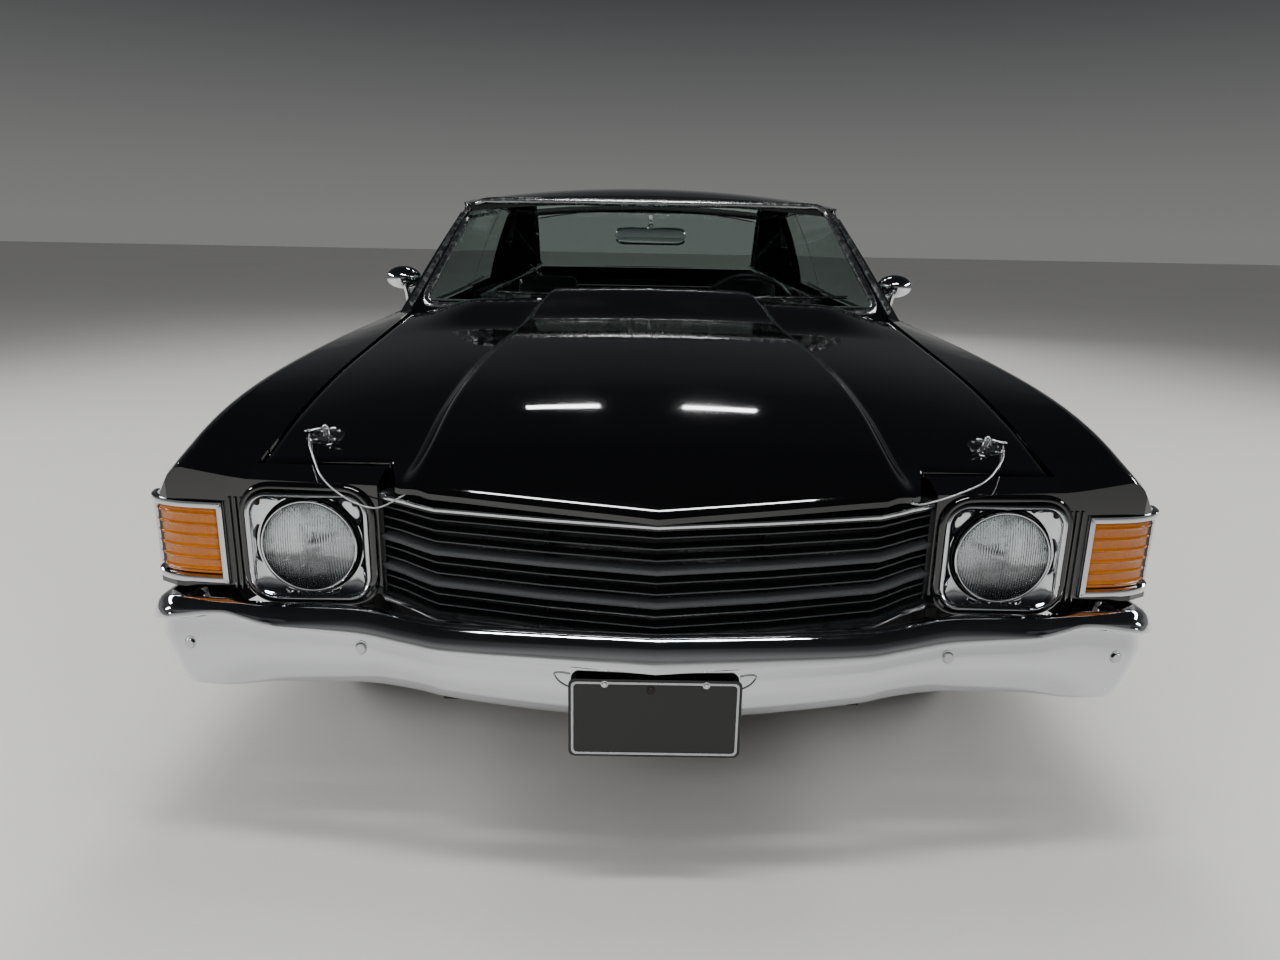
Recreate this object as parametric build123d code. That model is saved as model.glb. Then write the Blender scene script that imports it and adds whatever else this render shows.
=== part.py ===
from build123d import *
import math
import os

# Two-door mid-size hardtop coupe, black with a raised-centre bonnet, held by pins with lanyards.
# Millimetres. +X is the car's left, -Y its front, +Z up; the origin is on the floor under its middle.

# Driving dimensions
LENGTH = 5017.0
WHEELBASE = 2845.0
FRONT_OVERHANG = 965.0
FRONT_TRACK = 1524.0
REAR_TRACK = 1521.0
TYRE_RADIUS = 332.0
TYRE_WIDTH = 226.0
RIM_RADIUS = 190.5
RIM_WIDTH = 178.0
SEAT = 0.3            # gap between a fixed piece and what carries it
PANEL_GAP = 8.0       # gap round each door, the bonnet and the boot lid
FIXED_GAP = 4.0       # visible seam between two fixed panels
SKIN = 12.0           # thickness of a body panel with its inner stiffening
SHAFT_CLEARANCE = 0.05
STEER_LIMIT = 30.0

FRONT_END = -LENGTH / 2
REAR_END = LENGTH / 2
FRONT_AXLE = FRONT_END + FRONT_OVERHANG
REAR_AXLE = FRONT_AXLE + WHEELBASE
AXLE_HEIGHT = TYRE_RADIUS
KINGPIN_X = FRONT_TRACK / 2 - 90.0

# Places along the car
NOSE_END = -2236.0          # headlamp panel meets fender
BONNET_FRONT = -2285.0      # bonnet's edge above the headlamps
BONNET_REAR = -1085.0
DOOR_FRONT = -862.0
DOOR_REAR = 395.0
LID_FRONT = 1560.0
LID_REAR = 2372.0
QUARTER_END = 2384.0

# Places across the car
BONNET_HALF = 738.0
LID_HALF = 690.0
LID_SEAM = LID_HALF + 7.0   # where the quarter panels' top ends beside the boot lid
GRILLE_HALF = 505.0
DOOR_INNER = 800.0
FLOOR_HALF = 772.0

# Heights
FLOOR_TOP = 302.0
FLOOR_SHEET = 12.0
RAIL_TOP = FLOOR_TOP - FLOOR_SHEET - SEAT
SILL_TOP = 298.0
SILL_LOW = 215.0
BOOT_FLOOR = 492.0

ARCH_RADIUS = 388.0
FRONT_ARCH_RISE = -12.0     # the arch's centre above the axle
WELL_RADIUS = 402.0         # inside of the wheel wells
WELL_SHEET = 10.0

# The body's side, as half sections at stations along the car. A side is one arc from (x_low, z_low)
# through (x_wide, z_wide) to the shoulder, and z_top and z_seam give the top from there inwards.
BODY_COLUMNS = ("y", "x_low", "z_low", "x_wide", "z_wide", "x_crown", "z_top", "x_seam", "z_seam")
BODY = (
    (-2400, 900, 440, 938, 590, 892, 738, 744, 728),
    (-2290, 922, 430, 947, 590, 900, 770, 744, 753),
    (-2080, 928, 370, 951, 590, 903, 821, 744, 804),
    (-1800, 930, 320, 953, 595, 904, 853, 744, 850),
    (-1540, 928, 280, 954, 600, 902, 869, 745, 878),
    (-1200, 924, 235, 953, 605, 897, 883, 748, 910),
    (-870, 920, 220, 950, 610, 889, 893, 752, 936),
    (0, 918, 218, 946, 615, 880, 901, 745, 912),
    (400, 920, 222, 947, 620, 880, 909, LID_SEAM + 23, 920),
    (900, 923, 240, 950, 625, 880, 927, LID_SEAM + 8, 935),
    (1302, 924, 280, 951, 628, 874, 935, LID_SEAM + 3, 948),
    (1800, 918, 330, 946, 630, LID_SEAM + 159, 922, LID_SEAM, 936),
    (2150, 906, 370, 932, 630, LID_SEAM + 133, 898, LID_SEAM, 915),
    (2400, 880, 400, 902, 625, LID_SEAM + 103, 868, LID_SEAM, 885),
)
SHOULDER_MID = (-12.0, -6.6)     # from the crown to the middle and the end of the shoulder's arc
SHOULDER_DROP = 22.0
SHOULDER_RUN = 31.0


def column(table, columns, name, y):
    """One column of a station table at y, smoothly between the rows."""
    i = columns.index(name)
    ys = [row[0] for row in table]
    vs = [row[i] for row in table]
    last = len(ys) - 1
    if y <= ys[0]:
        return vs[0]
    if y >= ys[last]:
        return vs[last]
    k = max(n for n in range(last) if ys[n] <= y)

    def slope(n):
        lo, hi = max(n - 1, 0), min(n + 1, last)
        return (vs[hi] - vs[lo]) / (ys[hi] - ys[lo])

    step = ys[k + 1] - ys[k]
    t = (y - ys[k]) / step
    h00, h10 = 2 * t**3 - 3 * t**2 + 1, t**3 - 2 * t**2 + t
    h01, h11 = 3 * t**2 - 2 * t**3, t**3 - t**2
    return h00 * vs[k] + h10 * step * slope(k) + h01 * vs[k + 1] + h11 * step * slope(k + 1)


def body(name, y):
    return column(BODY, BODY_COLUMNS, name, y)


def crown(y):
    """Where the side ends and the shoulder starts."""
    return body("x_crown", y), body("z_top", y) - SHOULDER_DROP


def side_x(y, z):
    """How far out the side is at height z, on its arc through three points."""
    (x1, z1), (x2, z2), (x3, z3) = (
        (body("x_low", y), body("z_low", y)), (body("x_wide", y), body("z_wide", y)), crown(y))
    d = 2 * (x1 * (z2 - z3) + x2 * (z3 - z1) + x3 * (z1 - z2))
    s1, s2, s3 = x1**2 + z1**2, x2**2 + z2**2, x3**2 + z3**2
    cx = (s1 * (z2 - z3) + s2 * (z3 - z1) + s3 * (z1 - z2)) / d
    cz = (s1 * (x3 - x2) + s2 * (x1 - x3) + s3 * (x2 - x1)) / d
    r = math.hypot(x1 - cx, z1 - cz)
    return cx + math.sqrt(r**2 - (z - cz)**2)


def wire(y, *legs):
    """A closed wire in the plane at y. A leg is a list of (x, z): two points a line, three an arc."""
    edges = []
    for leg in legs:
        points = [Vector(x, y, z) for x, z in leg]
        edges.append(Line(*points).edge() if len(points) == 2 else ThreePointArc(*points).edge())
    return Wire(edges)


def loft_through(wires):
    return Solid.make_loft(wires, False)


def box(x0, x1, y0, y1, z0, z1):
    return Pos((x0 + x1) / 2, (y0 + y1) / 2, (z0 + z1) / 2) * Box(x1 - x0, y1 - y0, z1 - z0)


def rod(start, end, radius):
    """A round bar from one point to another."""
    start, end = Vector(*start), Vector(*end)
    plane = Plane(origin=start, z_dir=(end - start).normalized())
    return extrude(plane * Circle(radius), amount=(end - start).length)


def prism_x(points, x0, x1):
    """An outline of (y, z) points, pushed from x0 to x1."""
    face = Face(Polyline(*[(x0, y, z) for y, z in points], close=True).wire())
    return extrude(face, amount=x1 - x0, dir=(1, 0, 0))


def prism_y(points, y0, y1):
    """An outline of (x, z) points, pushed from y0 to y1."""
    face = Face(Polyline(*[(x, y0, z) for x, z in points], close=True).wire())
    return extrude(face, amount=y1 - y0, dir=(0, 1, 0))


def prism_z(points, z0, z1):
    """An outline of (x, y) points, pushed from z0 to z1."""
    face = Face(Polyline(*[(x, y, z0) for x, y in points], close=True).wire())
    return extrude(face, amount=z1 - z0, dir=(0, 0, 1))


def both(shape):
    """A left-hand piece with its mirrored right-hand twin."""
    return [shape, mirror(shape, about=Plane.YZ)]


def solids(shapes):
    """All the solids of the shapes, in one list."""
    shapes = shapes if isinstance(shapes, (list, tuple)) else [shapes]
    return [s for shape in shapes for s in shape.solids()]


def save(node, shapes):
    export_step(Compound(children=solids(shapes)), f"parts/{node}.step")


# Side panels

def side_legs(y, low, skin):
    """The outer and inner lines of a panel that runs from height low round the shoulder to the seam."""
    xc, zc = crown(y)
    z_top = body("z_top", y)
    mid = (low + zc) / 2
    turn = (xc + SHOULDER_MID[0], z_top + SHOULDER_MID[1])
    end = (xc - SHOULDER_RUN, z_top)
    seam = (body("x_seam", y), body("z_seam", y))
    inner = 0.75 * skin
    foot, waist = (side_x(y, low), low), (side_x(y, mid), mid)
    outer_legs = ((foot, waist, (xc, zc)), ((xc, zc), turn, end), (end, seam))
    under_seam, under_end = (seam[0], seam[1] - skin), (end[0], end[1] - skin)
    under_turn = (turn[0] - inner, turn[1] - inner)
    in_crown, in_waist, in_foot = (xc - skin, zc), (waist[0] - skin, mid), (foot[0] - skin, low)
    inner_legs = ((seam, under_seam), (under_seam, under_end), (under_end, under_turn, in_crown),
                  (in_crown, in_waist, in_foot), (in_foot, foot))
    return outer_legs + inner_legs


# Where the bumpers' wrapped ends stop, and the height of the panels above them
BUMPER_END = (-2168.0, 2188.0)
BUMPER_CLEAR = (524.0, 612.0)


def side_panel(ys, low, skin=SKIN):
    """A thin panel lofted through the side's sections; low is a height for each station."""
    return loft_through([wire(y, *side_legs(y, z, skin)) for y, z in zip(ys, low)])


def arch(axle, rise, radius, x0=560.0, x1=1000.0):
    """The round opening above a wheel, open downwards."""
    centre_z = AXLE_HEIGHT + rise
    disc = rod((x0, axle, centre_z), (x1, axle, centre_z), radius)
    return disc + box(x0, x1, axle - radius, axle + radius, -50, centre_z)


def fender():
    ys = (NOSE_END + SEAT, -2080, -1800, -1540, -1200, DOOR_FRONT - PANEL_GAP)
    low = (445, 372, 322, 282, 238, SILL_LOW + 7)
    panel = side_panel(ys, low)
    panel -= arch(FRONT_AXLE, FRONT_ARCH_RISE, ARCH_RADIUS) + box(800, 1000, -2400, BUMPER_END[0], 300, BUMPER_CLEAR[0])
    return panel - house(-HOUSE_CLEARANCE)


def quarter():
    ys = (DOOR_REAR + PANEL_GAP, 700, 1000, 1302, 1800, 2150, QUARTER_END)
    low = (SILL_LOW + 8, 228, 250, 285, 332, 372, 402)
    panel = side_panel(ys, low)
    panel -= arch(REAR_AXLE, 6.0, ARCH_RADIUS - 6.0) + box(800, 1000, BUMPER_END[1], 2500, 300, BUMPER_CLEAR[1])
    return panel - house(-HOUSE_CLEARANCE)


def door_solid():
    """The whole thickness of a door, from its skin to its trim."""
    z_low = SILL_TOP + PANEL_GAP
    sections = []
    for y in (DOOR_FRONT, -450, 0, DOOR_REAR):
        xc, zc = crown(y)
        z_top = body("z_top", y)
        mid = (z_low + zc) / 2
        foot, waist = (side_x(y, z_low), z_low), (side_x(y, mid), mid)
        turn = (xc + SHOULDER_MID[0], z_top + SHOULDER_MID[1])
        end = (xc - SHOULDER_RUN, z_top)
        trim_top, trim_low = (DOOR_INNER, z_top + 2), (DOOR_INNER, z_low)
        sections.append(wire(y, (foot, waist, (xc, zc)), ((xc, zc), turn, end), (end, trim_top),
                             (trim_top, trim_low), (trim_low, foot)))
    door = loft_through(sections)
    # the shut face slants, so that its inner corner passes the latch post
    door -= prism_z(((DOOR_INNER - 5, DOOR_REAR - 16), (DOOR_INNER + 100, DOOR_REAR + 1), (DOOR_INNER - 5, DOOR_REAR + 1)),
                    200, 1000)
    for z in HINGE_HEIGHTS:
        half = STRAP_THICK / 2 + HINGE_ROOM
        door -= box(HINGE_X - STRAP_REACH - 13, HINGE_X + BOSS_RADIUS + HINGE_ROOM, DOOR_FRONT - 1,
                    HINGE_Y + BOSS_RADIUS + HINGE_ROOM, z - half, z + half)
        door += rod((HINGE_X, HINGE_Y, z - half - 6), (HINGE_X, HINGE_Y, z + half + 6), HINGE_PIN)
    return door


def hinge_strap(z):
    """A door hinge's fixed half: from the post into the door's pocket, round to its pin."""
    low, high, half = z - STRAP_THICK / 2, z + STRAP_THICK / 2, 5.0
    root = HINGE_X - STRAP_REACH
    strap = box(root - half, HINGE_X, HINGE_Y - half, HINGE_Y + half, low, high)
    strap += box(root - half, root + half, DOOR_FRONT - PANEL_GAP - 10, HINGE_Y + half, low, high)
    strap += rod((HINGE_X, HINGE_Y, low), (HINGE_X, HINGE_Y, high), BOSS_RADIUS)
    return strap - rod((HINGE_X, HINGE_Y, low - 1), (HINGE_X, HINGE_Y, high + 1), HINGE_PIN + SHAFT_CLEARANCE)


# Door hinges: a vertical pin in a pocket of the door, and a strap that swings through the pocket
HINGE_X = 930.0
HINGE_Y = DOOR_FRONT + 85.0
HINGE_HEIGHTS = (480.0, 720.0)
HINGE_PIN = 4.0
HINGE_ROOM = 2.5
BOSS_RADIUS = 6.5
STRAP_THICK = 10.0
STRAP_REACH = 97.0

MIRROR_PLACE = (884.0, -650.0, 1000.0)


def mirror_shell():
    """Bullet-shaped door mirror on its short stalk."""
    x, y, z = MIRROR_PLACE
    wires = []
    for back, half_x, half_z in ((0, 14, 9), (14, 41, 26), (38, 56, 36), (78, 61, 40)):
        plane = Plane(origin=(x, y + back, z), x_dir=(1, 0, 0), z_dir=(0, -1, 0))
        wires.append((plane * Ellipse(half_x, half_z)).wire())
    stalk = rod((x - 20, y + 50, 850), (x - 20, y + 50, z - 15), 13)
    return loft_through(wires) + stalk - Pos(0, 0, SEAT) * door_solid()


# Greenhouse: plan outlines at three heights, from the belt to the roof's edge
HOUSE_COLUMNS = ("z", "y_screen", "x_screen", "y_screen_end", "x_front", "y_front", "x_mid", "x_rear",
                 "y_rear", "x_back", "y_back_end", "y_back")
HOUSE = (
    (895, -1108, 776, -1034, 812, -985, 828, 786, 1300, 640, 1500, 1540),
    (1090, -803, 711, -730, 745, -690, 764, 726, 965, 612, 1130, 1165),
    (1282, -508, 646, -437, 668, -402, 676, 648, 610, 580, 755, 785),
)


def house_wire(row, inset):
    """One plan outline, pulled in by inset at the sides and by twice that at the sloping ends."""
    v = dict(zip(HOUSE_COLUMNS, row))
    z, end = v["z"], 2.0 * inset
    screen = (v["x_screen"] - inset, v["y_screen_end"] + end)
    front = (v["x_front"] - inset, v["y_front"] + end)
    mid = (v["x_mid"] - inset, (v["y_front"] + v["y_rear"]) / 2)
    rear = (v["x_rear"] - inset, v["y_rear"] - end)
    back = (v["x_back"] - inset, v["y_back_end"] - end)
    flip = lambda p: (-p[0], p[1])
    at = lambda p: Vector(p[0], p[1], z)
    edges = [
        ThreePointArc(at(flip(screen)), at((0, v["y_screen"] + end)), at(screen)).edge(),
        Line(at(screen), at(front)).edge(),
        ThreePointArc(at(front), at(mid), at(rear)).edge(),
        Line(at(rear), at(back)).edge(),
        ThreePointArc(at(back), at((0, v["y_back"] - end)), at(flip(back))).edge(),
        Line(at(flip(back)), at(flip(rear))).edge(),
        ThreePointArc(at(flip(rear)), at(flip(mid)), at(flip(front))).edge(),
        Line(at(flip(front)), at(flip(screen))).edge(),
    ]
    return Wire(edges)


HOUSE_CLEARANCE = 0.8


def house(inset=0.0):
    """The greenhouse's whole volume inside an inset."""
    return loft_through([house_wire(row, inset) for row in HOUSE])


# Roof: sections across the car
ROOF_COLUMNS = ("y", "x_edge", "z_edge", "z_mid")
ROOF = (
    (-620, 672, 1240, 1280),
    (-330, 680, 1276, 1326),
    (20, 684, 1290, 1339),
    (400, 682, 1286, 1334),
    (640, 676, 1270, 1318),
    (880, 662, 1232, 1284),
)
ROOF_THICK = 30.0
ROOF_OVERHANG = 0.14     # how far down the greenhouse the roof's outline is taken


def roof_band(lower, thick):
    """The roof's curved slab, lowered by a distance."""
    sections = []
    for y, x, z_edge, z_mid in ROOF:
        top, low = (z_edge - lower, z_mid - lower), (z_edge - lower - thick, z_mid - lower - thick)
        sections.append(wire(y, ((-x, top[0]), (0, top[1]), (x, top[0])), ((x, top[0]), (x, low[0])),
                             ((x, low[0]), (0, low[1]), (-x, low[0])), ((-x, low[0]), (-x, top[0]))))
    return loft_through(sections)


def above_roof_underside(lower):
    """All that is above the roof's underside, lowered by a distance, to trim what ends there."""
    sections = []
    for y, x, z_edge, z_mid in ROOF:
        sag = z_mid - z_edge
        radius, wide, high = (x**2 + sag**2) / (2 * sag), x + 60, 1450
        mid = z_mid - ROOF_THICK - lower
        side = mid - radius + math.sqrt(radius**2 - wide**2)
        sections.append(wire(y, ((-wide, high), (wide, high)), ((wide, high), (wide, side)),
                             ((wide, side), (0, mid), (-wide, side)), ((-wide, side), (-wide, high))))
    return loft_through(sections)


def roof_outline(z0, z1):
    """The greenhouse's top outline pushed through a height range."""
    middle, top = HOUSE[1], HOUSE[2]
    eaves = [b + ROOF_OVERHANG * (a - b) for a, b in zip(middle, top)]
    base = Face(house_wire(eaves, 0.0))
    return extrude(Pos(0, 0, z0 - eaves[0]) * base, amount=z1 - z0, dir=(0, 0, 1))


SCREEN_WINDOW = ((-738, 950), (738, 950), (632, 1290), (-632, 1290))
BACK_WINDOW = ((-604, 968), (604, 968), (548, 1290), (-548, 1290))
SIDE_WINDOW = ((-900, 905), (-352, 1290), (600, 1290), (850, 905))
SIDE_PANE = ((-936, 880), (-352, 1290), (600, 1290), (866, 880))    # the same, down into the door
PILLAR_INSET = 36.0


def pillars():
    """Screen pillars and the wide rear roof panels, as four pieces."""
    shell = house() - house(PILLAR_INSET)
    shell -= prism_y(SCREEN_WINDOW, -1300, -300)
    shell -= prism_y(BACK_WINDOW, 500, 1700)
    for side in (1, -1):
        shell -= prism_x(SIDE_WINDOW, side * 560 if side > 0 else -900, 900 if side > 0 else -560)
    shell -= above_roof_underside(SEAT)
    shell -= box(-900, 900, -905, 1050, 800, 918) + box(-900, 900, -1300, BONNET_REAR + PANEL_GAP, 800, 1000)
    keep = [s for s in shell.solids() if s.volume > 2e5]
    return keep


def glass(window, y0, y1, clearance):
    """A pane set 4 mm inside the greenhouse's surface."""
    pane = house(4.0) - house(10.0)
    pane &= prism_y(shrink(window, clearance), y0, y1)
    return pane - above_roof_underside(clearance)


def shrink(points, by):
    """A convex outline with every side moved in by a distance."""
    turn = sum(x0 * y1 - x1 * y0 for (x0, y0), (x1, y1) in zip(points, points[1:] + points[:1]))
    by = math.copysign(by, turn)
    sides = []
    for (x0, y0), (x1, y1) in zip(points, points[1:] + points[:1]):
        n = math.hypot(x1 - x0, y1 - y0)
        dx, dy = (x1 - x0) / n, (y1 - y0) / n
        sides.append((x0 - by * dy, y0 + by * dx, dx, dy))
    out = []
    for (x0, y0, dx0, dy0), (x1, y1, dx1, dy1) in zip(sides[-1:] + sides[:-1], sides):
        t = ((x1 - x0) * dy1 - (y1 - y0) * dx1) / (dx0 * dy1 - dy0 * dx1)
        out.append((x0 + t * dx0, y0 + t * dy0))
    return out


def side_glass(y0, y1, low, clearance):
    """The left side's pane between two places along the car, down to a height."""
    pane = house(4.0) - house(10.0)
    pane &= prism_x(shrink(SIDE_PANE, clearance), 560, 900)
    pane &= box(500, 900, y0, y1, low, 1400)
    return pane - above_roof_underside(clearance)


# Bonnet: z along the middle and at the edges, and how high the middle stands proud
BONNET_COLUMNS = ("y", "z_mid", "z_edge", "rise", "x_dome", "step")
BONNET = (
    (-2470, 696, 682, 6, 424, 52),
    (-2430, 726, 706, 6, 420, 52),
    (-2380, 760, 732, 6, 416, 52),
    (-2285, 806, 753, 5, 411, 50),
    (-2080, 856, 804, 8, 405, 48),
    (-1800, 897, 850, 11, 386, 48),
    (-1400, 942, 891, 16, 340, 48),
    (-1080, 978, 921, 20, 290, 50),
)
DOME_CROWN = 6.0        # how much higher the dome's middle is than its edges
BONNET_STATIONS = (-2470, -2430, -2380, -2330, -2285, -2180, -2080, -1940, -1800, -1600, -1400, -1240, -1080)
BONNET_SKIN = 14.0


def bonnet_line(y, drop):
    """Points of the bonnet's top across the car at y: edge, foot of the dome, its top edge, middle."""
    get = lambda name: column(BONNET, BONNET_COLUMNS, name, y)
    foot_x = get("x_dome") + get("step")
    foot_z = get("z_edge") + get("rise")
    top_z = get("z_mid") - DOME_CROWN
    edge = (BONNET_HALF, get("z_edge") - drop)
    side_mid_x = (foot_x + BONNET_HALF) / 2
    side_mid = (side_mid_x, (foot_z + get("z_edge")) / 2 + 3 - drop)
    foot, top = (foot_x, foot_z - drop), (get("x_dome"), top_z - drop)
    return edge, side_mid, foot, top, (0, get("z_mid") - drop)


def bonnet_wire(y):
    top = bonnet_line(y, 0.0)
    under = bonnet_line(y, BONNET_SKIN)
    around = list(top) + [(-x, z) for x, z in reversed(top[:-1])]
    around += [(-x, z) for x, z in under] + list(reversed(under[:-1]))
    return Polyline(*[(x, y, z) for x, z in around], close=True).wire()


BONNET_NOSE = ((0, -2452), (404, -2408), (470, -2378), (497, BONNET_FRONT), (BONNET_HALF, BONNET_FRONT))
PIN_PLACE = (648.0, -2190.0)
PIN_RADIUS = 6.0


# Bonnet hinges: ears under the raised centre, and posts that rise from the cowl
BONNET_HINGES = (-240.0, 240.0)
BONNET_PIVOT = (BONNET_REAR - 25.0, 945.0)
BONNET_HINGE_PIN = 3.0


def bonnet():
    slab = Solid.make_loft([bonnet_wire(y) for y in BONNET_STATIONS], True)
    left = [(x, y) for x, y in BONNET_NOSE]
    outline = left + [(BONNET_HALF, BONNET_REAR), (-BONNET_HALF, BONNET_REAR)]
    outline += [(-x, y) for x, y in reversed(left[1:])]
    slab &= prism_z(outline, 600, 1100)
    y, z = BONNET_PIVOT
    ears = []
    for x in BONNET_HINGES:
        top = bonnet_line(y, BONNET_SKIN)[3][1] + 6
        ears += [box(x + d - 3, x + d + 3, y - 8, y + 8, z, top) for d in (-11, 11)]
        ears += [rod((x + d - 3, y, z), (x + d + 3, y, z), 8) for d in (-11, 11)]
        ears.append(rod((x - 14, y, z), (x + 14, y, z), BONNET_HINGE_PIN))
    return slab.fuse(*ears)


def bonnet_height(x, y):
    """Height of the bonnet's top near its side, where the pins are."""
    edge, side_mid, foot, _, _ = bonnet_line(y, 0.0)
    share = (x - foot[0]) / (edge[0] - foot[0])
    bulge = 4 * share * (1 - share) * (side_mid[1] - (foot[1] + edge[1]) / 2)
    return foot[1] + share * (edge[1] - foot[1]) + bulge


def bonnet_pin():
    """Chrome plate, pin and clip on the left corner of the bonnet."""
    x, y = PIN_PLACE
    rise = math.degrees(math.atan((bonnet_height(x, y + 40) - bonnet_height(x, y - 40)) / 80))
    fall = math.degrees(math.atan((bonnet_height(x + 30, y) - bonnet_height(x - 30, y)) / 60))
    plate = Cylinder(34, 7)
    pin = Pos(0, 0, 12) * Cylinder(PIN_RADIUS, 22)
    piece = Pos(x, y, bonnet_height(x, y)) * (Rot(rise, -fall, 0) * (plate + pin))
    piece = piece - Pos(0, 0, SEAT) * bonnet()
    # the clip crosses the pin and ends in a ring, with the sleeve that holds the lanyard's end
    ring, start, bend = Vector(*CLIP_RING), Vector(*LANYARD_LEFT[0]), Vector(*LANYARD_LEFT[1])
    way = (bend - start).normalized()
    across = (ring - Vector(x, y, CLIP_RING[2])).normalized()
    piece += rod(ring - across * 62, ring - across * 9, 2) + Pos(*CLIP_RING) * Torus(9, 1.6)
    return piece + rod(start - way * 12, start, 2.6)


# Lanyards from each pin over the bonnet's front edge to its corner: (x, y, z) points and bend radii
CORD_RADIUS = 1.6
CLIP_RING = (686.0, -2180.0, 791.0)
LANYARD_LEFT = ((680, -2199, 788), (664, -2250, 784), (636, -2304, 777), (584, -2384, 766), (547, -2391, 750),
                (505, -2392, 733), (454, -2391, 718), (440, -2380, 731.0))
LANYARD_RIGHT = ((-680, -2199, 788), (-664, -2250, 784), (-640, -2300, 772), (-600, -2382, 750), (-560, -2391, 719),
                 (-523, -2392, 701), (-487, -2393, 699), (-440, -2380, 731.0))
LANYARD_BENDS = (25, 20, 20, 20, 20, 8)


def lanyard(points):
    route = FilletPolyline(*points, radius=list(LANYARD_BENDS))
    start = Plane(origin=route @ 0, z_dir=route % 0)
    return sweep(start * Circle(CORD_RADIUS), path=route)


# Boot lid, and the fixed deck in front of it
DECK_COLUMNS = ("y", "z_mid", "z_edge")
DECK = (
    (1400, 958, 950),
    (1560, 962, 944),
    (1800, 958, 937),
    (2150, 936, 916),
    (2330, 914, 892),
    (2380, 896, 872),
)


def deck_wire(y, half):
    z_mid, z_edge = (column(DECK, DECK_COLUMNS, name, y) for name in ("z_mid", "z_edge"))
    low_mid, low_edge = z_mid - BONNET_SKIN, z_edge - BONNET_SKIN
    return wire(y, ((-half, z_edge), (0, z_mid), (half, z_edge)), ((half, z_edge), (half, low_edge)),
                ((half, low_edge), (0, low_mid), (-half, low_edge)), ((-half, low_edge), (-half, z_edge)))


# Boot lid hinges: tongues of the fixed deck in notches of the lid, each round a pin
LID_HINGES = (-400.0, 400.0)
LID_PIVOT = (LID_FRONT + 25.0, 949.0)
LID_PIN = 3.0
LID_TONGUE = 30.0


def boot_lid():
    ys = (LID_FRONT, 1800, 2150, 2310, LID_REAR)
    lid = loft_through([deck_wire(y, LID_HALF) for y in ys])
    z = column(DECK, DECK_COLUMNS, "z_edge", LID_REAR)
    lid += box(-LID_HALF, LID_HALF, LID_REAR - 14, LID_REAR, z - 60, z - 8)
    for x in LID_HINGES:
        half = LID_TONGUE / 2 + 5
        lid -= box(x - half, x + half, LID_FRONT - 10, LID_PIVOT[0] + 20, 800, 1000)
        lid += rod((x - half - 6, *LID_PIVOT), (x + half + 6, *LID_PIVOT), LID_PIN)
    return lid


def deck_filler():
    """Fixed deck under the back window, with the parcel shelf inside."""
    z = DECK[0][1]
    front = 1405.0
    deck = loft_through([deck_wire(y, LID_HALF) for y in (front, 1480, LID_FRONT - PANEL_GAP)]) - house(-HOUSE_CLEARANCE)
    shelf = box(-590, 590, 1122, LID_FRONT - PANEL_GAP - 2, 882, 892)
    web = box(-590, 590, LID_FRONT - PANEL_GAP - 10, LID_FRONT - PANEL_GAP - 2, 882, z - 16)
    y, z = LID_PIVOT
    for x in LID_HINGES:
        half = LID_TONGUE / 2
        deck += box(x - half, x + half, LID_FRONT - PANEL_GAP - 12, y, z - 5, z + 5)
        deck += rod((x - half, y, z), (x + half, y, z), 5)
        deck -= rod((x - half - 1, y, z), (x + half + 1, y, z), LID_PIN + SHAFT_CLEARANCE)
    return deck + shelf + web


# Front end

def nose_panel():
    """Body-colour panel round one headlamp and the corner lamp."""
    sections = []
    for y, low in ((-2392, BUMPER_CLEAR[0]), (-2330, BUMPER_CLEAR[0]), (NOSE_END, BUMPER_CLEAR[0])):
        xc, zc = crown(y)
        z_top = body("z_top", y)
        mid = (low + zc) / 2
        foot, waist = (side_x(y, low), low), (side_x(y, mid), mid)
        turn, end = (xc + SHOULDER_MID[0], z_top + SHOULDER_MID[1]), (xc - SHOULDER_RUN, z_top)
        seam = (body("x_seam", y), body("z_seam", y))
        inner_top, inner_low = (GRILLE_HALF + SEAT, body("z_seam", y) - 2), (GRILLE_HALF + SEAT, low)
        sections.append(wire(y, (foot, waist, (xc, zc)), ((xc, zc), turn, end), (end, seam),
                             (seam, inner_top), (inner_top, inner_low), (inner_low, foot)))
    block = loft_through(sections)
    edge = BONNET_HALF + PANEL_GAP
    back = BONNET_FRONT - PANEL_GAP
    plan = ((GRILLE_HALF, back), (GRILLE_HALF, -2366), (780, -2352), (900, -2338), (938, -2316), (960, -2280),
            (960, NOSE_END), (edge, NOSE_END), (edge, back))
    block &= prism_z(plan, 400, 900)
    hollow = prism_z(((GRILLE_HALF + 14, -2200), (GRILLE_HALF + 14, -2338), (780, -2326), (900, -2310),
                      (922, -2290), (926, -2200)), 490, 690)
    block -= hollow
    x, z = LAMP_PLACE
    block -= Pos(x, -2340, z) * Rot(90, 0, 0) * bezel_block(BEZEL_SIZE[0] + 2 * SEAT, BEZEL_SIZE[1] + 2 * SEAT, 120)
    block -= turn_block(SEAT)
    return block


LAMP_PLACE = (636.0, 616.0)
BEZEL_SIZE = (222.0, 206.0)
BEZEL_CORNER = 42.0
LAMP_RADIUS = 89.0
BEZEL_FRONT = -2372.0
BEZEL_DEPTH = 46.0
TURN_X = (790.0, 960.0)
TURN_Z = (535.0, 695.0)
TURN_BACK = -2272.0


def bezel_block(width, height, depth):
    return extrude(RectangleRounded(width, height, BEZEL_CORNER), amount=depth / 2, both=True)


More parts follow.
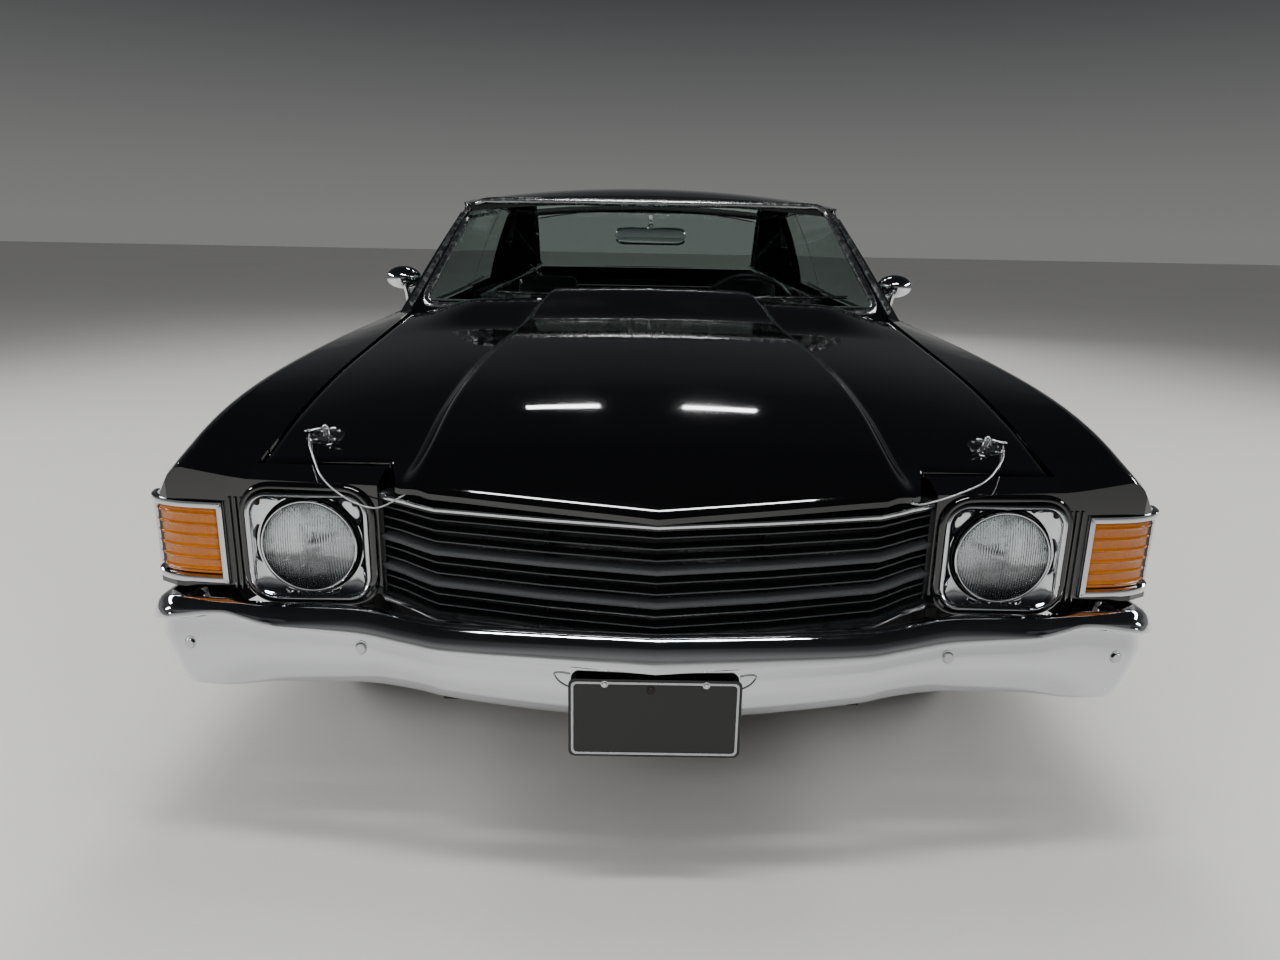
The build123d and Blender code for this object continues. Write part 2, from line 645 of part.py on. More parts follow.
def turn_block(margin):
    """The corner lamp's whole volume: a lamp flush with the nose and with the fender's side."""
    x0, x1 = TURN_X[0] - margin, TURN_X[1]
    plan = ((x0, -2400), (x1, -2400), (x1, TURN_BACK + margin), (930 - margin, TURN_BACK + margin),
            (930 - margin, -2318 + margin), (x0, -2318 + margin))
    return prism_z(plan, TURN_Z[0] - margin, TURN_Z[1] + margin)


def corner_volume(proud):
    """The lamp's outer surface: the nose's plan with a rounded corner."""
    front = -2356 - proud
    side = 951 + proud
    plan = ((TURN_X[0], -2200), (TURN_X[0], front), (898, front + 14), (side - 14, front + 34), (side, front + 76),
            (side - 2, -2200))
    return prism_z(plan, 400, 900)


def headlamp_bezel():
    x, z = LAMP_PLACE
    frame = Rot(90, 0, 0) * bezel_block(BEZEL_SIZE[0], BEZEL_SIZE[1], BEZEL_DEPTH)
    dish = Rot(90, 0, 0) * Pos(0, 0, BEZEL_DEPTH / 2 - 9) * Cone(LAMP_RADIUS + 3, LAMP_RADIUS + 14, 18)
    bore = Rot(90, 0, 0) * Cylinder(LAMP_RADIUS + SEAT, BEZEL_DEPTH * 2)
    return Pos(x, BEZEL_FRONT + BEZEL_DEPTH / 2, z) * (frame - dish - bore)


def headlamp():
    """Round sealed lamp with a domed lens and its bowl behind."""
    x, z = LAMP_PLACE
    r = LAMP_RADIUS
    profile = [(0, -6), (0.55 * r, -1), (0.9 * r, 9), (r, 16), (r, 42), (0.8 * r, 62), (0.35 * r, 96), (0, 96)]
    face = Face(Polyline(*[(px, py, 0) for px, py in profile], close=True).wire())
    lamp = revolve(face, Axis.Y)
    return Pos(x, BEZEL_FRONT + 4, z) * lamp


def turn_frame():
    block = turn_block(0.0) & corner_volume(5.0)
    lens = prism_z(((TURN_X[0] + 16, -2420), (990, -2420), (990, TURN_BACK - 12), (TURN_X[0] + 16, TURN_BACK - 12)),
                   TURN_Z[0] + 16, TURN_Z[1] - 16)
    return block - lens


def turn_lens():
    block = turn_block(-SEAT) & corner_volume(3.0)
    return block & prism_z(
        ((TURN_X[0] + 16 + SEAT, -2420), (990, -2420), (990, TURN_BACK - 12 - SEAT),
         (TURN_X[0] + 16 + SEAT, TURN_BACK - 12 - SEAT)), TURN_Z[0] + 16 + SEAT, TURN_Z[1] - 16 - SEAT)


GRILLE_PLAN = ((0, -2440), (398, -2396), (GRILLE_HALF - SEAT, -2356))
GRILLE_DEPTH = 40.0
GRILLE_BARS = 10
GRILLE_TOP = (687.0, 710.0)     # at the middle and at the ends
GRILLE_LOW = (474.0, 520.0)
WIDE_BARS = (3, 6)


def grille():
    """Horizontal bars that follow the nose's shallow V, between an upper and a lower rail."""
    def bar(share, half, depth, setback):
        top_mid = GRILLE_LOW[0] + (GRILLE_TOP[0] - GRILLE_LOW[0]) * share
        top_end = GRILLE_LOW[1] + (GRILLE_TOP[1] - GRILLE_LOW[1]) * share
        heights = (top_mid, top_mid + (top_end - top_mid) * 0.45, top_end)
        wires = []
        for (x, y), z in zip(GRILLE_PLAN, heights):
            corners = [(x, y + setback, z - half), (x, y + setback, z + half),
                       (x, y + depth, z + half), (x, y + depth, z - half)]
            wires.append(Polyline(*corners, close=True).wire())
        left = Solid.make_loft(wires, True)
        return [left, mirror(left, about=Plane.YZ)]

    pieces = bar(1.0, 9, GRILLE_DEPTH, 0) + bar(0.0, 9, GRILLE_DEPTH, 0)
    for n in range(1, GRILLE_BARS):
        wide = n in WIDE_BARS
        pieces += bar(n / GRILLE_BARS, 5.5 if wide else 2.5, GRILLE_DEPTH - 6, 2 if wide else 8)
    support = BONNET_FRONT - PANEL_GAP
    for x in (-GRILLE_HALF + SEAT + 6, -200, 200, GRILLE_HALF - SEAT - 6):
        outer = abs(x) > 300
        low, top = (GRILLE_LOW[1], GRILLE_TOP[1]) if outer else (GRILLE_LOW[0] + 14, GRILLE_TOP[0])
        front, back = (-2348, -2318) if outer else (-2408, support)
        pieces.append(box(x - 6, x + 6, front, back, low, top))
    return pieces[0].fuse(*pieces[1:])


# Bumpers: plan points, outward heading, heights of the top, of the band's lower line and of the lower edge
BUMPER_COLUMNS = ("x", "y", "heading", "z_top", "z_band", "z_low", "tuck")
FRONT_BUMPER = (
    (0, FRONT_END, 0, 503, 438, 324, 50),
    (384, -2482, 5, 506, 458, 352, 48),
    (530, -2446, 9, 520, 473, 360, 46),
    (700, -2430, 6, 517, 480, 352, 46),
    (760, -2422, 8, 518, 492, 344, 44),
    (815, -2412, 12, 518, 494, 336, 42),
    (905, -2390, 34, 516, 478, 338, 38),
    (944, -2350, 64, 511, 464, 366, 30),
    (954, -2290, 85, 506, 458, 404, 22),
    (955, -2180, 90, 500, 456, 430, 14),
)
REAR_BUMPER = (
    (0, REAR_END, 0, 606, 590, 408, 30),
    (400, 2500, 4, 606, 590, 408, 30),
    (700, 2486, 8, 606, 590, 408, 30),
    (860, 2462, 22, 604, 588, 412, 28),
    (932, 2410, 60, 600, 584, 424, 24),
    (950, 2340, 84, 592, 576, 450, 18),
    (951, 2200, 90, 580, 566, 480, 12),
)
BUMPER_WALL = 10.0
BRACKET_X = 411.0             # irons between the front bumper and the chassis rails


def bumper_half(table, sign, roll, depth):
    """Half a bumper, lofted along its plan line; sign is -1 at the front, +1 at the rear."""
    wires = []
    for x, y, heading, z_top, z_band, z_low, tuck in table:
        a = math.radians(heading)
        out = Vector(math.sin(a), sign * math.cos(a), 0)
        z_mid, z_face = (z_top + z_band) / 2, (z_band + z_low) / 2
        section = ((depth, z_top - 13), (20, z_top), (6, z_top - 6), (0, z_mid), (6, z_band), (roll, z_band - 7),
                   (0.7 * roll + 0.3 * tuck, z_face), (tuck, z_low), (tuck + BUMPER_WALL, z_low + 3),
                   (roll + BUMPER_WALL, z_band - 12), (16, z_mid), (26, z_top - 13), (depth, z_top - 23))
        points = [Vector(x, y, z) - out * d for d, z in section]
        wires.append(Polyline(*points, close=True).wire())
    return Solid.make_loft(wires, True)


def front_bumper():
    half = bumper_half(FRONT_BUMPER, -1, 14.0, 60.0)
    pieces = [mirror(half, about=Plane.YZ)]
    for side in (1, -1):
        x = side * BRACKET_X
        pieces.append(box(x - 17, x + 17, -2450, -2310, 400, 430))
        pieces.append(box(x - 17, x + 17, -2330, -2300, 312, 430))
        pieces.append(box(x - 17, x + 17, -2330, FRAME_FRONT - SEAT, 312, 372))
    return half.fuse(*pieces)


LAMP_ROW = (545.0, 720.0)
TAIL_LAMP_RADIUS = 62.0
TAIL_LAMP_Z = 502.0
PLATE_HOLES = (88.9, 60.3)      # half the spacing across and up
PLATE_Z = 497.0
PLATE_HOLE_RADIUS = 3.2
PLATE_PAD = (2478.0, 2488.0)


def rear_bumper():
    half = bumper_half(REAR_BUMPER, 1, 8.0, 88.0)
    shell = half + mirror(half, about=Plane.YZ)
    shell -= box(-160, 160, PLATE_PAD[1], REAR_END + 50, 414, 580)
    shell += box(-165, 165, *PLATE_PAD, 410, 584)
    for x in (-PLATE_HOLES[0], PLATE_HOLES[0]):
        for z in (-PLATE_HOLES[1], PLATE_HOLES[1]):
            shell -= rod((x, 2400, PLATE_Z + z), (x, 2520, PLATE_Z + z), PLATE_HOLE_RADIUS)
    for side in (1, -1):
        for x in LAMP_ROW:
            shell -= rod((side * x, 2380, TAIL_LAMP_Z), (side * x, 2540, TAIL_LAMP_Z), TAIL_LAMP_RADIUS + SEAT)
        x = side * 550.0
        shell += box(x - 30, x + 30, FRAME_REAR + SEAT, 2474, 400, 425)
    return shell


def tail_lamps():
    lamps = []
    for side in (1, -1):
        for x in LAMP_ROW:
            depth = 2490 if x < 600 else 2480
            lamps.append(rod((side * x, depth - 60, TAIL_LAMP_Z), (side * x, depth, TAIL_LAMP_Z), TAIL_LAMP_RADIUS))
    return lamps


def tail_panel():
    """Panel that closes the tail between the quarter panels, the boot lid and the bumper."""
    y = QUARTER_END
    xc, zc = crown(y)
    low, top = BUMPER_CLEAR[1], column(DECK, DECK_COLUMNS, "z_edge", LID_REAR) - 72
    side = [(side_x(y, z), z) for z in (low, 690, 760, 815, zc)]
    side += [(xc + SHOULDER_MID[0], body("z_top", y) + SHOULDER_MID[1]), (xc - SHOULDER_RUN, body("z_top", y))]
    side += [(body("x_seam", y), body("z_seam", y)), (body("x_seam", y), top)]
    outline = side + [(-x, z) for x, z in reversed(side)]
    panel = prism_y(outline, y + SEAT, y + 12)
    return panel + box(-LID_HALF, LID_HALF, 2300, y + 12, BOOT_FLOOR + SEAT, low + 20)


# Chassis
FRAME_FRONT = -2240.0
FRAME_REAR = 2240.0
RAIL_PLAN = ((350, FRAME_FRONT), (430, FRAME_FRONT), (430, -1150), (768, -900), (768, 790), (590, 968),
             (590, FRAME_REAR), (510, FRAME_REAR), (510, 935), (688, 757), (688, -865), (350, -1115))
RAIL_SIDE = ((FRAME_FRONT, 330), (-1200, 330), (-950, RAIL_TOP), (1012, RAIL_TOP), (1100, 455), (1500, 470),
             (1800, 430), (FRAME_REAR, 430), (FRAME_REAR, 345), (1800, 345), (1500, 400), (1190, 384),
             (1040, 190), (-950, 190), (-1200, 240), (FRAME_FRONT, 240))
CROSS_MEMBERS = (  # x half width, y from, y to, z from, z to
    (350, -1630, -1460, 200, 290),
    (350, -2235, -2175, 245, 325),
    (688, -260, -190, 235, 285),
    (688, 700, 752, 262, 289),
    (510, 1100, 1170, 400, 455),
    (510, 2170, 2235, 350, 425),
)


def frame_rail():
    """One full-length rail, wide between the wheels and narrow beside them."""
    return prism_z(RAIL_PLAN, 100, 600) & prism_x(RAIL_SIDE, 300, 900)


TUNNEL = ((-165, FLOOR_TOP), (-128, 452), (128, 452), (165, FLOOR_TOP))
SEAT_STEP = 1010.0


def floor_pan():
    low = FLOOR_TOP - FLOOR_SHEET
    outer = [(-FLOOR_HALF, FLOOR_TOP), *TUNNEL, (FLOOR_HALF, FLOOR_TOP)]
    inner = [(FLOOR_HALF, low), (153, low), (116, 440), (-116, 440), (-153, low), (-FLOOR_HALF, low)]
    front = prism_y(outer + inner, -880, SEAT_STEP)
    step = box(-600, 600, SEAT_STEP - 12, SEAT_STEP, FLOOR_TOP, BOOT_FLOOR) - box(-116, 116, 900, 1100, 200, 440)
    boot = box(-600, 600, SEAT_STEP - 12, 1720, BOOT_FLOOR - 12, BOOT_FLOOR)
    boot += box(-LID_HALF, LID_HALF, 1720, 2388, BOOT_FLOOR - 12, BOOT_FLOOR)
    toe = prism_x(((-880, low), (-880, FLOOR_TOP), (-988, 440), (-988, 894), (-1000, 894), (-1000, 432), (-892, low)),
                  -690, 690)
    toe -= prism_y(((-153, 200), (-116, 440), (116, 440), (153, 200)), -1100, -879)
    well = rod((600, REAR_AXLE, AXLE_HEIGHT), (800, REAR_AXLE, AXLE_HEIGHT), WELL_RADIUS + WELL_SHEET + SEAT)
    return front - both(well) + step + boot + toe


def rockers():
    """Sills below the doors, from the front wheel well to the rear one."""
    sections = []
    for y in (DOOR_FRONT - PANEL_GAP + SEAT, 0, DOOR_REAR + PANEL_GAP - SEAT):
        x0 = side_x(y, SILL_LOW + 8)
        x1 = side_x(y, SILL_TOP)
        foot, top = (x0 - 6, SILL_LOW), (x1, SILL_TOP)
        inner_top, inner_low = (FLOOR_HALF + SEAT, SILL_TOP), (FLOOR_HALF + SEAT, SILL_LOW + 20)
        sections.append(wire(y, (foot, (side_x(y, 256), 256), top), (top, inner_top), (inner_top, inner_low),
                             (inner_low, foot)))
    return loft_through(sections)


def wheel_wells():
    """Curved inner panels over the wheels; the rear ones have an inner wall too."""
    def shell(axle, x0, x1, floor_z):
        ring = rod((x0, axle, AXLE_HEIGHT), (x1, axle, AXLE_HEIGHT), WELL_RADIUS + WELL_SHEET)
        ring -= rod((x0 - 5, axle, AXLE_HEIGHT), (x1 + 5, axle, AXLE_HEIGHT), WELL_RADIUS)
        return ring & box(x0, x1, axle - 500, axle + 500, floor_z, 900)

    front = shell(FRONT_AXLE, 375, 900, 520)
    rear = shell(REAR_AXLE, 600 + SEAT, 912, 440)
    wall = rod((600 + SEAT, REAR_AXLE, AXLE_HEIGHT), (612, REAR_AXLE, AXLE_HEIGHT), WELL_RADIUS)
    rear += wall & box(600, 650, REAR_AXLE - 500, REAR_AXLE + 500, 500, 900)
    return both(front) + both(rear)


def radiator_support():
    """Panel behind the grille that carries the radiator, the lamps' panels and the bonnet's latch."""
    front = BONNET_FRONT - PANEL_GAP + SEAT
    frame = box(-GRILLE_HALF, GRILLE_HALF, front, front + 16, 380, 700) - box(-330, 330, front - 5, front + 30, 400, 670)
    core = box(-330 + SEAT, 330 - SEAT, front + 2, front + 50, 402, 668)
    legs = [box(side * 370 - 18, side * 370 + 18, front, FRAME_FRONT - SEAT, 300, 380) for side in (1, -1)]
    return [frame + legs[0] + legs[1], core]


SHAFT_Z = 338.0
ENGINE = (-300, 300, -1860, -1080, 290 + SEAT, 770)


def driveline():
    """Gearbox behind the engine, and the shaft to the rear axle."""
    z = SHAFT_Z
    box_end, shaft_start = -330.0, -90.0
    gearbox = rod((0, ENGINE[3] + SEAT, z), (0, box_end, z), 95) + rod((0, box_end, z), (0, shaft_start, z), 48)
    shaft = rod((0, shaft_start + SEAT, z), (0, REAR_AXLE - 150, z), 36)
    return [gearbox, shaft]


def rear_axle():
    end = REAR_TRACK / 2 - 66.0
    tube = rod((-end, REAR_AXLE, AXLE_HEIGHT), (end, REAR_AXLE, AXLE_HEIGHT), 42)
    stub = REAR_TRACK / 2 + 20.0
    shafts = rod((-stub, REAR_AXLE, AXLE_HEIGHT), (stub, REAR_AXLE, AXLE_HEIGHT), REAR_STUB_RADIUS)
    case = rod((-70, REAR_AXLE, AXLE_HEIGHT), (70, REAR_AXLE, AXLE_HEIGHT), 118)
    nose = rod((0, REAR_AXLE - 150 + SEAT, SHAFT_Z), (0, REAR_AXLE, SHAFT_Z), 55)
    return tube + shafts + case + nose


REAR_STUB_RADIUS = 26.0
FRONT_STUB_RADIUS = 22.0


def rear_suspension():
    """Coil springs on the axle and the arms that locate it."""
    x = 440.0
    top = BOOT_FLOOR - FLOOR_SHEET - SEAT
    low = AXLE_HEIGHT + 42 + SEAT
    coils = 5
    pitch = (top - low) / coils
    spring = Pos(x, REAR_AXLE, (top + low) / 2) * Cylinder(40, top - low)
    for n in range(coils):
        spring += Pos(x, REAR_AXLE, low + (n + 0.5) * pitch) * Torus(46, 8)
    springs = both(spring)
    arm = prism_x(((752 + SEAT, 262), (752 + SEAT, 288), (REAR_AXLE - 30, 286), (REAR_AXLE + 30, 286), (REAR_AXLE + 30, 256),
                   (REAR_AXLE - 30, 256)), 440, 480)
    arm += box(440, 480, REAR_AXLE - 25, REAR_AXLE + 25, 256, AXLE_HEIGHT - 42 - SEAT)
    return springs + both(arm)


def front_suspension():
    """Wishbones from the frame to each knuckle."""
    def wishbone(z, x_in, half_in, thick):
        plan = ((x_in, FRONT_AXLE - half_in), (KINGPIN_X, FRONT_AXLE - 24), (KINGPIN_X, FRONT_AXLE + 24),
                (x_in, FRONT_AXLE + half_in))
        plate = prism_z(plan, z - thick / 2, z + thick / 2)
        plate += Pos(KINGPIN_X, FRONT_AXLE, z) * Cylinder(24, thick)
        mid = (x_in + KINGPIN_X) / 2 - 20
        return plate - prism_z(((x_in + 20, FRONT_AXLE - half_in + 22), (mid + 60, FRONT_AXLE - 10),
                                (mid + 60, FRONT_AXLE + 10), (x_in + 20, FRONT_AXLE + half_in - 22)), z - 60, z + 60)

    lower = wishbone(LOWER_JOINT_Z - 12, 430 + SEAT, 70, 24)
    upper = wishbone(UPPER_JOINT_Z + 10, 430 + SEAT, 60, 20)
    tower = box(352, 430, FRONT_AXLE - 70, FRONT_AXLE + 70, 330 + SEAT, 727)
    return both(lower) + both(upper) + both(tower)


LOWER_JOINT_Z = 262.0
UPPER_JOINT_Z = 440.0


def knuckle():
    """Upright between the wishbones, with the stub that the wheel turns on."""
    x, y = KINGPIN_X, FRONT_AXLE
    upright = Pos(x, y, (LOWER_JOINT_Z + UPPER_JOINT_Z) / 2) * Cylinder(20, UPPER_JOINT_Z - LOWER_JOINT_Z - 2 * SEAT)
    plate = rod((x + 8, y, AXLE_HEIGHT), (x + 20, y, AXLE_HEIGHT), 62)
    stub = rod((x, y, AXLE_HEIGHT), (FRONT_TRACK / 2 + 20, y, AXLE_HEIGHT), FRONT_STUB_RADIUS)
    arm = box(x - 14, x + 10, y + 10, y + 110, 286, 302)
    return upright + plate + stub + arm


def rim(bore, back):
    """Five-spoke pressed wheel about the X axis, its outside towards +X; back is the hub's inner face."""
    w, r = RIM_WIDTH / 2, RIM_RADIUS
    profile = [(-w, r + 12), (-w + 7, r + 12), (-w + 10, r), (-w + 40, r - 4), (-20, r - 22), (30, r - 22),
               (w - 34, r - 3), (w - 10, r), (w - 7, r + 12), (w, r + 12), (w, r + 3), (w - 6, r - 9),
               (w - 36, r - 12), (34, r - 31), (-24, r - 31), (-w + 42, r - 13), (-w + 4, r - 9), (-w, r + 4)]
    barrel = revolve(Face(Polyline(*[(x, z, 0) for x, z in profile], close=True).wire()), Axis.X)
    hub = Pos((back + 44) / 2, 0, 0) * Rot(0, 90, 0) * Cylinder(64, 44 - back)
    wheel = barrel + hub
    spokes = 5
    for n in range(spokes):
        outline = ((30, 50), (48, 50), (40, 110), (30, r - 25), (6, r - 25), (18, 110))
        half = 24.0
        face = Face(Polyline(*[(x, -half, z) for x, z in outline], close=True).wire())
        spoke = extrude(face, amount=2 * half, dir=(0, 1, 0))
        wheel += Rot(360.0 * n / spokes, 0, 0) * spoke
    wheel -= Rot(0, 90, 0) * Cylinder(bore, 400)
    return wheel


def tyre():
    w, r, bead = TYRE_WIDTH / 2, TYRE_RADIUS, RIM_RADIUS + SEAT
    flange = RIM_WIDTH / 2 + SEAT
    wall = 12.0
    legs = [
        Line((-flange + 11, bead), (-flange + 11, bead + 14)),
        Line((-flange + 11, bead + 14), (-flange - 4, bead + 16)),
        ThreePointArc((-flange - 4, bead + 16), (-w, (bead + r) / 2 + 6), (-w + 16, r - 10)),
        ThreePointArc((-w + 16, r - 10), (0, r), (w - 16, r - 10)),
        ThreePointArc((w - 16, r - 10), (w, (bead + r) / 2 + 6), (flange + 4, bead + 16)),
        Line((flange + 4, bead + 16), (flange - 11, bead + 14)),
        Line((flange - 11, bead + 14), (flange - 11, bead)),
        Line((flange - 11, bead), (flange - 24, bead + 2)),
        ThreePointArc((flange - 24, bead + 2), (w - wall, (bead + r) / 2 + 6), (w - 30, r - 24)),
        Line((w - 30, r - 24), (-w + 30, r - 24)),
        ThreePointArc((-w + 30, r - 24), (-w + wall, (bead + r) / 2 + 6), (-flange + 24, bead + 2)),
        Line((-flange + 24, bead + 2), (-flange + 11, bead)),
    ]
    face = Face(Wire([leg.edge() for leg in legs]))
    return revolve(face, Axis.X)


def pipe(radius, bend, *points):
    """A round bar that bends at each inner point."""
    route = FilletPolyline(*points, radius=bend)
    return sweep(Plane(origin=route @ 0, z_dir=route % 0) * Circle(radius), path=route)


def exhaust():
    """Twin pipes with a silencer each, ending under the rear bumper."""
    x, z, r = 250.0, 168.0, 27.0
    front = rod((x, -1050, z), (x, 600, z), r)
    silencer = Pos(x, 860, 198) * Rot(90, 0, 0) * extrude(RectangleRounded(200, 104, 48), amount=290, both=True)
    tail = pipe(24, 70, (x + 40, 1120, 200), (x + 40, 1240, 204), (x + 190, 1720, 232), (x + 190, 2360, 262))
    hanger = box(x - 8, x + 8, -240, -210, z + r - 6, 235 - SEAT)
    return both(front + silencer + tail + hanger)


def fuel_tank():
    tank = box(-380, 380, 1760, 2150, 250, BOOT_FLOOR - FLOOR_SHEET - SEAT)
    return fillet(tank.edges().filter_by(Axis.Z), 60)


# Cabin

def dashboard():
    outline = ((-988 + SEAT, 640), (-988 + SEAT, 880), (-900, 905), (-740, 905), (-655, 870), (-640, 800), (-700, 690),
               (-860, 640))
    return prism_x(outline, -700, 700)


WHEEL_CENTRE = (370.0, -430.0, 852.0)
COLUMN_RISE = 21.8
STEERING_RADIUS = 185.0


def along_column(distance):
    """A point on the steering column's line, a distance behind the steering wheel's centre."""
    a = math.radians(COLUMN_RISE)
    x, y, z = WHEEL_CENTRE
    return (x, y + distance * math.cos(a), z + distance * math.sin(a))


def steering_column():
    column_tube = rod(along_column(-258), along_column(-46), 30) + rod(along_column(-60), along_column(4), 9)
    return column_tube - prism_x(((-988, 640), (-988, 905), (-740, 905), (-655 + SEAT, 870), (-640 + SEAT, 800),
                                  (-700 + SEAT, 690 - SEAT), (-860, 640)), -700, 700)


def steering_wheel():
    wheel = Torus(STEERING_RADIUS, 12) + Pos(0, 0, -14) * Cylinder(36, 50)
    for turn in (0, 90, 180):
        wheel += Rot(0, 0, turn) * Pos(STEERING_RADIUS / 2, 0, -6) * Box(STEERING_RADIUS - 12, 30, 8)
    wheel -= Pos(0, 0, -30) * Cylinder(9 + SHAFT_CLEARANCE, 70)
    plane = Plane(origin=WHEEL_CENTRE, x_dir=(1, 0, 0), z_dir=Vector(*along_column(1)) - Vector(*WHEEL_CENTRE))
    return plane * wheel


def front_seat():
    outline = ((-400, FLOOR_TOP + SEAT), (-400, 430), (-360, 486), (-60, 466), (30, 520), (150, 860), (170, 980), (226, 985),
               (240, 900), (160, 480), (100, FLOOR_TOP + SEAT))
    seat = prism_x(outline, 190, 690)
    return fillet(seat.edges().filter_by(Axis.X), 14)


def rear_seat():
    outline = ((560, FLOOR_TOP + SEAT), (560, 430), (600, 486), (900, 452), (1030, 850), (1110, 870), (1120, 820),
               (1060, BOOT_FLOOR + SEAT), (SEAT_STEP - 12 - SEAT, BOOT_FLOOR + SEAT), (SEAT_STEP - 12 - SEAT, FLOOR_TOP + SEAT))
    seat = prism_x(outline, -590, 590)
    return seat - prism_y(((-170, 290), (-130, 456), (130, 456), (170, 290)), 500, 1100)


def inside_mirror():
    glass_case = Pos(0, -590, 1158) * Box(250, 22, 60)
    glass_case = fillet(glass_case.edges().filter_by(Axis.Y), 18)
    return glass_case + (rod((0, -592, 1180), (0, -604, 1230), 6) & house(10.0 + SEAT))


def cowl():
    """Panel between the bonnet and the windscreen, above the bulkhead."""
    front, low, high = BONNET_REAR + PANEL_GAP, 876.0, 888.0
    panel = box(-788, 788, front, -1000 - SEAT, low, high)
    y, z = BONNET_PIVOT
    for x in BONNET_HINGES:
        panel += box(x - 5, x + 5, y - 7, front, low, high + 24) + box(x - 5, x + 5, y - 7, y + 6, low, z)
        panel += rod((x - 5, y, z), (x + 5, y, z), 6.5)
        panel -= rod((x - 6, y, z), (x + 6, y, z), BONNET_HINGE_PIN + SHAFT_CLEARANCE)
    return panel


def cabin_sides():
    """Hinge posts ahead of the doors, and the side walls with the latch posts behind them."""
    post = box(740, 868, -984, DOOR_FRONT - PANEL_GAP, FLOOR_TOP + SEAT, 862)
    back = DOOR_REAR + PANEL_GAP
    wall = box(FLOOR_HALF - 2, DOOR_INNER, back, 880, FLOOR_TOP + SEAT, 890)
    wall += box(FLOOR_HALF - 2, DOOR_INNER, 880, 1120, 760, 890)
    wall += box(DOOR_INNER, 878, back, back + 20, FLOOR_TOP + SEAT, 850)
    post = post.fuse(*[hinge_strap(z) for z in HINGE_HEIGHTS])
    return both(post) + both(wall)


def front_plate():
    plate = box(-152.5, 152.5, FRONT_END + 4, FRONT_END + 6, 278, 430)
    bracket = box(-70, 70, FRONT_END + 6, FRONT_END + 31, 372, 400)
    return plate + bracket - Pos(0, -SEAT, 0) * front_bumper()


def main():
    os.makedirs("parts", exist_ok=True)
    front_wheel = rim(FRONT_STUB_RADIUS + SHAFT_CLEARANCE, -56)
    rear_wheel = rim(REAR_STUB_RADIUS + SHAFT_CLEARANCE, -56)
    rubber = tyre()
    for name, axle, track, wheel in (("front", FRONT_AXLE, FRONT_TRACK, front_wheel),
                                     ("rear", REAR_AXLE, REAR_TRACK, rear_wheel)):
        for side_name, side in (("left", 1), ("right", -1)):
            place = Pos(side * track / 2, axle, AXLE_HEIGHT)
            turn = Rot(0, 0, 0) if side > 0 else Rot(0, 0, 180)
            save(f"rim_{name}_{side_name}", place * turn * wheel)
            save(f"tyre_{name}_{side_name}", place * turn * rubber)
    knuckles = both(knuckle())
    save("knuckle_left", knuckles[0])
    save("knuckle_right", knuckles[1])
    save("frame_rails", both(frame_rail()))
    save("cross_members", [box(-x + SEAT, x - SEAT, *ends) for x, *ends in CROSS_MEMBERS])
    save("floor_pan", floor_pan())
    save("rockers", both(rockers()))
    save("wheel_wells", wheel_wells())
    save("radiator_support", radiator_support())
    save("engine_block", box(*ENGINE))
    save("driveline", driveline() + [rear_axle()])
    save("suspension", rear_suspension() + front_suspension())
    save("exhaust", exhaust())
    save("fuel_tank", fuel_tank())
    save("front_fenders", both(fender()))
    save("quarter_panels", both(quarter()))
    save("nose_panels", both(nose_panel()))
    save("lamp_bezels", both(headlamp_bezel()) + both(turn_frame()))
    save("headlamps", both(headlamp()))
    save("turn_lamp_lenses", both(turn_lens()))
    save("grille", grille())
    save("front_bumper", front_bumper())
    save("front_plate", front_plate())
    save("rear_bumper", rear_bumper())
    save("tail_lamps", tail_lamps())
    save("bonnet", bonnet())
    save("bonnet_pins", both(bonnet_pin()))
    save("lanyard_left", lanyard(LANYARD_LEFT))
    save("lanyard_right", lanyard(LANYARD_RIGHT))
    save("boot_lid", boot_lid())
    save("deck_panels", [deck_filler(), tail_panel()])
    save("cabin_sides", cabin_sides() + [cowl()])
    save("roof_panel", roof_band(0.0, ROOF_THICK) & roof_outline(1150, 1400))
    save("roof_pillars", pillars())
    save("windscreen", glass(SCREEN_WINDOW, -1300, -300, SEAT))
    save("back_window", glass(BACK_WINDOW, 500, 1700, SEAT))
    save("quarter_windows", both(side_glass(DOOR_REAR + PANEL_GAP, 1000, 900, SEAT)))
    door = door_solid()
    doors, panes = both(door), both(side_glass(-1100, DOOR_REAR, 880, 7.0) - Pos(0, 0, SEAT) * door)
    mirrors = both(mirror_shell())
    for i, side_name in enumerate(("left", "right")):
        save(f"door_{side_name}", doors[i])
        save(f"door_glass_{side_name}", panes[i])
        save(f"door_mirror_{side_name}", mirrors[i])
    save("dashboard", [dashboard(), steering_column()])
    save("steering_wheel", steering_wheel())
    save("front_seats", both(front_seat()))
    save("rear_seat", rear_seat())
    save("inside_mirror", inside_mirror())


if __name__ == "__main__":
    main()
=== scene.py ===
import math

import bmesh
import bpy
from mathutils import Matrix, Vector
from mathutils.bvhtree import BVHTree


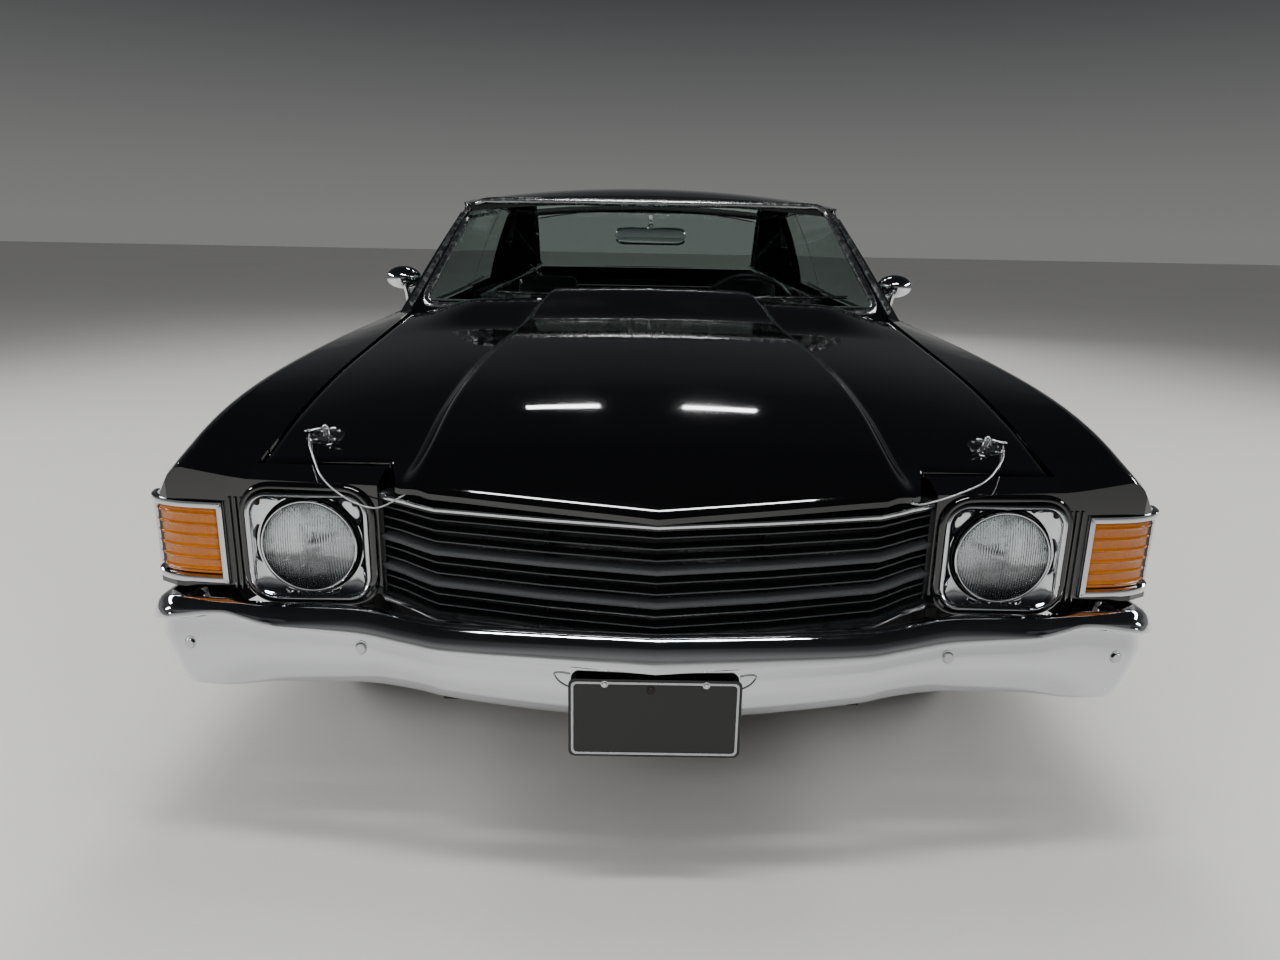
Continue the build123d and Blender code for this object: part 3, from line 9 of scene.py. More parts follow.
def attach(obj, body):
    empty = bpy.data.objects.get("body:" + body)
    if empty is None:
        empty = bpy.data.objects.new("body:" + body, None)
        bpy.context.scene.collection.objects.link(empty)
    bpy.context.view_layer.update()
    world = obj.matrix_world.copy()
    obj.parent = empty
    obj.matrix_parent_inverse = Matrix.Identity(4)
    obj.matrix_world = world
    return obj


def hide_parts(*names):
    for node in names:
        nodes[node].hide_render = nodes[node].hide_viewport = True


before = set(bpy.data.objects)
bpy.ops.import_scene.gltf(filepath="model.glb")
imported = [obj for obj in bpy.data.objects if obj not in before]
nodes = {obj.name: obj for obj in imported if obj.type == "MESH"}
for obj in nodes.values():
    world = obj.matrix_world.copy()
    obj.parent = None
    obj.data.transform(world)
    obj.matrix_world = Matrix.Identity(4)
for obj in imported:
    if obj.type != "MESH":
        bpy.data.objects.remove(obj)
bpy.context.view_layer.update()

mm = 0.001
print("frame loaded:", len(nodes), "nodes")


# small helpers

def linear(hexColour):
    parts = [int(hexColour[i:i + 2], 16) / 255 for i in (1, 3, 5)]
    return [c / 12.92 if c <= 0.04045 else ((c + 0.055) / 1.055) ** 2.4 for c in parts] + [1.0]


def addNode(tree, kind, settings=None, inputs=None):
    # values go on sockets, sockets are linked
    node = tree.nodes.new(kind)
    for key, value in (settings or {}).items():
        setattr(node, key, value)
    for key, value in (inputs or {}).items():
        if isinstance(value, bpy.types.NodeSocket):
            tree.links.new(value, node.inputs[key])
        else:
            node.inputs[key].default_value = value
    return node


def perMetre(size):
    # how often a pattern of that size in millimetres repeats in one metre
    return 1000.0 / size


def newMaterial(name, colour, roughness, metallic=0.0, sockets=None):
    material = bpy.data.materials.new(name)
    material.use_nodes = True
    tree = material.node_tree
    tree.nodes.clear()
    shader = addNode(tree, "ShaderNodeBsdfPrincipled", None, {
        "Base Color": linear(colour), "Roughness": roughness, "Metallic": metallic, **(sockets or {})})
    addNode(tree, "ShaderNodeOutputMaterial", None, {"Surface": shader.outputs[0]})
    place = addNode(tree, "ShaderNodeTexCoord").outputs["Object"]
    return material, tree, shader, place


def varyRoughness(tree, shader, place, size, low, high, detail=4.0):
    # patches of slightly different gloss, as handling and dust leave
    noise = addNode(tree, "ShaderNodeTexNoise", None, {"Vector": place, "Scale": perMetre(size), "Detail": detail})
    span = addNode(tree, "ShaderNodeMapRange", None, {
        "Value": noise.outputs["Fac"], "From Min": 0.3, "From Max": 0.7, "To Min": low, "To Max": high})
    tree.links.new(span.outputs[0], shader.inputs["Roughness"])
    return noise


def varyColour(tree, shader, place, size, first, second, detail=4.0):
    noise = addNode(tree, "ShaderNodeTexNoise", None, {"Vector": place, "Scale": perMetre(size), "Detail": detail})
    mix = addNode(tree, "ShaderNodeMix", {"data_type": "RGBA"}, {"Factor": noise.outputs["Fac"]})
    mix.inputs[6].default_value, mix.inputs[7].default_value = linear(first), linear(second)
    tree.links.new(mix.outputs[2], shader.inputs["Base Color"])
    return noise


def addBump(tree, shader, height, depth, strength=1.0, sockets=("Normal",)):
    # depth is the relief's real height in millimetres
    bump = addNode(tree, "ShaderNodeBump", None, {"Height": height, "Distance": depth * mm, "Strength": strength})
    for name in sockets:
        tree.links.new(bump.outputs[0], shader.inputs[name])
    return bump


# materials

def makeBlackEnamel():
    # two-pack black enamel under clear coat: a near-black mirror with a trace of orange peel
    values = {"peelSize": 5.0, "peelDepth": 0.004, "haze": (0.03, 0.075)}
    material, tree, shader, place = newMaterial("blackEnamel", "#050506", 0.05, 0.0, {
        "Coat Weight": 1.0, "Coat Roughness": 0.015, "Coat IOR": 1.5, "IOR": 1.5})
    varyRoughness(tree, shader, place, 180.0, *values["haze"])
    peel = addNode(tree, "ShaderNodeTexNoise", None, {
        "Vector": place, "Scale": perMetre(values["peelSize"]), "Detail": 1.0})
    addBump(tree, shader, peel.outputs["Fac"], values["peelDepth"], 0.6, ("Normal", "Coat Normal"))
    return material


def makeChrome():
    # bright nickel-chrome plate on steel: a cool mirror, a little duller in smudges
    material, tree, shader, place = newMaterial("chromePlate", "#DADCDF", 0.05, 1.0)
    varyRoughness(tree, shader, place, 60.0, 0.025, 0.10)
    ripple = addNode(tree, "ShaderNodeTexNoise", None, {"Vector": place, "Scale": perMetre(45.0), "Detail": 2.0})
    addBump(tree, shader, ripple.outputs["Fac"], 0.06, 0.25)
    return material


def makeMirrorGlass():
    # silvered glass: a clean mirror with a breath of dust
    material, tree, shader, place = newMaterial("silveredGlass", "#E6E9EA", 0.01, 1.0)
    varyRoughness(tree, shader, place, 35.0, 0.005, 0.05)
    return material


def makeStainless(name="polishedStainless", roughness=(0.07, 0.2)):
    # polished stainless trim: softer than chrome, with fine lengthwise polishing lines
    material, tree, shader, place = newMaterial(name, "#C9CBCC", 0.12, 1.0)
    varyRoughness(tree, shader, place, 25.0, *roughness)
    lines = addNode(tree, "ShaderNodeTexNoise", None, {"Vector": place, "Scale": perMetre(1.2), "Detail": 2.0})
    addBump(tree, shader, lines.outputs["Fac"], 0.004, 0.3)
    return material


def makeSatinBlack(name="satinBlackMoulding", colour="#101112", roughness=(0.22, 0.42)):
    # moulded or stove-enamelled satin black with fine texture
    material, tree, shader, place = newMaterial(name, colour, 0.3)
    varyRoughness(tree, shader, place, 30.0, *roughness)
    grain = addNode(tree, "ShaderNodeTexNoise", None, {"Vector": place, "Scale": perMetre(1.6), "Detail": 3.0})
    addBump(tree, shader, grain.outputs["Fac"], 0.02, 0.5)
    return material


def makeGrainedPlastic(name="grainedPlastic", colour="#0E0F10"):
    # injection-moulded dashboard plastic: cells of leather-like grain about 2 mm across
    material, tree, shader, place = newMaterial(name, colour, 0.5)
    cells = addNode(tree, "ShaderNodeTexVoronoi", {"feature": "F1"}, {"Vector": place, "Scale": perMetre(2.0)})
    varyRoughness(tree, shader, place, 12.0, 0.4, 0.6)
    addBump(tree, shader, cells.outputs["Distance"], 0.08, 0.6)
    return material


def makeVinyl():
    # embossed black seat vinyl: soft sheen, fine irregular grain, slightly worn on the crowns
    material, tree, shader, place = newMaterial("blackVinyl", "#0B0B0C", 0.4, 0.0, {
        "Sheen Weight": 0.15, "Sheen Roughness": 0.4})
    cells = addNode(tree, "ShaderNodeTexVoronoi", {"feature": "DISTANCE_TO_EDGE"}, {
        "Vector": place, "Scale": perMetre(2.6)})
    creases = addNode(tree, "ShaderNodeTexNoise", None, {"Vector": place, "Scale": perMetre(38.0), "Detail": 4.0})
    both = addNode(tree, "ShaderNodeMath", {"operation": "MULTIPLY_ADD"}, {
        0: cells.outputs["Distance"], 1: 0.6, 2: creases.outputs["Fac"]})
    varyRoughness(tree, shader, place, 55.0, 0.32, 0.52)
    varyColour(tree, shader, place, 70.0, "#09090A", "#121213")
    addBump(tree, shader, both.outputs[0], 0.25, 0.45)
    return material


def makeRubber():
    # tyre rubber: deep matt grey-black, with fine mould texture and dry dusty patches
    material, tree, shader, place = newMaterial("tyreRubber", "#121212", 0.75)
    varyRoughness(tree, shader, place, 45.0, 0.62, 0.86)
    varyColour(tree, shader, place, 90.0, "#0D0D0D", "#1B1A19")
    grit = addNode(tree, "ShaderNodeTexNoise", None, {"Vector": place, "Scale": perMetre(1.4), "Detail": 3.0})
    addBump(tree, shader, grit.outputs["Fac"], 0.08, 0.5)
    return material


def makeWheelPaint():
    # dark silver wheel enamel: fine metallic flake under a satin coat
    material, tree, shader, place = newMaterial("wheelSilver", "#4A4C4F", 0.35, 0.75, {"Coat Weight": 0.4})
    flake = addNode(tree, "ShaderNodeTexNoise", None, {"Vector": place, "Scale": perMetre(0.9), "Detail": 1.0})
    varyRoughness(tree, shader, place, 20.0, 0.28, 0.42)
    addBump(tree, shader, flake.outputs["Fac"], 0.01, 0.4)
    return material


def makeCoated(name, colour, roughness, grainSize, depth, spread):
    # brushed-on or sprayed protective paint, uneven and dusty
    material, tree, shader, place = newMaterial(name, colour[0], roughness[0])
    varyRoughness(tree, shader, place, 60.0, *roughness)
    varyColour(tree, shader, place, spread, *colour)
    grain = addNode(tree, "ShaderNodeTexNoise", None, {
        "Vector": place, "Scale": perMetre(grainSize), "Detail": 5.0})
    addBump(tree, shader, grain.outputs["Fac"], depth, 0.6)
    return material


def makeBareMetal(name, colour, roughness, spread, depth):
    # bare or aluminised steel and iron: patchy, with scale and heat tint
    material, tree, shader, place = newMaterial(name, colour[0], roughness[0], 0.85)
    varyRoughness(tree, shader, place, 25.0, *roughness)
    varyColour(tree, shader, place, spread, *colour)
    grain = addNode(tree, "ShaderNodeTexNoise", None, {"Vector": place, "Scale": perMetre(3.0), "Detail": 5.0})
    addBump(tree, shader, grain.outputs["Fac"], depth, 0.6)
    return material


def makeWindowGlass():
    # laminated screen glass with a faint green edge tint and a trace of dust
    material, tree, shader, place = newMaterial("screenGlass", "#DCE6E2", 0.0, 0.0, {
        "Transmission Weight": 1.0, "IOR": 1.05, "Specular IOR Level": 0.5, "Coat Weight": 0.35,
        "Coat Roughness": 0.01, "Coat IOR": 1.5})
    varyRoughness(tree, shader, place, 300.0, 0.0, 0.012)
    return material


def makeLampGlass():
    # pressed clear lamp glass
    material, tree, shader, place = newMaterial("pressedLampGlass", "#F4F7F7", 0.02, 0.0, {
        "Transmission Weight": 1.0, "IOR": 1.45})
    ripple = addNode(tree, "ShaderNodeTexNoise", None, {"Vector": place, "Scale": perMetre(14.0), "Detail": 2.0})
    flutes = addNode(tree, "ShaderNodeTexWave", {"bands_direction": "X"}, {
        "Vector": place, "Scale": 2 * math.pi / (20 * 4.6 * mm), "Distortion": 0.4, "Detail": 1.0})
    both = addNode(tree, "ShaderNodeMath", {"operation": "MULTIPLY_ADD"}, {
        0: ripple.outputs["Fac"], 1: 0.8, 2: flutes.outputs["Fac"]})
    addBump(tree, shader, both.outputs[0], 0.9, 0.7)
    return material


def makeLens(name, colour, deep):
    # moulded acrylic lens: saturated colour that lightens on its ribs
    material, tree, shader, place = newMaterial(name, colour, 0.12, 0.0, {
        "Transmission Weight": 0.35, "IOR": 1.49, "Coat Weight": 0.6, "Coat Roughness": 0.04})
    varyColour(tree, shader, place, 16.0, colour, deep, 2.0)
    fine = addNode(tree, "ShaderNodeTexWave", {"bands_direction": "X"}, {
        "Vector": place, "Scale": 2 * math.pi / (20 * 3.4 * mm), "Distortion": 0.2})
    addBump(tree, shader, fine.outputs["Fac"], 0.5, 0.6)
    return material


def makeLoopPile():
    # black loop-pile carpet, about 4 mm loops
    material, tree, shader, place = newMaterial("loopCarpet", "#0C0C0D", 0.95, 0.0, {
        "Sheen Weight": 0.4, "Sheen Roughness": 0.6})
    loops = addNode(tree, "ShaderNodeTexVoronoi", {"feature": "F1"}, {"Vector": place, "Scale": perMetre(4.0)})
    varyColour(tree, shader, place, 12.0, "#080808", "#161617")
    addBump(tree, shader, loops.outputs["Distance"], 1.5, 0.8)
    return material


def makeCoatedWire():
    # stainless wire rope in clear plastic: pale grey with the strands' twist showing
    material, tree, shader, place = newMaterial("coatedWire", "#B9BCBD", 0.25, 0.6, {"Coat Weight": 0.8})
    strands = addNode(tree, "ShaderNodeTexWave", {"bands_direction": "DIAGONAL"}, {
        "Vector": place, "Scale": perMetre(4.0), "Distortion": 1.0})
    varyColour(tree, shader, place, 5.0, "#8E9192", "#D9DBDC")
    addBump(tree, shader, strands.outputs["Fac"], 0.2, 0.6)
    return material


paint = makeBlackEnamel()
chrome = makeChrome()
stainless = makeStainless()
satinBlack = makeSatinBlack()
# grey for the two wide grille blades, also used as a painted highlight along the thin blades' front edges
greyBladesAndPaintedHighlight = makeSatinBlack("greyBladesAndPaintedEdgeHighlight", "#3A3C3E", (0.25, 0.4))
plastic = makeGrainedPlastic()
vinyl = makeVinyl()
rubber = makeRubber()
wheelPaint = makeWheelPaint()
carpet = makeLoopPile()
coatedWire = makeCoatedWire()
screenGlass = makeWindowGlass()
lampGlass = makeLampGlass()
amber = makeLens("amberAcrylic", "#D97C06", "#B86203")
red = makeLens("redAcrylic", "#B00C0C", "#7E0606")
underbody = makeCoated("underbodyCoating", ("#121211", "#1D1C1A"), (0.6, 0.85), 2.5, 0.5, 120.0)
chassisPaint = makeCoated("chassisBlack", ("#0C0C0D", "#161515"), (0.3, 0.5), 4.0, 0.1, 90.0)
enginePaint = makeCoated("engineEnamel", ("#B8430F", "#8F3510"), (0.3, 0.5), 6.0, 0.4, 70.0)
plateEnamel = makeCoated("plateEnamel", ("#08090A", "#0B0C0D"), (0.12, 0.2), 5.0, 0.01, 60.0)
castIron = makeBareMetal("greyCastIron", ("#4B4744", "#33302E"), (0.5, 0.75), 40.0, 0.3)
pipeSteel = makeBareMetal("aluminisedSteel", ("#8C8B87", "#6E6A63"), (0.3, 0.5), 80.0, 0.1)
silverBorder = makeBareMetal("silverEnamel", ("#C4C6C8", "#A9ABAD"), (0.25, 0.35), 12.0, 0.02)
dialFace = makeCoated("dialBlack", ("#101214", "#15181A"), (0.35, 0.45), 2.0, 0.01, 20.0)
dialWhite = makeCoated("dialMarks", ("#E8E8E4", "#D8D8D2"), (0.4, 0.5), 2.0, 0.01, 20.0)
mirrorGlass = makeMirrorGlass()
softTrim = makeStainless("brightScreenTrim", (0.16, 0.34))
print("materials made:", len(bpy.data.materials))


# meshes

def linked(name, data):
    # a new object in the scene
    item = bpy.data.objects.new(name, data)
    bpy.context.scene.collection.objects.link(item)
    return item


def plainMesh(holder):
    # what an object makes with its modifiers, as a plain mesh; the object itself goes
    bpy.context.view_layer.update()
    graph = bpy.context.evaluated_depsgraph_get()
    mesh = bpy.data.meshes.new_from_object(holder.evaluated_get(graph))
    bpy.data.objects.remove(holder)
    mesh.materials.clear()
    return mesh


def meshObject(name, points, faces, material, body, sharp=40.0):
    # points in millimetres in the car's frame
    mesh = bpy.data.meshes.new(name)
    mesh.from_pydata([Vector(p) * mm for p in points], [], faces)
    mesh.validate()
    return placeMesh(name, mesh, material, body, sharp)


def placeMesh(name, mesh, material, body, sharp=40.0):
    # doubles merged, normals outwards, creases kept sharp
    work = bmesh.new()
    work.from_mesh(mesh)
    bmesh.ops.remove_doubles(work, verts=work.verts, dist=1e-6)
    bmesh.ops.dissolve_degenerate(work, edges=work.edges, dist=1e-6)
    bmesh.ops.recalc_face_normals(work, faces=work.faces)
    work.to_mesh(mesh)
    work.free()
    mesh.shade_smooth()
    mesh.set_sharp_from_angle(angle=math.radians(sharp))
    piece = linked(name, mesh)
    if not mesh.materials:
        for m in (material if isinstance(material, (list, tuple)) else [material]):
            mesh.materials.append(m)
    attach(piece, body)
    return piece


def gridFaces(rows, columns, wrapRows=False, wrapColumns=False):
    faces = []
    for r in range(rows if wrapRows else rows - 1):
        for c in range(columns if wrapColumns else columns - 1):
            r2, c2 = (r + 1) % rows, (c + 1) % columns
            faces.append((r * columns + c, r * columns + c2, r2 * columns + c2, r2 * columns + c))
    return faces


def loftRows(name, rows, material, body, sharp=40.0):
    # a skin through rows of equally many points, each row's end joined to its start, both ends capped
    n = len(rows[0])
    points = [p for row in rows for p in row]
    faces = gridFaces(len(rows), n, False, True)
    faces += [tuple(range(n)), tuple(reversed(range((len(rows) - 1) * n, len(rows) * n)))]
    return meshObject(name, points, faces, material, body, sharp)


def loopRows(name, rows, material, body, sharp=40.0, closed=True):
    # a skin whose last row joins its first
    return meshObject(name, [p for row in rows for p in row], gridFaces(len(rows), len(rows[0]), True, closed),
                      material, body, sharp)


def closedShell(name, front, back, material, body, sharp=40.0):
    # two equal grids of points, front and back, closed round their border
    n, m = len(front), len(front[0])
    faces = gridFaces(n, m)
    faces += [tuple(n * m + i for i in reversed(f)) for f in faces]
    border = list(range(m)) + [i * m + m - 1 for i in range(1, n)]
    border += [(n - 1) * m + j for j in range(m - 2, -1, -1)] + [i * m for i in range(n - 2, 0, -1)]
    faces += [(a, c, n * m + c, n * m + a) for a, c in zip(border, border[1:] + border[:1])]
    return meshObject(name, [p for row in front + back for p in row], faces, material, body, sharp)


def joined(name, pieces, body):
    # several meshes as one piece, each face keeping its material
    work = bmesh.new()
    materials = []
    for piece in pieces:
        mesh = piece.data
        before = len(work.faces)
        work.from_mesh(mesh)
        work.faces.ensure_lookup_table()
        used = list(mesh.materials)
        for m in used:
            if m not in materials:
                materials.append(m)
        for face in work.faces[before:]:
            face.material_index = materials.index(used[min(face.material_index, len(used) - 1)])
    mesh = bpy.data.meshes.new(name)
    work.to_mesh(mesh)
    work.free()
    for m in materials:
        mesh.materials.append(m)
    for piece in pieces:
        bpy.data.objects.remove(piece)
    piece = linked(name, mesh)
    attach(piece, body)
    return piece


def solidified(piece):
    # the piece with its modifiers made real
    graph = bpy.context.evaluated_depsgraph_get()
    mesh = bpy.data.meshes.new_from_object(piece.evaluated_get(graph), preserve_all_data_layers=True, depsgraph=graph)
    piece.modifiers.clear()
    piece.data = mesh
    return piece


def rounded(piece, width, segments=2):
    # small rounded edges, then a mesh again
    bevel = piece.modifiers.new("edges", "BEVEL")
    bevel.width, bevel.segments, bevel.limit_method = width * mm, segments, "ANGLE"
    bevel.angle_limit = math.radians(35.0)
    bevel.harden_normals = False
    bpy.context.view_layer.update()
    return solidified(piece)


def smoothed(piece, levels):
    surface = piece.modifiers.new("surface", "SUBSURF")
    surface.levels = surface.render_levels = levels
    bpy.context.view_layer.update()
    return solidified(piece)


def hermite(table, x):
    # smooth reading between rows (x, value, value ...)
    last = len(table) - 1
    if x <= table[0][0]:
        return list(table[0][1:])
    if x >= table[last][0]:
        return list(table[last][1:])
    k = max(n for n in range(last) if table[n][0] <= x)
    step = table[k + 1][0] - table[k][0]
    t = (x - table[k][0]) / step
    out = []
    for i in range(1, len(table[0])):
        def slope(n):
            lo, hi = max(n - 1, 0), min(n + 1, last)
            return (table[hi][i] - table[lo][i]) / (table[hi][0] - table[lo][0])
        h = (2 * t**3 - 3 * t**2 + 1, t**3 - 2 * t**2 + t, 3 * t**2 - 2 * t**3, t**3 - t**2)
        out.append(h[0] * table[k][i] + h[1] * step * slope(k) + h[2] * table[k + 1][i] + h[3] * step * slope(k + 1))
    return out


def steps(start, end, count):
    return [start + (end - start) * n / (count - 1) for n in range(count)]


def circleSteps(count):
    # the angles of so many even steps round a circle
    return [2 * math.pi * k / count for k in range(count)]


def alongPath(path, ups, profile, closedPath=False):
    # rows of a profile (across, up) carried along a path, with a given up direction at each point
    rows, n = [], len(path)
    path = [Vector(p) for p in path]
    for i, p in enumerate(path):
        before = path[i - 1] if i > 0 or closedPath else p
        after = path[(i + 1) % n] if i < n - 1 or closedPath else p
        tangent = (after - before).normalized()
        up = Vector(ups[i] if isinstance(ups, list) else ups)
        across = tangent.cross(up).normalized()
        up = across.cross(tangent).normalized()
        rows.append([p + across * a + up * b for a, b in profile])
    return rows


def strip(name, path, ups, profile, material, body, closedPath=False, sharp=40.0):
    rows = alongPath(path, ups, profile, closedPath)
    if closedPath:
        return loopRows(name, rows, material, body, sharp)
    return loftRows(name, rows, material, body, sharp)


def lathe(name, centre, axis, profile, material, body, segments=48, sharp=35.0):
    # a profile of (distance along the axis, radius) turned about it; radius 0 closes an end
    axis = Vector(axis).normalized()
    side = axis.orthogonal().normalized()
    other = axis.cross(side)
    rows = []
    for a in circleSteps(segments):
        out = side * math.cos(a) + other * math.sin(a)
        rows.append([Vector(centre) + axis * d + out * r for d, r in profile])
    return loopRows(name, rows, material, body, sharp, closed=False)


def splineCurve(name, points, resolution):
    # a spline that rounds the corners between its points
    curve = bpy.data.curves.new(name, "CURVE")
    curve.dimensions = "3D"
    spline = curve.splines.new("NURBS")
    spline.points.add(len(points) - 1)
    for knot, p in zip(spline.points, points):
        knot.co = (*(Vector(p) * mm), 1.0)
    spline.order_u = 3
    spline.use_endpoint_u = True
    spline.resolution_u = resolution
    return curve


def tube(name, points, radius, material, body, sides=10):
    # a round bar along a spline
    curve = splineCurve(name, points, 6)
    curve.bevel_depth = radius * mm
    curve.bevel_resolution = max(1, sides // 4 - 1)
    curve.use_fill_caps = True
    return placeMesh(name, plainMesh(linked(name, curve)), material, body, 50.0)


boxFaces = [(0, 1, 3, 2), (4, 6, 7, 5), (0, 4, 5, 1), (2, 3, 7, 6), (0, 2, 6, 4), (1, 5, 7, 3)]


def block(name, low, high, material, body, edge=3.0, segments=2):
    (x0, y0, z0), (x1, y1, z1) = low, high
    points = [(x, y, z) for x in (x0, x1) for y in (y0, y1) for z in (z0, z1)]
    piece = meshObject(name, points, boxFaces, material, body)
    return rounded(piece, edge, segments) if edge else piece


def outlinePrism(name, outline, place, depth, material, body, edge=2.0, segments=2):
    # an outline of (a, b) placed in space by place(a, b, depth) and pushed through depth
    n = len(outline)
    points = [place(a, b, 0.0) for a, b in outline] + [place(a, b, depth) for a, b in outline]
    faces = [tuple(range(n)), tuple(reversed(range(n, 2 * n)))]
    faces += [(i, (i + 1) % n, n + (i + 1) % n, n + i) for i in range(n)]
    piece = meshObject(name, points, faces, material, body, 40.0)
    return rounded(piece, edge, segments) if edge else piece


def surfaceOf(*names):
    # what rays are cast at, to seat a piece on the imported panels
    points, triangles = [], []
    for name in names:
        mesh = nodes[name].data
        mesh.calc_loop_triangles()
        start = len(points)
        points += [v.co.copy() for v in mesh.vertices]
        triangles += [tuple(start + i for i in t.vertices) for t in mesh.loop_triangles]
    return BVHTree.FromPolygons(points, triangles)


def castAt(tree, origin, direction):
    # first point and outward normal that a ray meets, in millimetres
    hit, normal, _, _ = tree.ray_cast(Vector(origin) * mm, Vector(direction).normalized())
    if hit is None:
        return None, None
    if normal.dot(Vector(direction)) > 0:
        normal = -normal
    return hit / mm, normal


def laid(tree, rays, lift=0.0, keep=None):
    # where rays meet a surface: the points, raised by lift, and the normals there; misses are left out
    points, normals = [], []
    for origin, direction in rays:
        hit, normal = castAt(tree, origin, direction)
        if hit is not None and (keep is None or keep(hit)):
            points.append(hit + normal * lift)
            normals.append(normal)
    return points, normals


# repeated small pieces, by Geometry Nodes

def startTree(name, sizes):
    tree = bpy.data.node_groups.new(name, "GeometryNodeTree")
    tree.interface.new_socket("Geometry", in_out="INPUT", socket_type="NodeSocketGeometry")
    for label, value in sizes.items():
        kind = "NodeSocketInt" if isinstance(value, int) else "NodeSocketFloat"
        tree.interface.new_socket(label, in_out="INPUT", socket_type=kind).default_value = value
    tree.interface.new_socket("Material", in_out="INPUT", socket_type="NodeSocketMaterial")
    tree.interface.new_socket("Geometry", in_out="OUTPUT", socket_type="NodeSocketGeometry")
    return tree, addNode(tree, "NodeGroupInput")


def endTree(tree, source, geometry):
    real = addNode(tree, "GeometryNodeRealizeInstances", None, {"Geometry": geometry})
    painted = addNode(tree, "GeometryNodeSetMaterial", None, {
        "Geometry": real.outputs[0], "Material": source.outputs["Material"]})
    addNode(tree, "NodeGroupOutput", None, {"Geometry": painted.outputs[0]})
    return tree


def grown(name, mesh, tree, sizes=None, material=None):
    # a mesh goes through a tree with these sizes and comes out plain
    holder = linked(name + "Source", mesh)
    modifier = holder.modifiers.new(name, "NODES")
    modifier.node_group = tree
    given = {"Material": material, **(sizes or {})}
    for item in tree.interface.items_tree:
        if item.in_out == "INPUT" and given.get(item.name) is not None:
            modifier[item.identifier] = given[item.name]
    return plainMesh(holder)


def runTree(name, tree, sizes, points, normals, material, body, sharp=40.0):
    # the tree sets its shape on each point, turned along that point's direction
    mesh = bpy.data.meshes.new(name)
    mesh.from_pydata([Vector(p) * mm for p in points], [], [])
    facing = mesh.attributes.new("facing", "FLOAT_VECTOR", "POINT")
    for item, normal in zip(facing.data, normals):
        item.vector = Vector(normal).normalized()
    return placeMesh(name, grown(name, mesh, tree, sizes, material), material, body, sharp)


def makeBoltTree():
    # a washer with a domed head on each point, standing along its direction
    tree, source = startTree("boltHeads", {"Head radius": 0.008, "Head height": 0.005, "Washer share": 1.35,
                                           "Sides": 12})
    size = source.outputs
    head = addNode(tree, "GeometryNodeMeshCone", None, {
        "Vertices": size["Sides"], "Radius Bottom": size["Head radius"], "Depth": size["Head height"]})
    topRadius = addNode(tree, "ShaderNodeMath", {"operation": "MULTIPLY"}, {0: size["Head radius"], 1: 0.72})
    tree.links.new(topRadius.outputs[0], head.inputs["Radius Top"])
    washerRadius = addNode(tree, "ShaderNodeMath", {"operation": "MULTIPLY"}, {
        0: size["Head radius"], 1: size["Washer share"]})
    washerHeight = addNode(tree, "ShaderNodeMath", {"operation": "MULTIPLY"}, {0: size["Head height"], 1: 0.3})
    washer = addNode(tree, "GeometryNodeMeshCylinder", None, {
        "Vertices": 20, "Radius": washerRadius.outputs[0], "Depth": washerHeight.outputs[0]})
    pair = addNode(tree, "GeometryNodeJoinGeometry")
    tree.links.new(head.outputs["Mesh"], pair.inputs[0])
    tree.links.new(washer.outputs["Mesh"], pair.inputs[0])
    facing = addNode(tree, "GeometryNodeInputNamedAttribute", {"data_type": "FLOAT_VECTOR"}, {"Name": "facing"})
    turn = addNode(tree, "FunctionNodeAlignRotationToVector", {"axis": "Z"}, {"Vector": facing.outputs[0]})
    placed = addNode(tree, "GeometryNodeInstanceOnPoints", None, {
        "Points": source.outputs["Geometry"], "Instance": pair.outputs[0], "Rotation": turn.outputs[0]})
    return endTree(tree, source, placed.outputs[0])


boltTree = makeBoltTree()


def bolts(name, points, normals, radius, height, material, body, sides=6, washer=1.35):
    return runTree(name, boltTree, {"Head radius": radius * mm, "Head height": height * mm, "Sides": sides,
                                    "Washer share": washer}, points, normals, material, body, 30.0)


# camera, floor and lights

def makeCamera():
    view = {"place": (-43.64, -3945.55, 1190.53), "pitchDown": 0.2704, "yaw": 0.0068, "roll": 0.0191, "lens": 25.70}
    pitch, yaw, roll = view["pitchDown"], view["yaw"], view["roll"]
    ahead = Vector((math.sin(yaw) * math.cos(pitch), math.cos(yaw) * math.cos(pitch), -math.sin(pitch)))
    right = Vector((math.cos(yaw), -math.sin(yaw), 0))
    up = right.cross(ahead)
    turnedRight = right * math.cos(roll) + up * math.sin(roll)
    turnedUp = up * math.cos(roll) - right * math.sin(roll)
    data = bpy.data.cameras.new("camera")
    data.lens, data.sensor_width = view["lens"], 36.0
    data.clip_start, data.clip_end = 0.05, 200.0
    camera = linked("camera", data)
    camera.matrix_world = Matrix((
        (turnedRight.x, turnedUp.x, -ahead.x, view["place"][0] * mm),
        (turnedRight.y, turnedUp.y, -ahead.y, view["place"][1] * mm),
        (turnedRight.z, turnedUp.z, -ahead.z, view["place"][2] * mm), (0, 0, 0, 1)))
    bpy.context.scene.camera = camera


def makeFloor():
    # pale polished floor
    floorPaint, tree, shader, place = newMaterial("paleFloor", "#C9C8C5", 0.42)
    varyColour(tree, shader, place, 2600.0, "#CBCAC7", "#C3C2BF", 2.0)
    rows = [[(x, y, 0.0) for x in steps(-40000, 40000, 9)] for y in steps(-40000, 40000, 9)]
    mesh = bpy.data.meshes.new("floor")
    mesh.from_pydata([Vector(p) * mm for r in rows for p in r], [], gridFaces(9, 9))
    mesh.materials.append(floorPaint)
    floor = linked("floor", mesh)


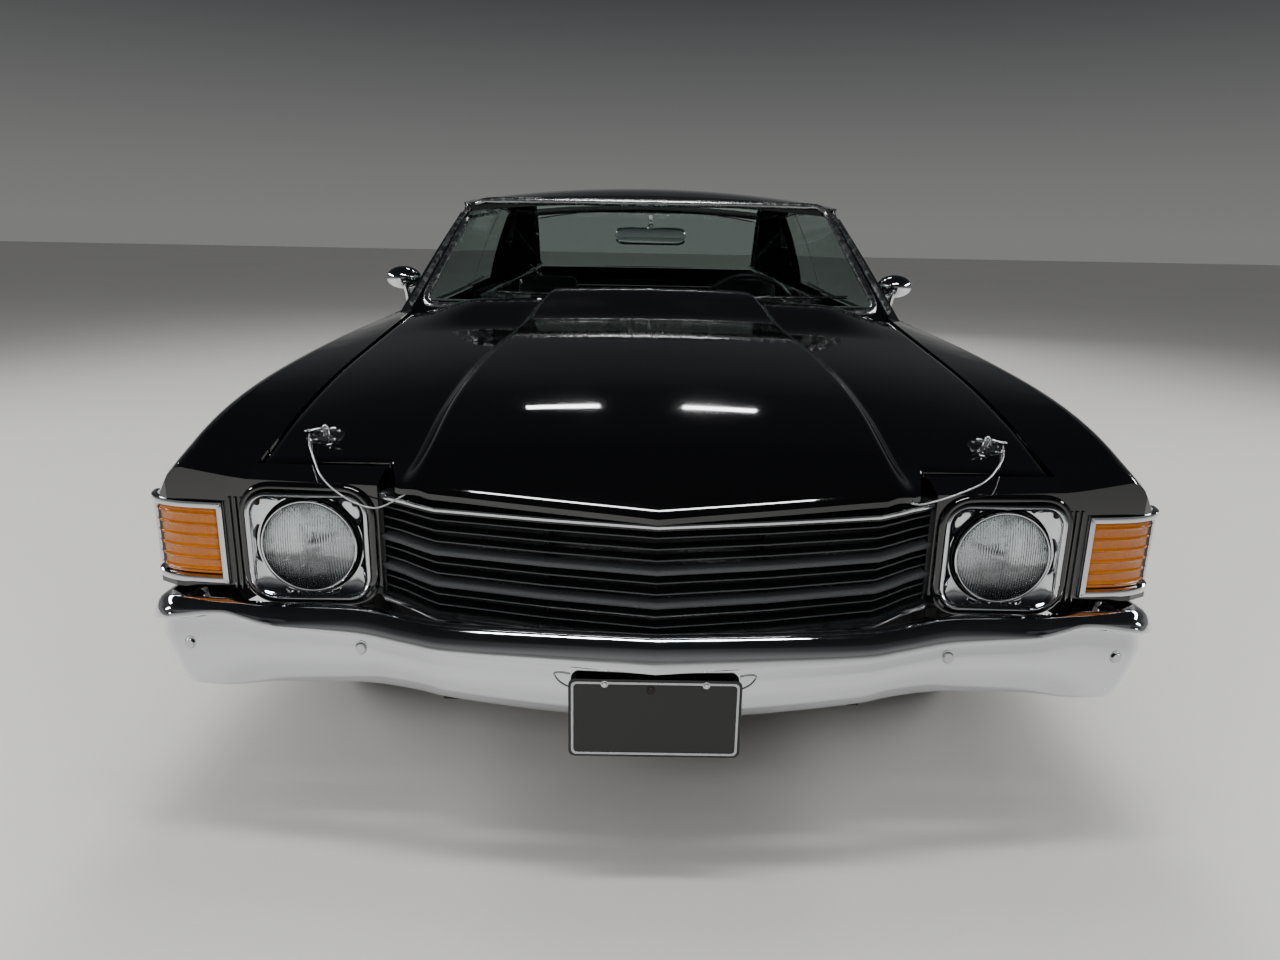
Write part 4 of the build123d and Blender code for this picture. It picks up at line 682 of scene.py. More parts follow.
def makeWorld():
    # pale at the horizon, dark overhead, so that the black paint stays black
    world = bpy.data.worlds.new("studio")
    world.use_nodes = True
    tree = world.node_tree
    tree.nodes.clear()
    coord = addNode(tree, "ShaderNodeTexCoord")
    parts = addNode(tree, "ShaderNodeSeparateXYZ", None, {"Vector": coord.outputs["Generated"]})
    ramp = addNode(tree, "ShaderNodeValToRGB", None, {"Fac": parts.outputs["Z"]})
    stops = ((0.0, "#8F8F8E"), (0.05, "#878786"), (0.22, "#4E4F51"), (0.5, "#26272A"), (1.0, "#1C1D1F"))
    ramp.color_ramp.elements[0].position, ramp.color_ramp.elements[1].position = stops[0][0], stops[-1][0]
    for position, _ in stops[1:-1]:
        ramp.color_ramp.elements.new(position)
    for element, (position, colour) in zip(ramp.color_ramp.elements, stops):
        element.color = linear(colour)
    glow = addNode(tree, "ShaderNodeBackground", None, {"Color": ramp.outputs[0], "Strength": 0.75})
    addNode(tree, "ShaderNodeOutputWorld", None, {"Surface": glow.outputs[0]})
    bpy.context.scene.world = world


def makeLights():
    # name: place, aim, width, length, watts, whether it shows as a reflection
    lamps = {
        "overheadFront": ((0.0, -3.0, 4.8), (0, -1.4, 0.6), 2.6, 0.35, 120, True),
        "overheadRear": ((0.0, 3.4, 4.6), (0, 1.4, 0.8), 4.4, 1.5, 130, False),
        "ceilingLeft": ((0.75, 3.0, 4.5), (0.2, -1.0, 0.8), 0.7, 0.13, 7, True),
        "ceilingRight": ((-0.75, 3.0, 4.5), (-0.2, -1.0, 0.8), 0.7, 0.13, 7, True),
        "sideLeft": ((5.2, -0.3, 3.0), (0.6, -0.2, 0.5), 5.0, 0.5, 170, True),
        "sideRight": ((-5.2, -0.3, 3.0), (-0.6, -0.2, 0.5), 5.0, 0.5, 170, True),
        "frontFill": ((-1.2, -6.5, 2.6), (0, -2.0, 0.5), 2.4, 1.6, 130, False),
        "backFill": ((1.6, 7.0, 2.8), (0, 2.0, 0.6), 2.4, 1.6, 130, False),
        "cabinGlow": ((0.0, 0.2, 6.0), (0, -0.2, 0.6), 1.2, 3.0, 150, False),
    }
    for name, (place, aim, width, length, watts, shows) in lamps.items():
        data = bpy.data.lights.new(name, "AREA")
        data.shape, data.size, data.size_y, data.energy = "RECTANGLE", width, length, watts
        lamp = linked(name, data)
        lamp.location = place
        lamp.rotation_euler = (Vector(aim) - Vector(place)).to_track_quat("-Z", "Y").to_euler()
        lamp.visible_glossy = lamp.visible_transmission = shows
    # one broad, weak light from far off keeps the floor even to the horizon
    data = bpy.data.lights.new("farLight", "SUN")
    data.energy, data.angle = 0.9, 1.2
    lamp = linked("farLight", data)
    lamp.rotation_euler = Vector((0.25, 0.6, -1.0)).to_track_quat("-Z", "Y").to_euler()
    lamp.visible_glossy = lamp.visible_transmission = False


makeCamera()
makeFloor()
makeWorld()
makeLights()
print("camera, floor and lights ready")


# the two lanyards, each one smooth spline through the points of its route
lanyards = {
    "wireDiameter": 3.2,
    "left": ((680, -2199, 788), (664, -2250, 784), (636, -2304, 777), (584, -2384, 766), (547, -2391, 750),
             (505, -2392, 733), (454, -2391, 718), (440, -2380, 731.0)),
    "right": ((-680, -2199, 788), (-664, -2250, 784), (-640, -2300, 772), (-600, -2382, 750), (-560, -2391, 719),
              (-523, -2392, 701), (-487, -2393, 699), (-440, -2380, 731.0)),
}


def splineLength(curve):
    mesh = plainMesh(linked("measure", curve))
    return sum((mesh.vertices[a].co - mesh.vertices[b].co).length for a, b in (e.vertices for e in mesh.edges))


def makeLanyard(side):
    points = lanyards[side]
    curve = splineCurve("lanyardWire_" + side, points, 16)
    length = splineLength(curve)
    curve.bevel_depth = lanyards["wireDiameter"] / 2 * mm
    curve.bevel_resolution = 3
    curve.use_fill_caps = True
    curve.materials.append(coatedWire)
    piece = linked("lanyardWire_" + side, curve)
    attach(piece, "bonnet")
    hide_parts("lanyard_" + side)


for side in ("left", "right"):
    makeLanyard(side)
print("lanyards laid")


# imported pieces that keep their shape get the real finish
finishes = {
    paint: ("rockers", "front_fenders", "quarter_panels", "nose_panels", "deck_panels", "roof_panel", "roof_pillars",
            "boot_lid", "door_left", "door_right", "bonnet"),
    chassisPaint: ("frame_rails", "cross_members", "radiator_support", "suspension"),
    underbody: ("floor_pan", "wheel_wells", "cabin_sides"),
    enginePaint: ("engine_block",),
    castIron: ("driveline", "knuckle_left", "knuckle_right"),
    pipeSteel: ("exhaust", "fuel_tank"),
    chrome: ("lamp_bezels", "front_bumper", "rear_bumper", "inside_mirror", "bonnet_pins", "door_mirror_left",
             "door_mirror_right"),
    lampGlass: ("headlamps",),
    amber: ("turn_lamp_lenses",),
    red: ("tail_lamps",),
    satinBlack: ("grille",),
    plateEnamel: ("front_plate",),
    screenGlass: ("windscreen", "back_window", "quarter_windows", "door_glass_left", "door_glass_right"),
    vinyl: ("front_seats", "rear_seat"),
    plastic: ("dashboard", "steering_wheel"),
    wheelPaint: tuple(f"rim_{a}_{b}" for a in ("front", "rear") for b in ("left", "right")),
    rubber: tuple(f"tyre_{a}_{b}" for a in ("front", "rear") for b in ("left", "right")),
}
for finish, names in finishes.items():
    for name in names:
        node = nodes[name]
        if node.material_slots:
            for one in node.material_slots:
                one.material = finish
        else:
            node.data.materials.append(finish)
print("packed pieces finished")

# front bumper: one pressed and plated bar, rolled top, stepped ridge, deep lower face
frontBumper = {
    # distance along it: x, y, heading, top, ridge, lower edge, tuck of the lower edge
    "stations": ((0, 0, -2508.5, 0, 503, 439, 324, 50), (200, 199, -2496, 3, 504, 449, 334, 49),
                 (385, 384, -2482, 6, 507, 459, 352, 48), (450, 448, -2466, 12, 511, 465, 358, 47),
                 (535, 530, -2446, 11, 519, 473, 360, 46), (610, 605, -2438, 7, 520, 477, 357, 46),
                 (705, 700, -2430, 6, 518, 481, 352, 46), (750, 742, -2424, 8, 518, 490, 347, 45),
                 (785, 776, -2419, 10, 519, 498, 341, 44), (825, 815, -2412, 13, 518, 495, 336, 42),
                 (870, 858, -2402, 22, 517, 486, 334, 40), (925, 905, -2390, 34, 516, 477, 338, 38),
                 (982, 944, -2350, 64, 511, 465, 366, 30), (1043, 954, -2290, 85, 506, 458, 404, 22),
                 (1153, 955, -2180, 90, 500, 456, 430, 14)),
    "step": 13.0, "wall": 5.0, "roll": 14.0, "depth": 60.0,
}
rearBumper = {
    "stations": ((0, 0, 2508.5, 0, 606, 590, 408, 30), (400, 400, 2500, 4, 606, 590, 408, 30),
                 (700, 700, 2486, 8, 606, 590, 408, 30), (862, 860, 2462, 22, 604, 588, 412, 28),
                 (950, 932, 2410, 60, 600, 584, 424, 24), (1022, 950, 2340, 84, 592, 576, 450, 18),
                 (1162, 951, 2200, 90, 580, 566, 480, 12)),
    "step": 14.0, "wall": 5.0, "roll": 8.0, "depth": 88.0,
    # half width, low and high edge of the plate's recess, and the plane of its floor
    "recess": (166.0, 408.0, 578.0, 2478.0),
}


def bumperSection(values, top, ridge, low, tuck):
    # (depth inwards, height) round the wall, outside first
    depth, roll, wall = values["depth"], values["roll"], values["wall"]
    middle = (top + ridge) / 2
    tall = ridge - low
    outer = [(depth, top - 13), (0.7 * depth, top - 4), (34, top), (28, top - 0.8), (22, top - 3), (17, top - 6),
             (12.6, top - 10), (9.2, top - 14.5), (6.6, top - 19), (4.4, middle - 1), (2.6, middle - 6),
             (1.2, ridge + 11), (0.2, ridge + 6), (0, ridge + 4), (1.0, ridge + 2), (3.6, ridge + 0.6),
             (roll, ridge - 1.5), (roll + 2.6, ridge - 5), (roll + 2.2, ridge - 0.11 * tall),
             (roll - 0.4, ridge - 0.22 * tall), (roll - 1.6, ridge - 0.33 * tall), (roll - 0.6, ridge - 0.45 * tall),
             (roll + 3, ridge - 0.58 * tall), (0.72 * roll + 0.28 * tuck, ridge - 0.7 * tall),
             (0.5 * roll + 0.5 * tuck, ridge - 0.82 * tall), (0.22 * roll + 0.78 * tuck, ridge - 0.92 * tall),
             (tuck - 3, low + 4), (tuck, low + 1), (tuck + 4, low + 0.4)]
    inner = [(tuck + 9, low + 4), (tuck + wall, low + 14), (0.5 * roll + 0.5 * tuck + wall, ridge - 0.78 * tall),
             (roll + 8 + wall, ridge - 0.55 * tall), (roll + 2 + wall, ridge - 0.3 * tall),
             (roll + 4 + wall, ridge - 9), (9 + wall, ridge + 5), (6 + wall, middle), (14 + wall, top - 14),
             (34, top - 9), (depth, top - 20)]
    return outer + inner


def bumperRows(values, sign):
    table = values["stations"]
    count = int(table[-1][0] / values["step"]) + 1
    half = []
    recess = values.get("recess")
    places = steps(0.0, table[-1][0], count)
    if recess:
        places = sorted([s for s in places if abs(s - recess[0]) > 8] + [recess[0] - 3, recess[0], recess[0] + 3])
    for s in places:
        x, y, heading, top, ridge, low, tuck = hermite(table, s)
        a = math.radians(heading)
        out = Vector((math.sin(a), sign * math.cos(a), 0))
        section = bumperSection(values, top, ridge, low, tuck)
        if recess and s < recess[0]:
            # pressed in flat behind the number plate
            section = [(max(d, y - recess[3]) if recess[1] < z < recess[2] and d < 60 else d, z) for d, z in section]
        half.append([Vector((x, y, z)) - out * d for d, z in section])
    for p in half[0]:
        p.x = 0.0
    other = [[Vector((-p.x, p.y, p.z)) for p in row] for row in reversed(half[1:])]
    return other + half


def makeFrontBumper():
    shell = loftRows("frontBumperShell", bumperRows(frontBumper, -1), chrome, "body", sharp=28.0)
    brackets = []
    for side in (-1, 1):
        x = 411 * side
        brackets.append(block("bumperIron", (x - 17, -2440, 402), (x + 17, -2256, 428), chassisPaint, "body", 2))
        brackets.append(block("bumperIron", (x - 17, -2262, 280), (x + 17, -2240.5, 428), chassisPaint, "body", 2))
    piece = joined("frontBumperBar", [shell] + brackets, "body")
    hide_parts("front_bumper")
    tree = BVHTree.FromObject(piece, bpy.context.evaluated_depsgraph_get())
    places = ((532, 446), (862, 430), (-532, 446), (-862, 430))
    points, normals = laid(tree, [((x, -2700, z), (0, 1, 0)) for x, z in places], -1.0)
    bolts("frontBumperBolts", points, normals, 12.0, 6.0, stainless, "body", 16, 1.18)
    # pressed ears beside the number plate
    for side, name in ((-1, "Right"), (1, "Left")):
        ear = ((150, 428), (166, 431), (180, 429), (176, 420), (166, 410), (152, 404))
        path, _ = laid(tree, [((side * x, -2700, z), (0, 1, 0)) for x, z in ear], 0.5)
        tube("plateEar" + name, path, 2.2, chrome, "body", 12)


makeFrontBumper()


# number plate: blank enamelled sheet in a thin silver border, on two screws
plate = {"halfWidth": 152.5, "low": 278.0, "high": 430.0, "face": -2504.5, "border": 4.0, "inset": 5.0, "corner": 12.0}


def roundedOutline(halfWidth, low, high, corner, count=6):
    out = []
    for cx, cz, start in ((halfWidth - corner, high - corner, 0), (-halfWidth + corner, high - corner, 90),
                          (-halfWidth + corner, low + corner, 180), (halfWidth - corner, low + corner, 270)):
        for n in range(count + 1):
            a = math.radians(start + 90 * n / count)
            out.append((cx + corner * math.cos(a), cz + corner * math.sin(a)))
    return out


def makePlate():
    p = plate
    y = p["face"]

    def outline(inset, corner):
        return roundedOutline(p["halfWidth"] - inset, p["low"] + inset, p["high"] - inset, corner)

    outer = outline(p["inset"], p["corner"] - p["inset"] + 2)
    inner = outline(p["inset"] + p["border"], p["corner"] - p["inset"])
    rows = [[(xo, y - 0.2, zo), (xo, y - 1.2, zo), (xi, y - 1.2, zi), (xi, y - 0.2, zi)]
            for (xo, zo), (xi, zi) in zip(outer, inner)]
    loopRows("plateBorder", rows, silverBorder, "body", 30.0)
    sheet = outlinePrism("plateSheet", outline(0, p["corner"]), lambda a, b, d: (a, y + d, b), 1.6, plateEnamel,
                         "body", 0.4, 1)
    back = block("plateBack", (-70, y + 1.7, 372), (70, -2474, 400), chassisPaint, "body", 2)
    whole = joined("plateEnamelled", [sheet, back], "body")
    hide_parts("front_plate")
    points = [(-89, y - 0.8, 421), (89, y - 0.8, 421)]
    bolts("plateScrews", points, [(0, -1, 0)] * 2, 5.0, 2.6, stainless, "body", 12, 1.3)
    # bolt that comes through the middle of the top edge
    bolts("plateClip", [(-8, y - 0.4, 410)], [(0, -1, 0)], 5.5, 3.0, castIron, "body", 6, 1.5)


makePlate()
print("front bumper and plate made")


# grille: V-shaped blades between two bright mouldings
grille = {
    "plan": ((0, -2440), (200, -2419), (398, -2396), (430, -2383), (462, -2370), (504, -2356)),
    "topLine": ((0, 687), (200, 692), (398, 699), (430, 702), (462, 706), (504, 710)),
    "lowLine": ((0, 474), (200, 482), (398, 496), (430, 503), (462, 512), (504, 520)),
    "spaces": 10, "wideBlades": (3, 6), "wideHeight": 10.0, "thinHeight": 3.0, "depth": 30.0, "setBack": 8.0,
    "rail": (7.0, 38.0, 1.5), "railBack": 20.0,   # half height, depth and edge of the rails above and below
}


def grilleLine(share):
    # points of a line across the grille, from the bottom moulding (0) to the top one (1)
    half = []
    for (x, y), (_, top), (_, low) in zip(grille["plan"], grille["topLine"], grille["lowLine"]):
        half.append(Vector((x, y, low + (top - low) * share)))
    return [Vector((-p.x, p.y, p.z)) for p in reversed(half[1:])] + half


def makeBladeTree():
    # every blade is the same section swept along its own line, with its edges rounded
    tree, source = startTree("grilleBlades", {"Half height": 0.0015, "Depth": 0.03, "Edge": 0.0008})
    size = source.outputs
    line = addNode(tree, "GeometryNodeMeshToCurve", None, {"Mesh": size["Geometry"]})
    height = addNode(tree, "ShaderNodeMath", {"operation": "MULTIPLY"}, {0: size["Half height"], 1: 2.0})
    section = addNode(tree, "GeometryNodeCurvePrimitiveQuadrilateral", None, {
        "Width": size["Depth"], "Height": height.outputs[0]})
    soft = addNode(tree, "GeometryNodeFilletCurve", {"mode": "POLY"}, {"Curve": section.outputs[0],
                                                                      "Radius": size["Edge"], "Count": 2})
    swept = addNode(tree, "GeometryNodeCurveToMesh", None, {
        "Curve": line.outputs[0], "Profile Curve": soft.outputs[0], "Fill Caps": True})
    return endTree(tree, source, swept.outputs[0])


def sweepLines(name, lines, sizes, material):
    # lines of points go in as edges, the tree sweeps its section along each
    points, edges = [], []
    for line in lines:
        start = len(points)
        points += [Vector(p) * mm for p in line]
        edges += [(start + i, start + i + 1) for i in range(len(line) - 1)]
    mesh = bpy.data.meshes.new(name)
    mesh.from_pydata(points, edges, [])
    named = dict(zip(("Half height", "Depth", "Edge"), (size * mm for size in sizes)))
    return placeMesh(name, grown(name, mesh, bladeTree, named, material), material, "body")


bladeTree = makeBladeTree()


def makeGrille():
    g = grille
    thin, wide = [], []
    for n in range(1, g["spaces"]):
        back = g["depth"] / 2 + (2 if n in g["wideBlades"] else g["setBack"])
        line = [p + Vector((0, back, 0)) for p in grilleLine(n / g["spaces"])]
        (wide if n in g["wideBlades"] else thin).append(line)
    # pale strips along the thin blades' front edges: a painted highlight where the edges catch the light
    edges = [[p - Vector((0, g["depth"] / 2 + 0.4, 0)) for p in line] for line in thin]
    parts = [sweepLines("thinBlades", thin, (g["thinHeight"] / 2, g["depth"], 0.8), satinBlack),
             sweepLines("wideBlades", wide, (g["wideHeight"] / 2, g["depth"], 1.6), greyBladesAndPaintedHighlight),
             sweepLines("paintedHighlightStrips", edges, (1.1, 1.6, 0.3), greyBladesAndPaintedHighlight)]
    for share in (1.0, 0.0):
        line = [p + Vector((0, g["railBack"], 0)) for p in grilleLine(share)]
        parts.append(sweepLines("rail", [line], g["rail"], satinBlack))
    for side in (-1, 1):
        parts.append(block("end", (500 if side > 0 else -509, -2352, 522), (509 if side > 0 else -500, -2318, 708),
                           satinBlack, "body", 1.5))
        parts.append(block("stay", (side * 200 - 6, -2386, 486), (side * 200 + 6, -2293.5, 690), satinBlack, "body",
                           1.5))
    whole = joined("grilleBlades", parts, "body")
    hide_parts("grille")
    # bright mouldings along the top and the bottom
    section = ((-1, -5.5), (-4, -4.5), (-5.5, 0), (-4, 4.5), (-1, 5.5), (3, 5), (3, -5))
    for name, share, lift in (("grilleTopMoulding", 1.0, 3.0), ("grilleLowerMoulding", 0.0, -4.0)):
        rows = [[p + Vector((0, -2, lift)) + Vector((0, a, b)) for a, b in section] for p in grilleLine(share)]
        rounded(loftRows(name, rows, chrome, "body", sharp=30.0), 0.8, 1)


makeGrille()
print("grille made")

# headlamp bezels: rounded square frames with a dark gap round the lamp
bezel = {"centre": (636, 616), "size": (222, 206), "corner": 42, "face": -2372, "back": -2326}
headlamp = {"glassRadius": 84.0, "face": -2366.0, "bulge": 15.0, "fluteWidth": 5.2, "fluteDepth": 0.9, "fluted": 78.0}


def squareRing(halfX, halfZ, corner, count):
    # points round a rounded square, evenly by angle from its centre
    out = []
    for k in range(count):
        a = 2 * math.pi * (k + 0.5) / count
        c, s = math.cos(a), math.sin(a)
        low, high = 0.0, 400.0
        for _ in range(26):
            r = (low + high) / 2
            x, z = abs(r * c), abs(r * s)
            inX, inZ = x - (halfX - corner), z - (halfZ - corner)
            outside = x > halfX or z > halfZ or (inX > 0 and inZ > 0 and math.hypot(inX, inZ) > corner)
            low, high = (low, r) if outside else (r, high)
        out.append((low * c, low * s))
    return out


def makeBezels():
    b = bezel
    face, back = b["face"], b["back"]
    hx, hz, corner = b["size"][0] / 2, b["size"][1] / 2, b["corner"]
    count = 96
    pieces, screws, facings = [], [], []
    for side in (1, -1):
        cx, cz = b["centre"][0] * side, b["centre"][1]

        def square(inset, y):
            return [(cx + x, y, cz + z) for x, z in squareRing(hx - inset, hz - inset, max(corner - inset, 4), count)]

        def circle(radius, y):
            angles = [2 * math.pi * (k + 0.5) / count for k in range(count)]
            return [(cx + radius * math.cos(a), y, cz + radius * math.sin(a)) for a in angles]

        rows = [square(inset, y) for inset, y in (
            (0, back), (0, face + 5), (0.8, face + 2), (2.8, face + 0.4), (5.5, face), (7.4, face + 1.0),
            (9.0, face + 3.2), (10.4, face + 6), (13.5, face + 9))]
        rows += [circle(radius, y) for radius, y in (
            (97.5, face + 15.5), (95.4, face + 15.6), (93.4, face + 16.4), (91.8, face + 19), (91.6, back))]
        pieces.append(loopRows("bezelFrame", rows, chrome, "body", 32.0))
        pieces.append(lathe("lampWell", (cx, 0, cz), (0, 1, 0), [
            (face + 10, 91.2), (face + 26, 89.6), (back - 0.5, 89.3), (back - 0.5, 91.3), (face + 10, 91.6)],
            satinBlack, "body", 64))
        for dx in (0.80, -0.80):
            screws.append((cx + dx * hx, face + 7.0, cz + 0.80 * hz))
            facings.append((0, -1, 0))
    whole = joined("bezelFrames", pieces, "body")
    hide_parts("lamp_bezels")
    bolts("bezelScrews", screws, facings, 4.6, 3.4, castIron, "body", 14, 1.3)


def makeFluteTree():
    # upright flutes moulded across the lamp glass
    tree, source = startTree("lampFlutes", {"Flute width": 0.0052, "Flute depth": 0.0009, "Radius": 0.078})
    size = source.outputs
    place = addNode(tree, "GeometryNodeInputPosition")
    parts = addNode(tree, "ShaderNodeSeparateXYZ", None, {"Vector": place.outputs[0]})
    turns = addNode(tree, "ShaderNodeMath", {"operation": "DIVIDE"}, {0: parts.outputs["X"], 1: size["Flute width"]})
    full = addNode(tree, "ShaderNodeMath", {"operation": "MULTIPLY"}, {0: turns.outputs[0], 1: 2 * math.pi})
    wave = addNode(tree, "ShaderNodeMath", {"operation": "COSINE"}, {0: full.outputs[0]})
    middle = addNode(tree, "GeometryNodeInputNamedAttribute", {"data_type": "FLOAT"}, {"Name": "fromMiddle"})
    inside = addNode(tree, "FunctionNodeCompare", {"data_type": "FLOAT", "operation": "LESS_THAN"}, {
        0: middle.outputs[0], 1: size["Radius"]})
    deep = addNode(tree, "ShaderNodeMath", {"operation": "MULTIPLY"}, {0: wave.outputs[0], 1: size["Flute depth"]})
    shift = addNode(tree, "ShaderNodeCombineXYZ", None, {"Y": deep.outputs[0]})
    moved = addNode(tree, "GeometryNodeSetPosition", None, {
        "Geometry": size["Geometry"], "Selection": inside.outputs[0], "Offset": shift.outputs[0]})
    return endTree(tree, source, moved.outputs[0])


fluteTree = makeFluteTree()


def makeHeadlamps():
    h = headlamp
    face, radius = h["face"], h["glassRadius"]
    cz = bezel["centre"][1]
    ringRadii = [0.5] + [2.6 * n for n in range(1, 31)] + [80.0, 82.0, 83.6, 84.0]
    count = 128

    def dome(r):
        return face - h["bulge"] * (1 - (r / radius) ** 2.2)

    pieces = []
    for side in (1, -1):
        cx = bezel["centre"][0] * side
        # reflector bowl and bulb shield behind the glass
        bowl = [(face + 6, radius - 1)]
        bowl += [(face + 6 + 20 * (1 - (r / (radius - 1)) ** 2) ** 0.8, r) for r in (78, 68, 56, 42, 28, 16)]
        bowl += [(face + 27, 9), (face + 27, 0)]
        pieces.append(lathe("reflector", (cx, 0, cz), (0, 1, 0), bowl, chrome, "body", 64, 60.0))
        pieces.append(lathe("bulbShield", (cx, 0, cz), (0, 1, 0), [
            (face + 27, 8), (face + 8, 8), (face + 5, 6), (face + 4, 0)], stainless, "body", 24))
        # domed glass with a plain margin, fluted in the middle
        rings = [[(cx + r * math.cos(a), dome(r), cz + r * math.sin(a)) for a in circleSteps(count)]
                 for r in ringRadii]
        rings += [[(x, y + 4.0, z) for x, y, z in ring] for ring in reversed(rings)]
        points = [p for ring in rings for p in ring]
        n = len(rings)
        faces = gridFaces(n, count, False, True)
        faces += [tuple(range(count)), tuple(reversed(range((n - 1) * count, n * count)))]
        mesh = bpy.data.meshes.new("lampGlass")
        mesh.from_pydata([Vector(p) * mm for p in points], [], faces)
        fromMiddle = mesh.attributes.new("fromMiddle", "FLOAT", "POINT")
        for item, (x, y, z) in zip(fromMiddle.data, points):
            away = math.hypot(x - cx, z - cz)
            item.value = away * mm if y < dome(away) + 1 else 1.0
        glass = grown("lampGlass", mesh, fluteTree, {
            "Flute width": h["fluteWidth"] * mm, "Flute depth": h["fluteDepth"] * mm, "Radius": h["fluted"] * mm})
        pieces.append(placeMesh("lampGlass", glass, lampGlass, "body", 60.0))
        # bright retaining ring
        pieces.append(lathe("lampRing", (cx, 0, cz), (0, 1, 0), [
            (face + 8, 83.8), (face - 0.5, 83.8), (face - 1.8, 84.6), (face - 2, 86), (face - 1, 87.6),
            (face + 2, 88.4), (face + 30, 88.4), (face + 30, 83.8), (face + 8, 83.8)], chrome, "body", 72, 30.0))
    whole = joined("headlampUnits", pieces, "body")
    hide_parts("headlamps")


def makePodLips():
    # a rounded lip round each bezel, and three upright ribs between bezel and turn lamp
    b = bezel
    tree = surfaceOf("nose_panels", "front_fenders")
    halfX, halfZ, corner = b["size"][0] / 2 + 9, b["size"][1] / 2 + 9, b["corner"] + 9
    for side, label in ((1, "Left"), (-1, "Right")):
        cx, cz = b["centre"][0] * side, b["centre"][1]
        loop = []
        for x, z in squareRing(halfX, halfZ, corner, 120):
            hit, _ = castAt(tree, (cx + x, -2600, cz + z), (0, 1, 0))
            y = -2352 if hit is None or hit.y > -2320 else min(hit.y, -2340)
            loop.append(Vector((cx + x, y, cz + z)))
        loop = evened(loop + loop[:1], 4)[:-1]
        parts = [strip("podLip", loop, (0, -1, 0), trimProfile(15.0, 10.0), paint, "body", True, 60.0)]
        for x in (757, 768, 779):
            path = []
            for z in steps(528, 704, 12):
                hit, _ = castAt(tree, (side * x, -2600, z), (0, 1, 0))
                path.append(Vector((side * x, hit.y if hit is not None else -2352, z)))
            parts.append(strip("podRib", path, (0, -1, 0), trimProfile(6.0, 5.0), paint, "body", False, 60.0))
        joined("podTrim" + label, parts, "body")


def evened(values, rounds=3):
    # neighbouring directions averaged, so that a strip does not twist at a facet
    for _ in range(rounds):
        values = [((values[max(i - 1, 0)] + values[i] * 2 + values[min(i + 1, len(values) - 1)]) / 4).copy()
                  for i in range(len(values))]
    return values


def trimProfile(width, height):
    w, h = width / 2, height
    return [(-w, -2.0), (-w, 0.3 * h), (-0.88 * w, 0.62 * h), (-0.66 * w, 0.85 * h), (-0.38 * w, 0.97 * h), (0, h),
            (0.38 * w, 0.93 * h), (0.68 * w, 0.72 * h), (0.88 * w, 0.42 * h), (w, 0.1 * h), (w, -2.0)]


makeBezels()
makeHeadlamps()
makePodLips()


# turn lamps in the corners: bright frame, amber lens with level ribs
turnLamp = {"z": (535, 695), "frame": 16.0, "ribs": 6, "frameRun": (0.045, 0.985)}


def cornerPlan(inset, along):
    # outer line of the corner at a share along it, from the lamp side round to the wing
    table = ((0, 790, -2356), (0.25, 832, -2352), (0.5, 876, -2345), (0.68, 908, -2334), (0.8, 930, -2320),
             (0.9, 944, -2302), (1.0, 951, -2276))
    x, y = hermite(table, along)
    xa, ya = hermite(table, max(along - 0.02, 0))
    xb, yb = hermite(table, min(along + 0.02, 1))
    tangent = Vector((xb - xa, yb - ya, 0)).normalized()
    out = Vector((tangent.y, -tangent.x, 0))
    return Vector((x, y, 0)) - out * inset, out


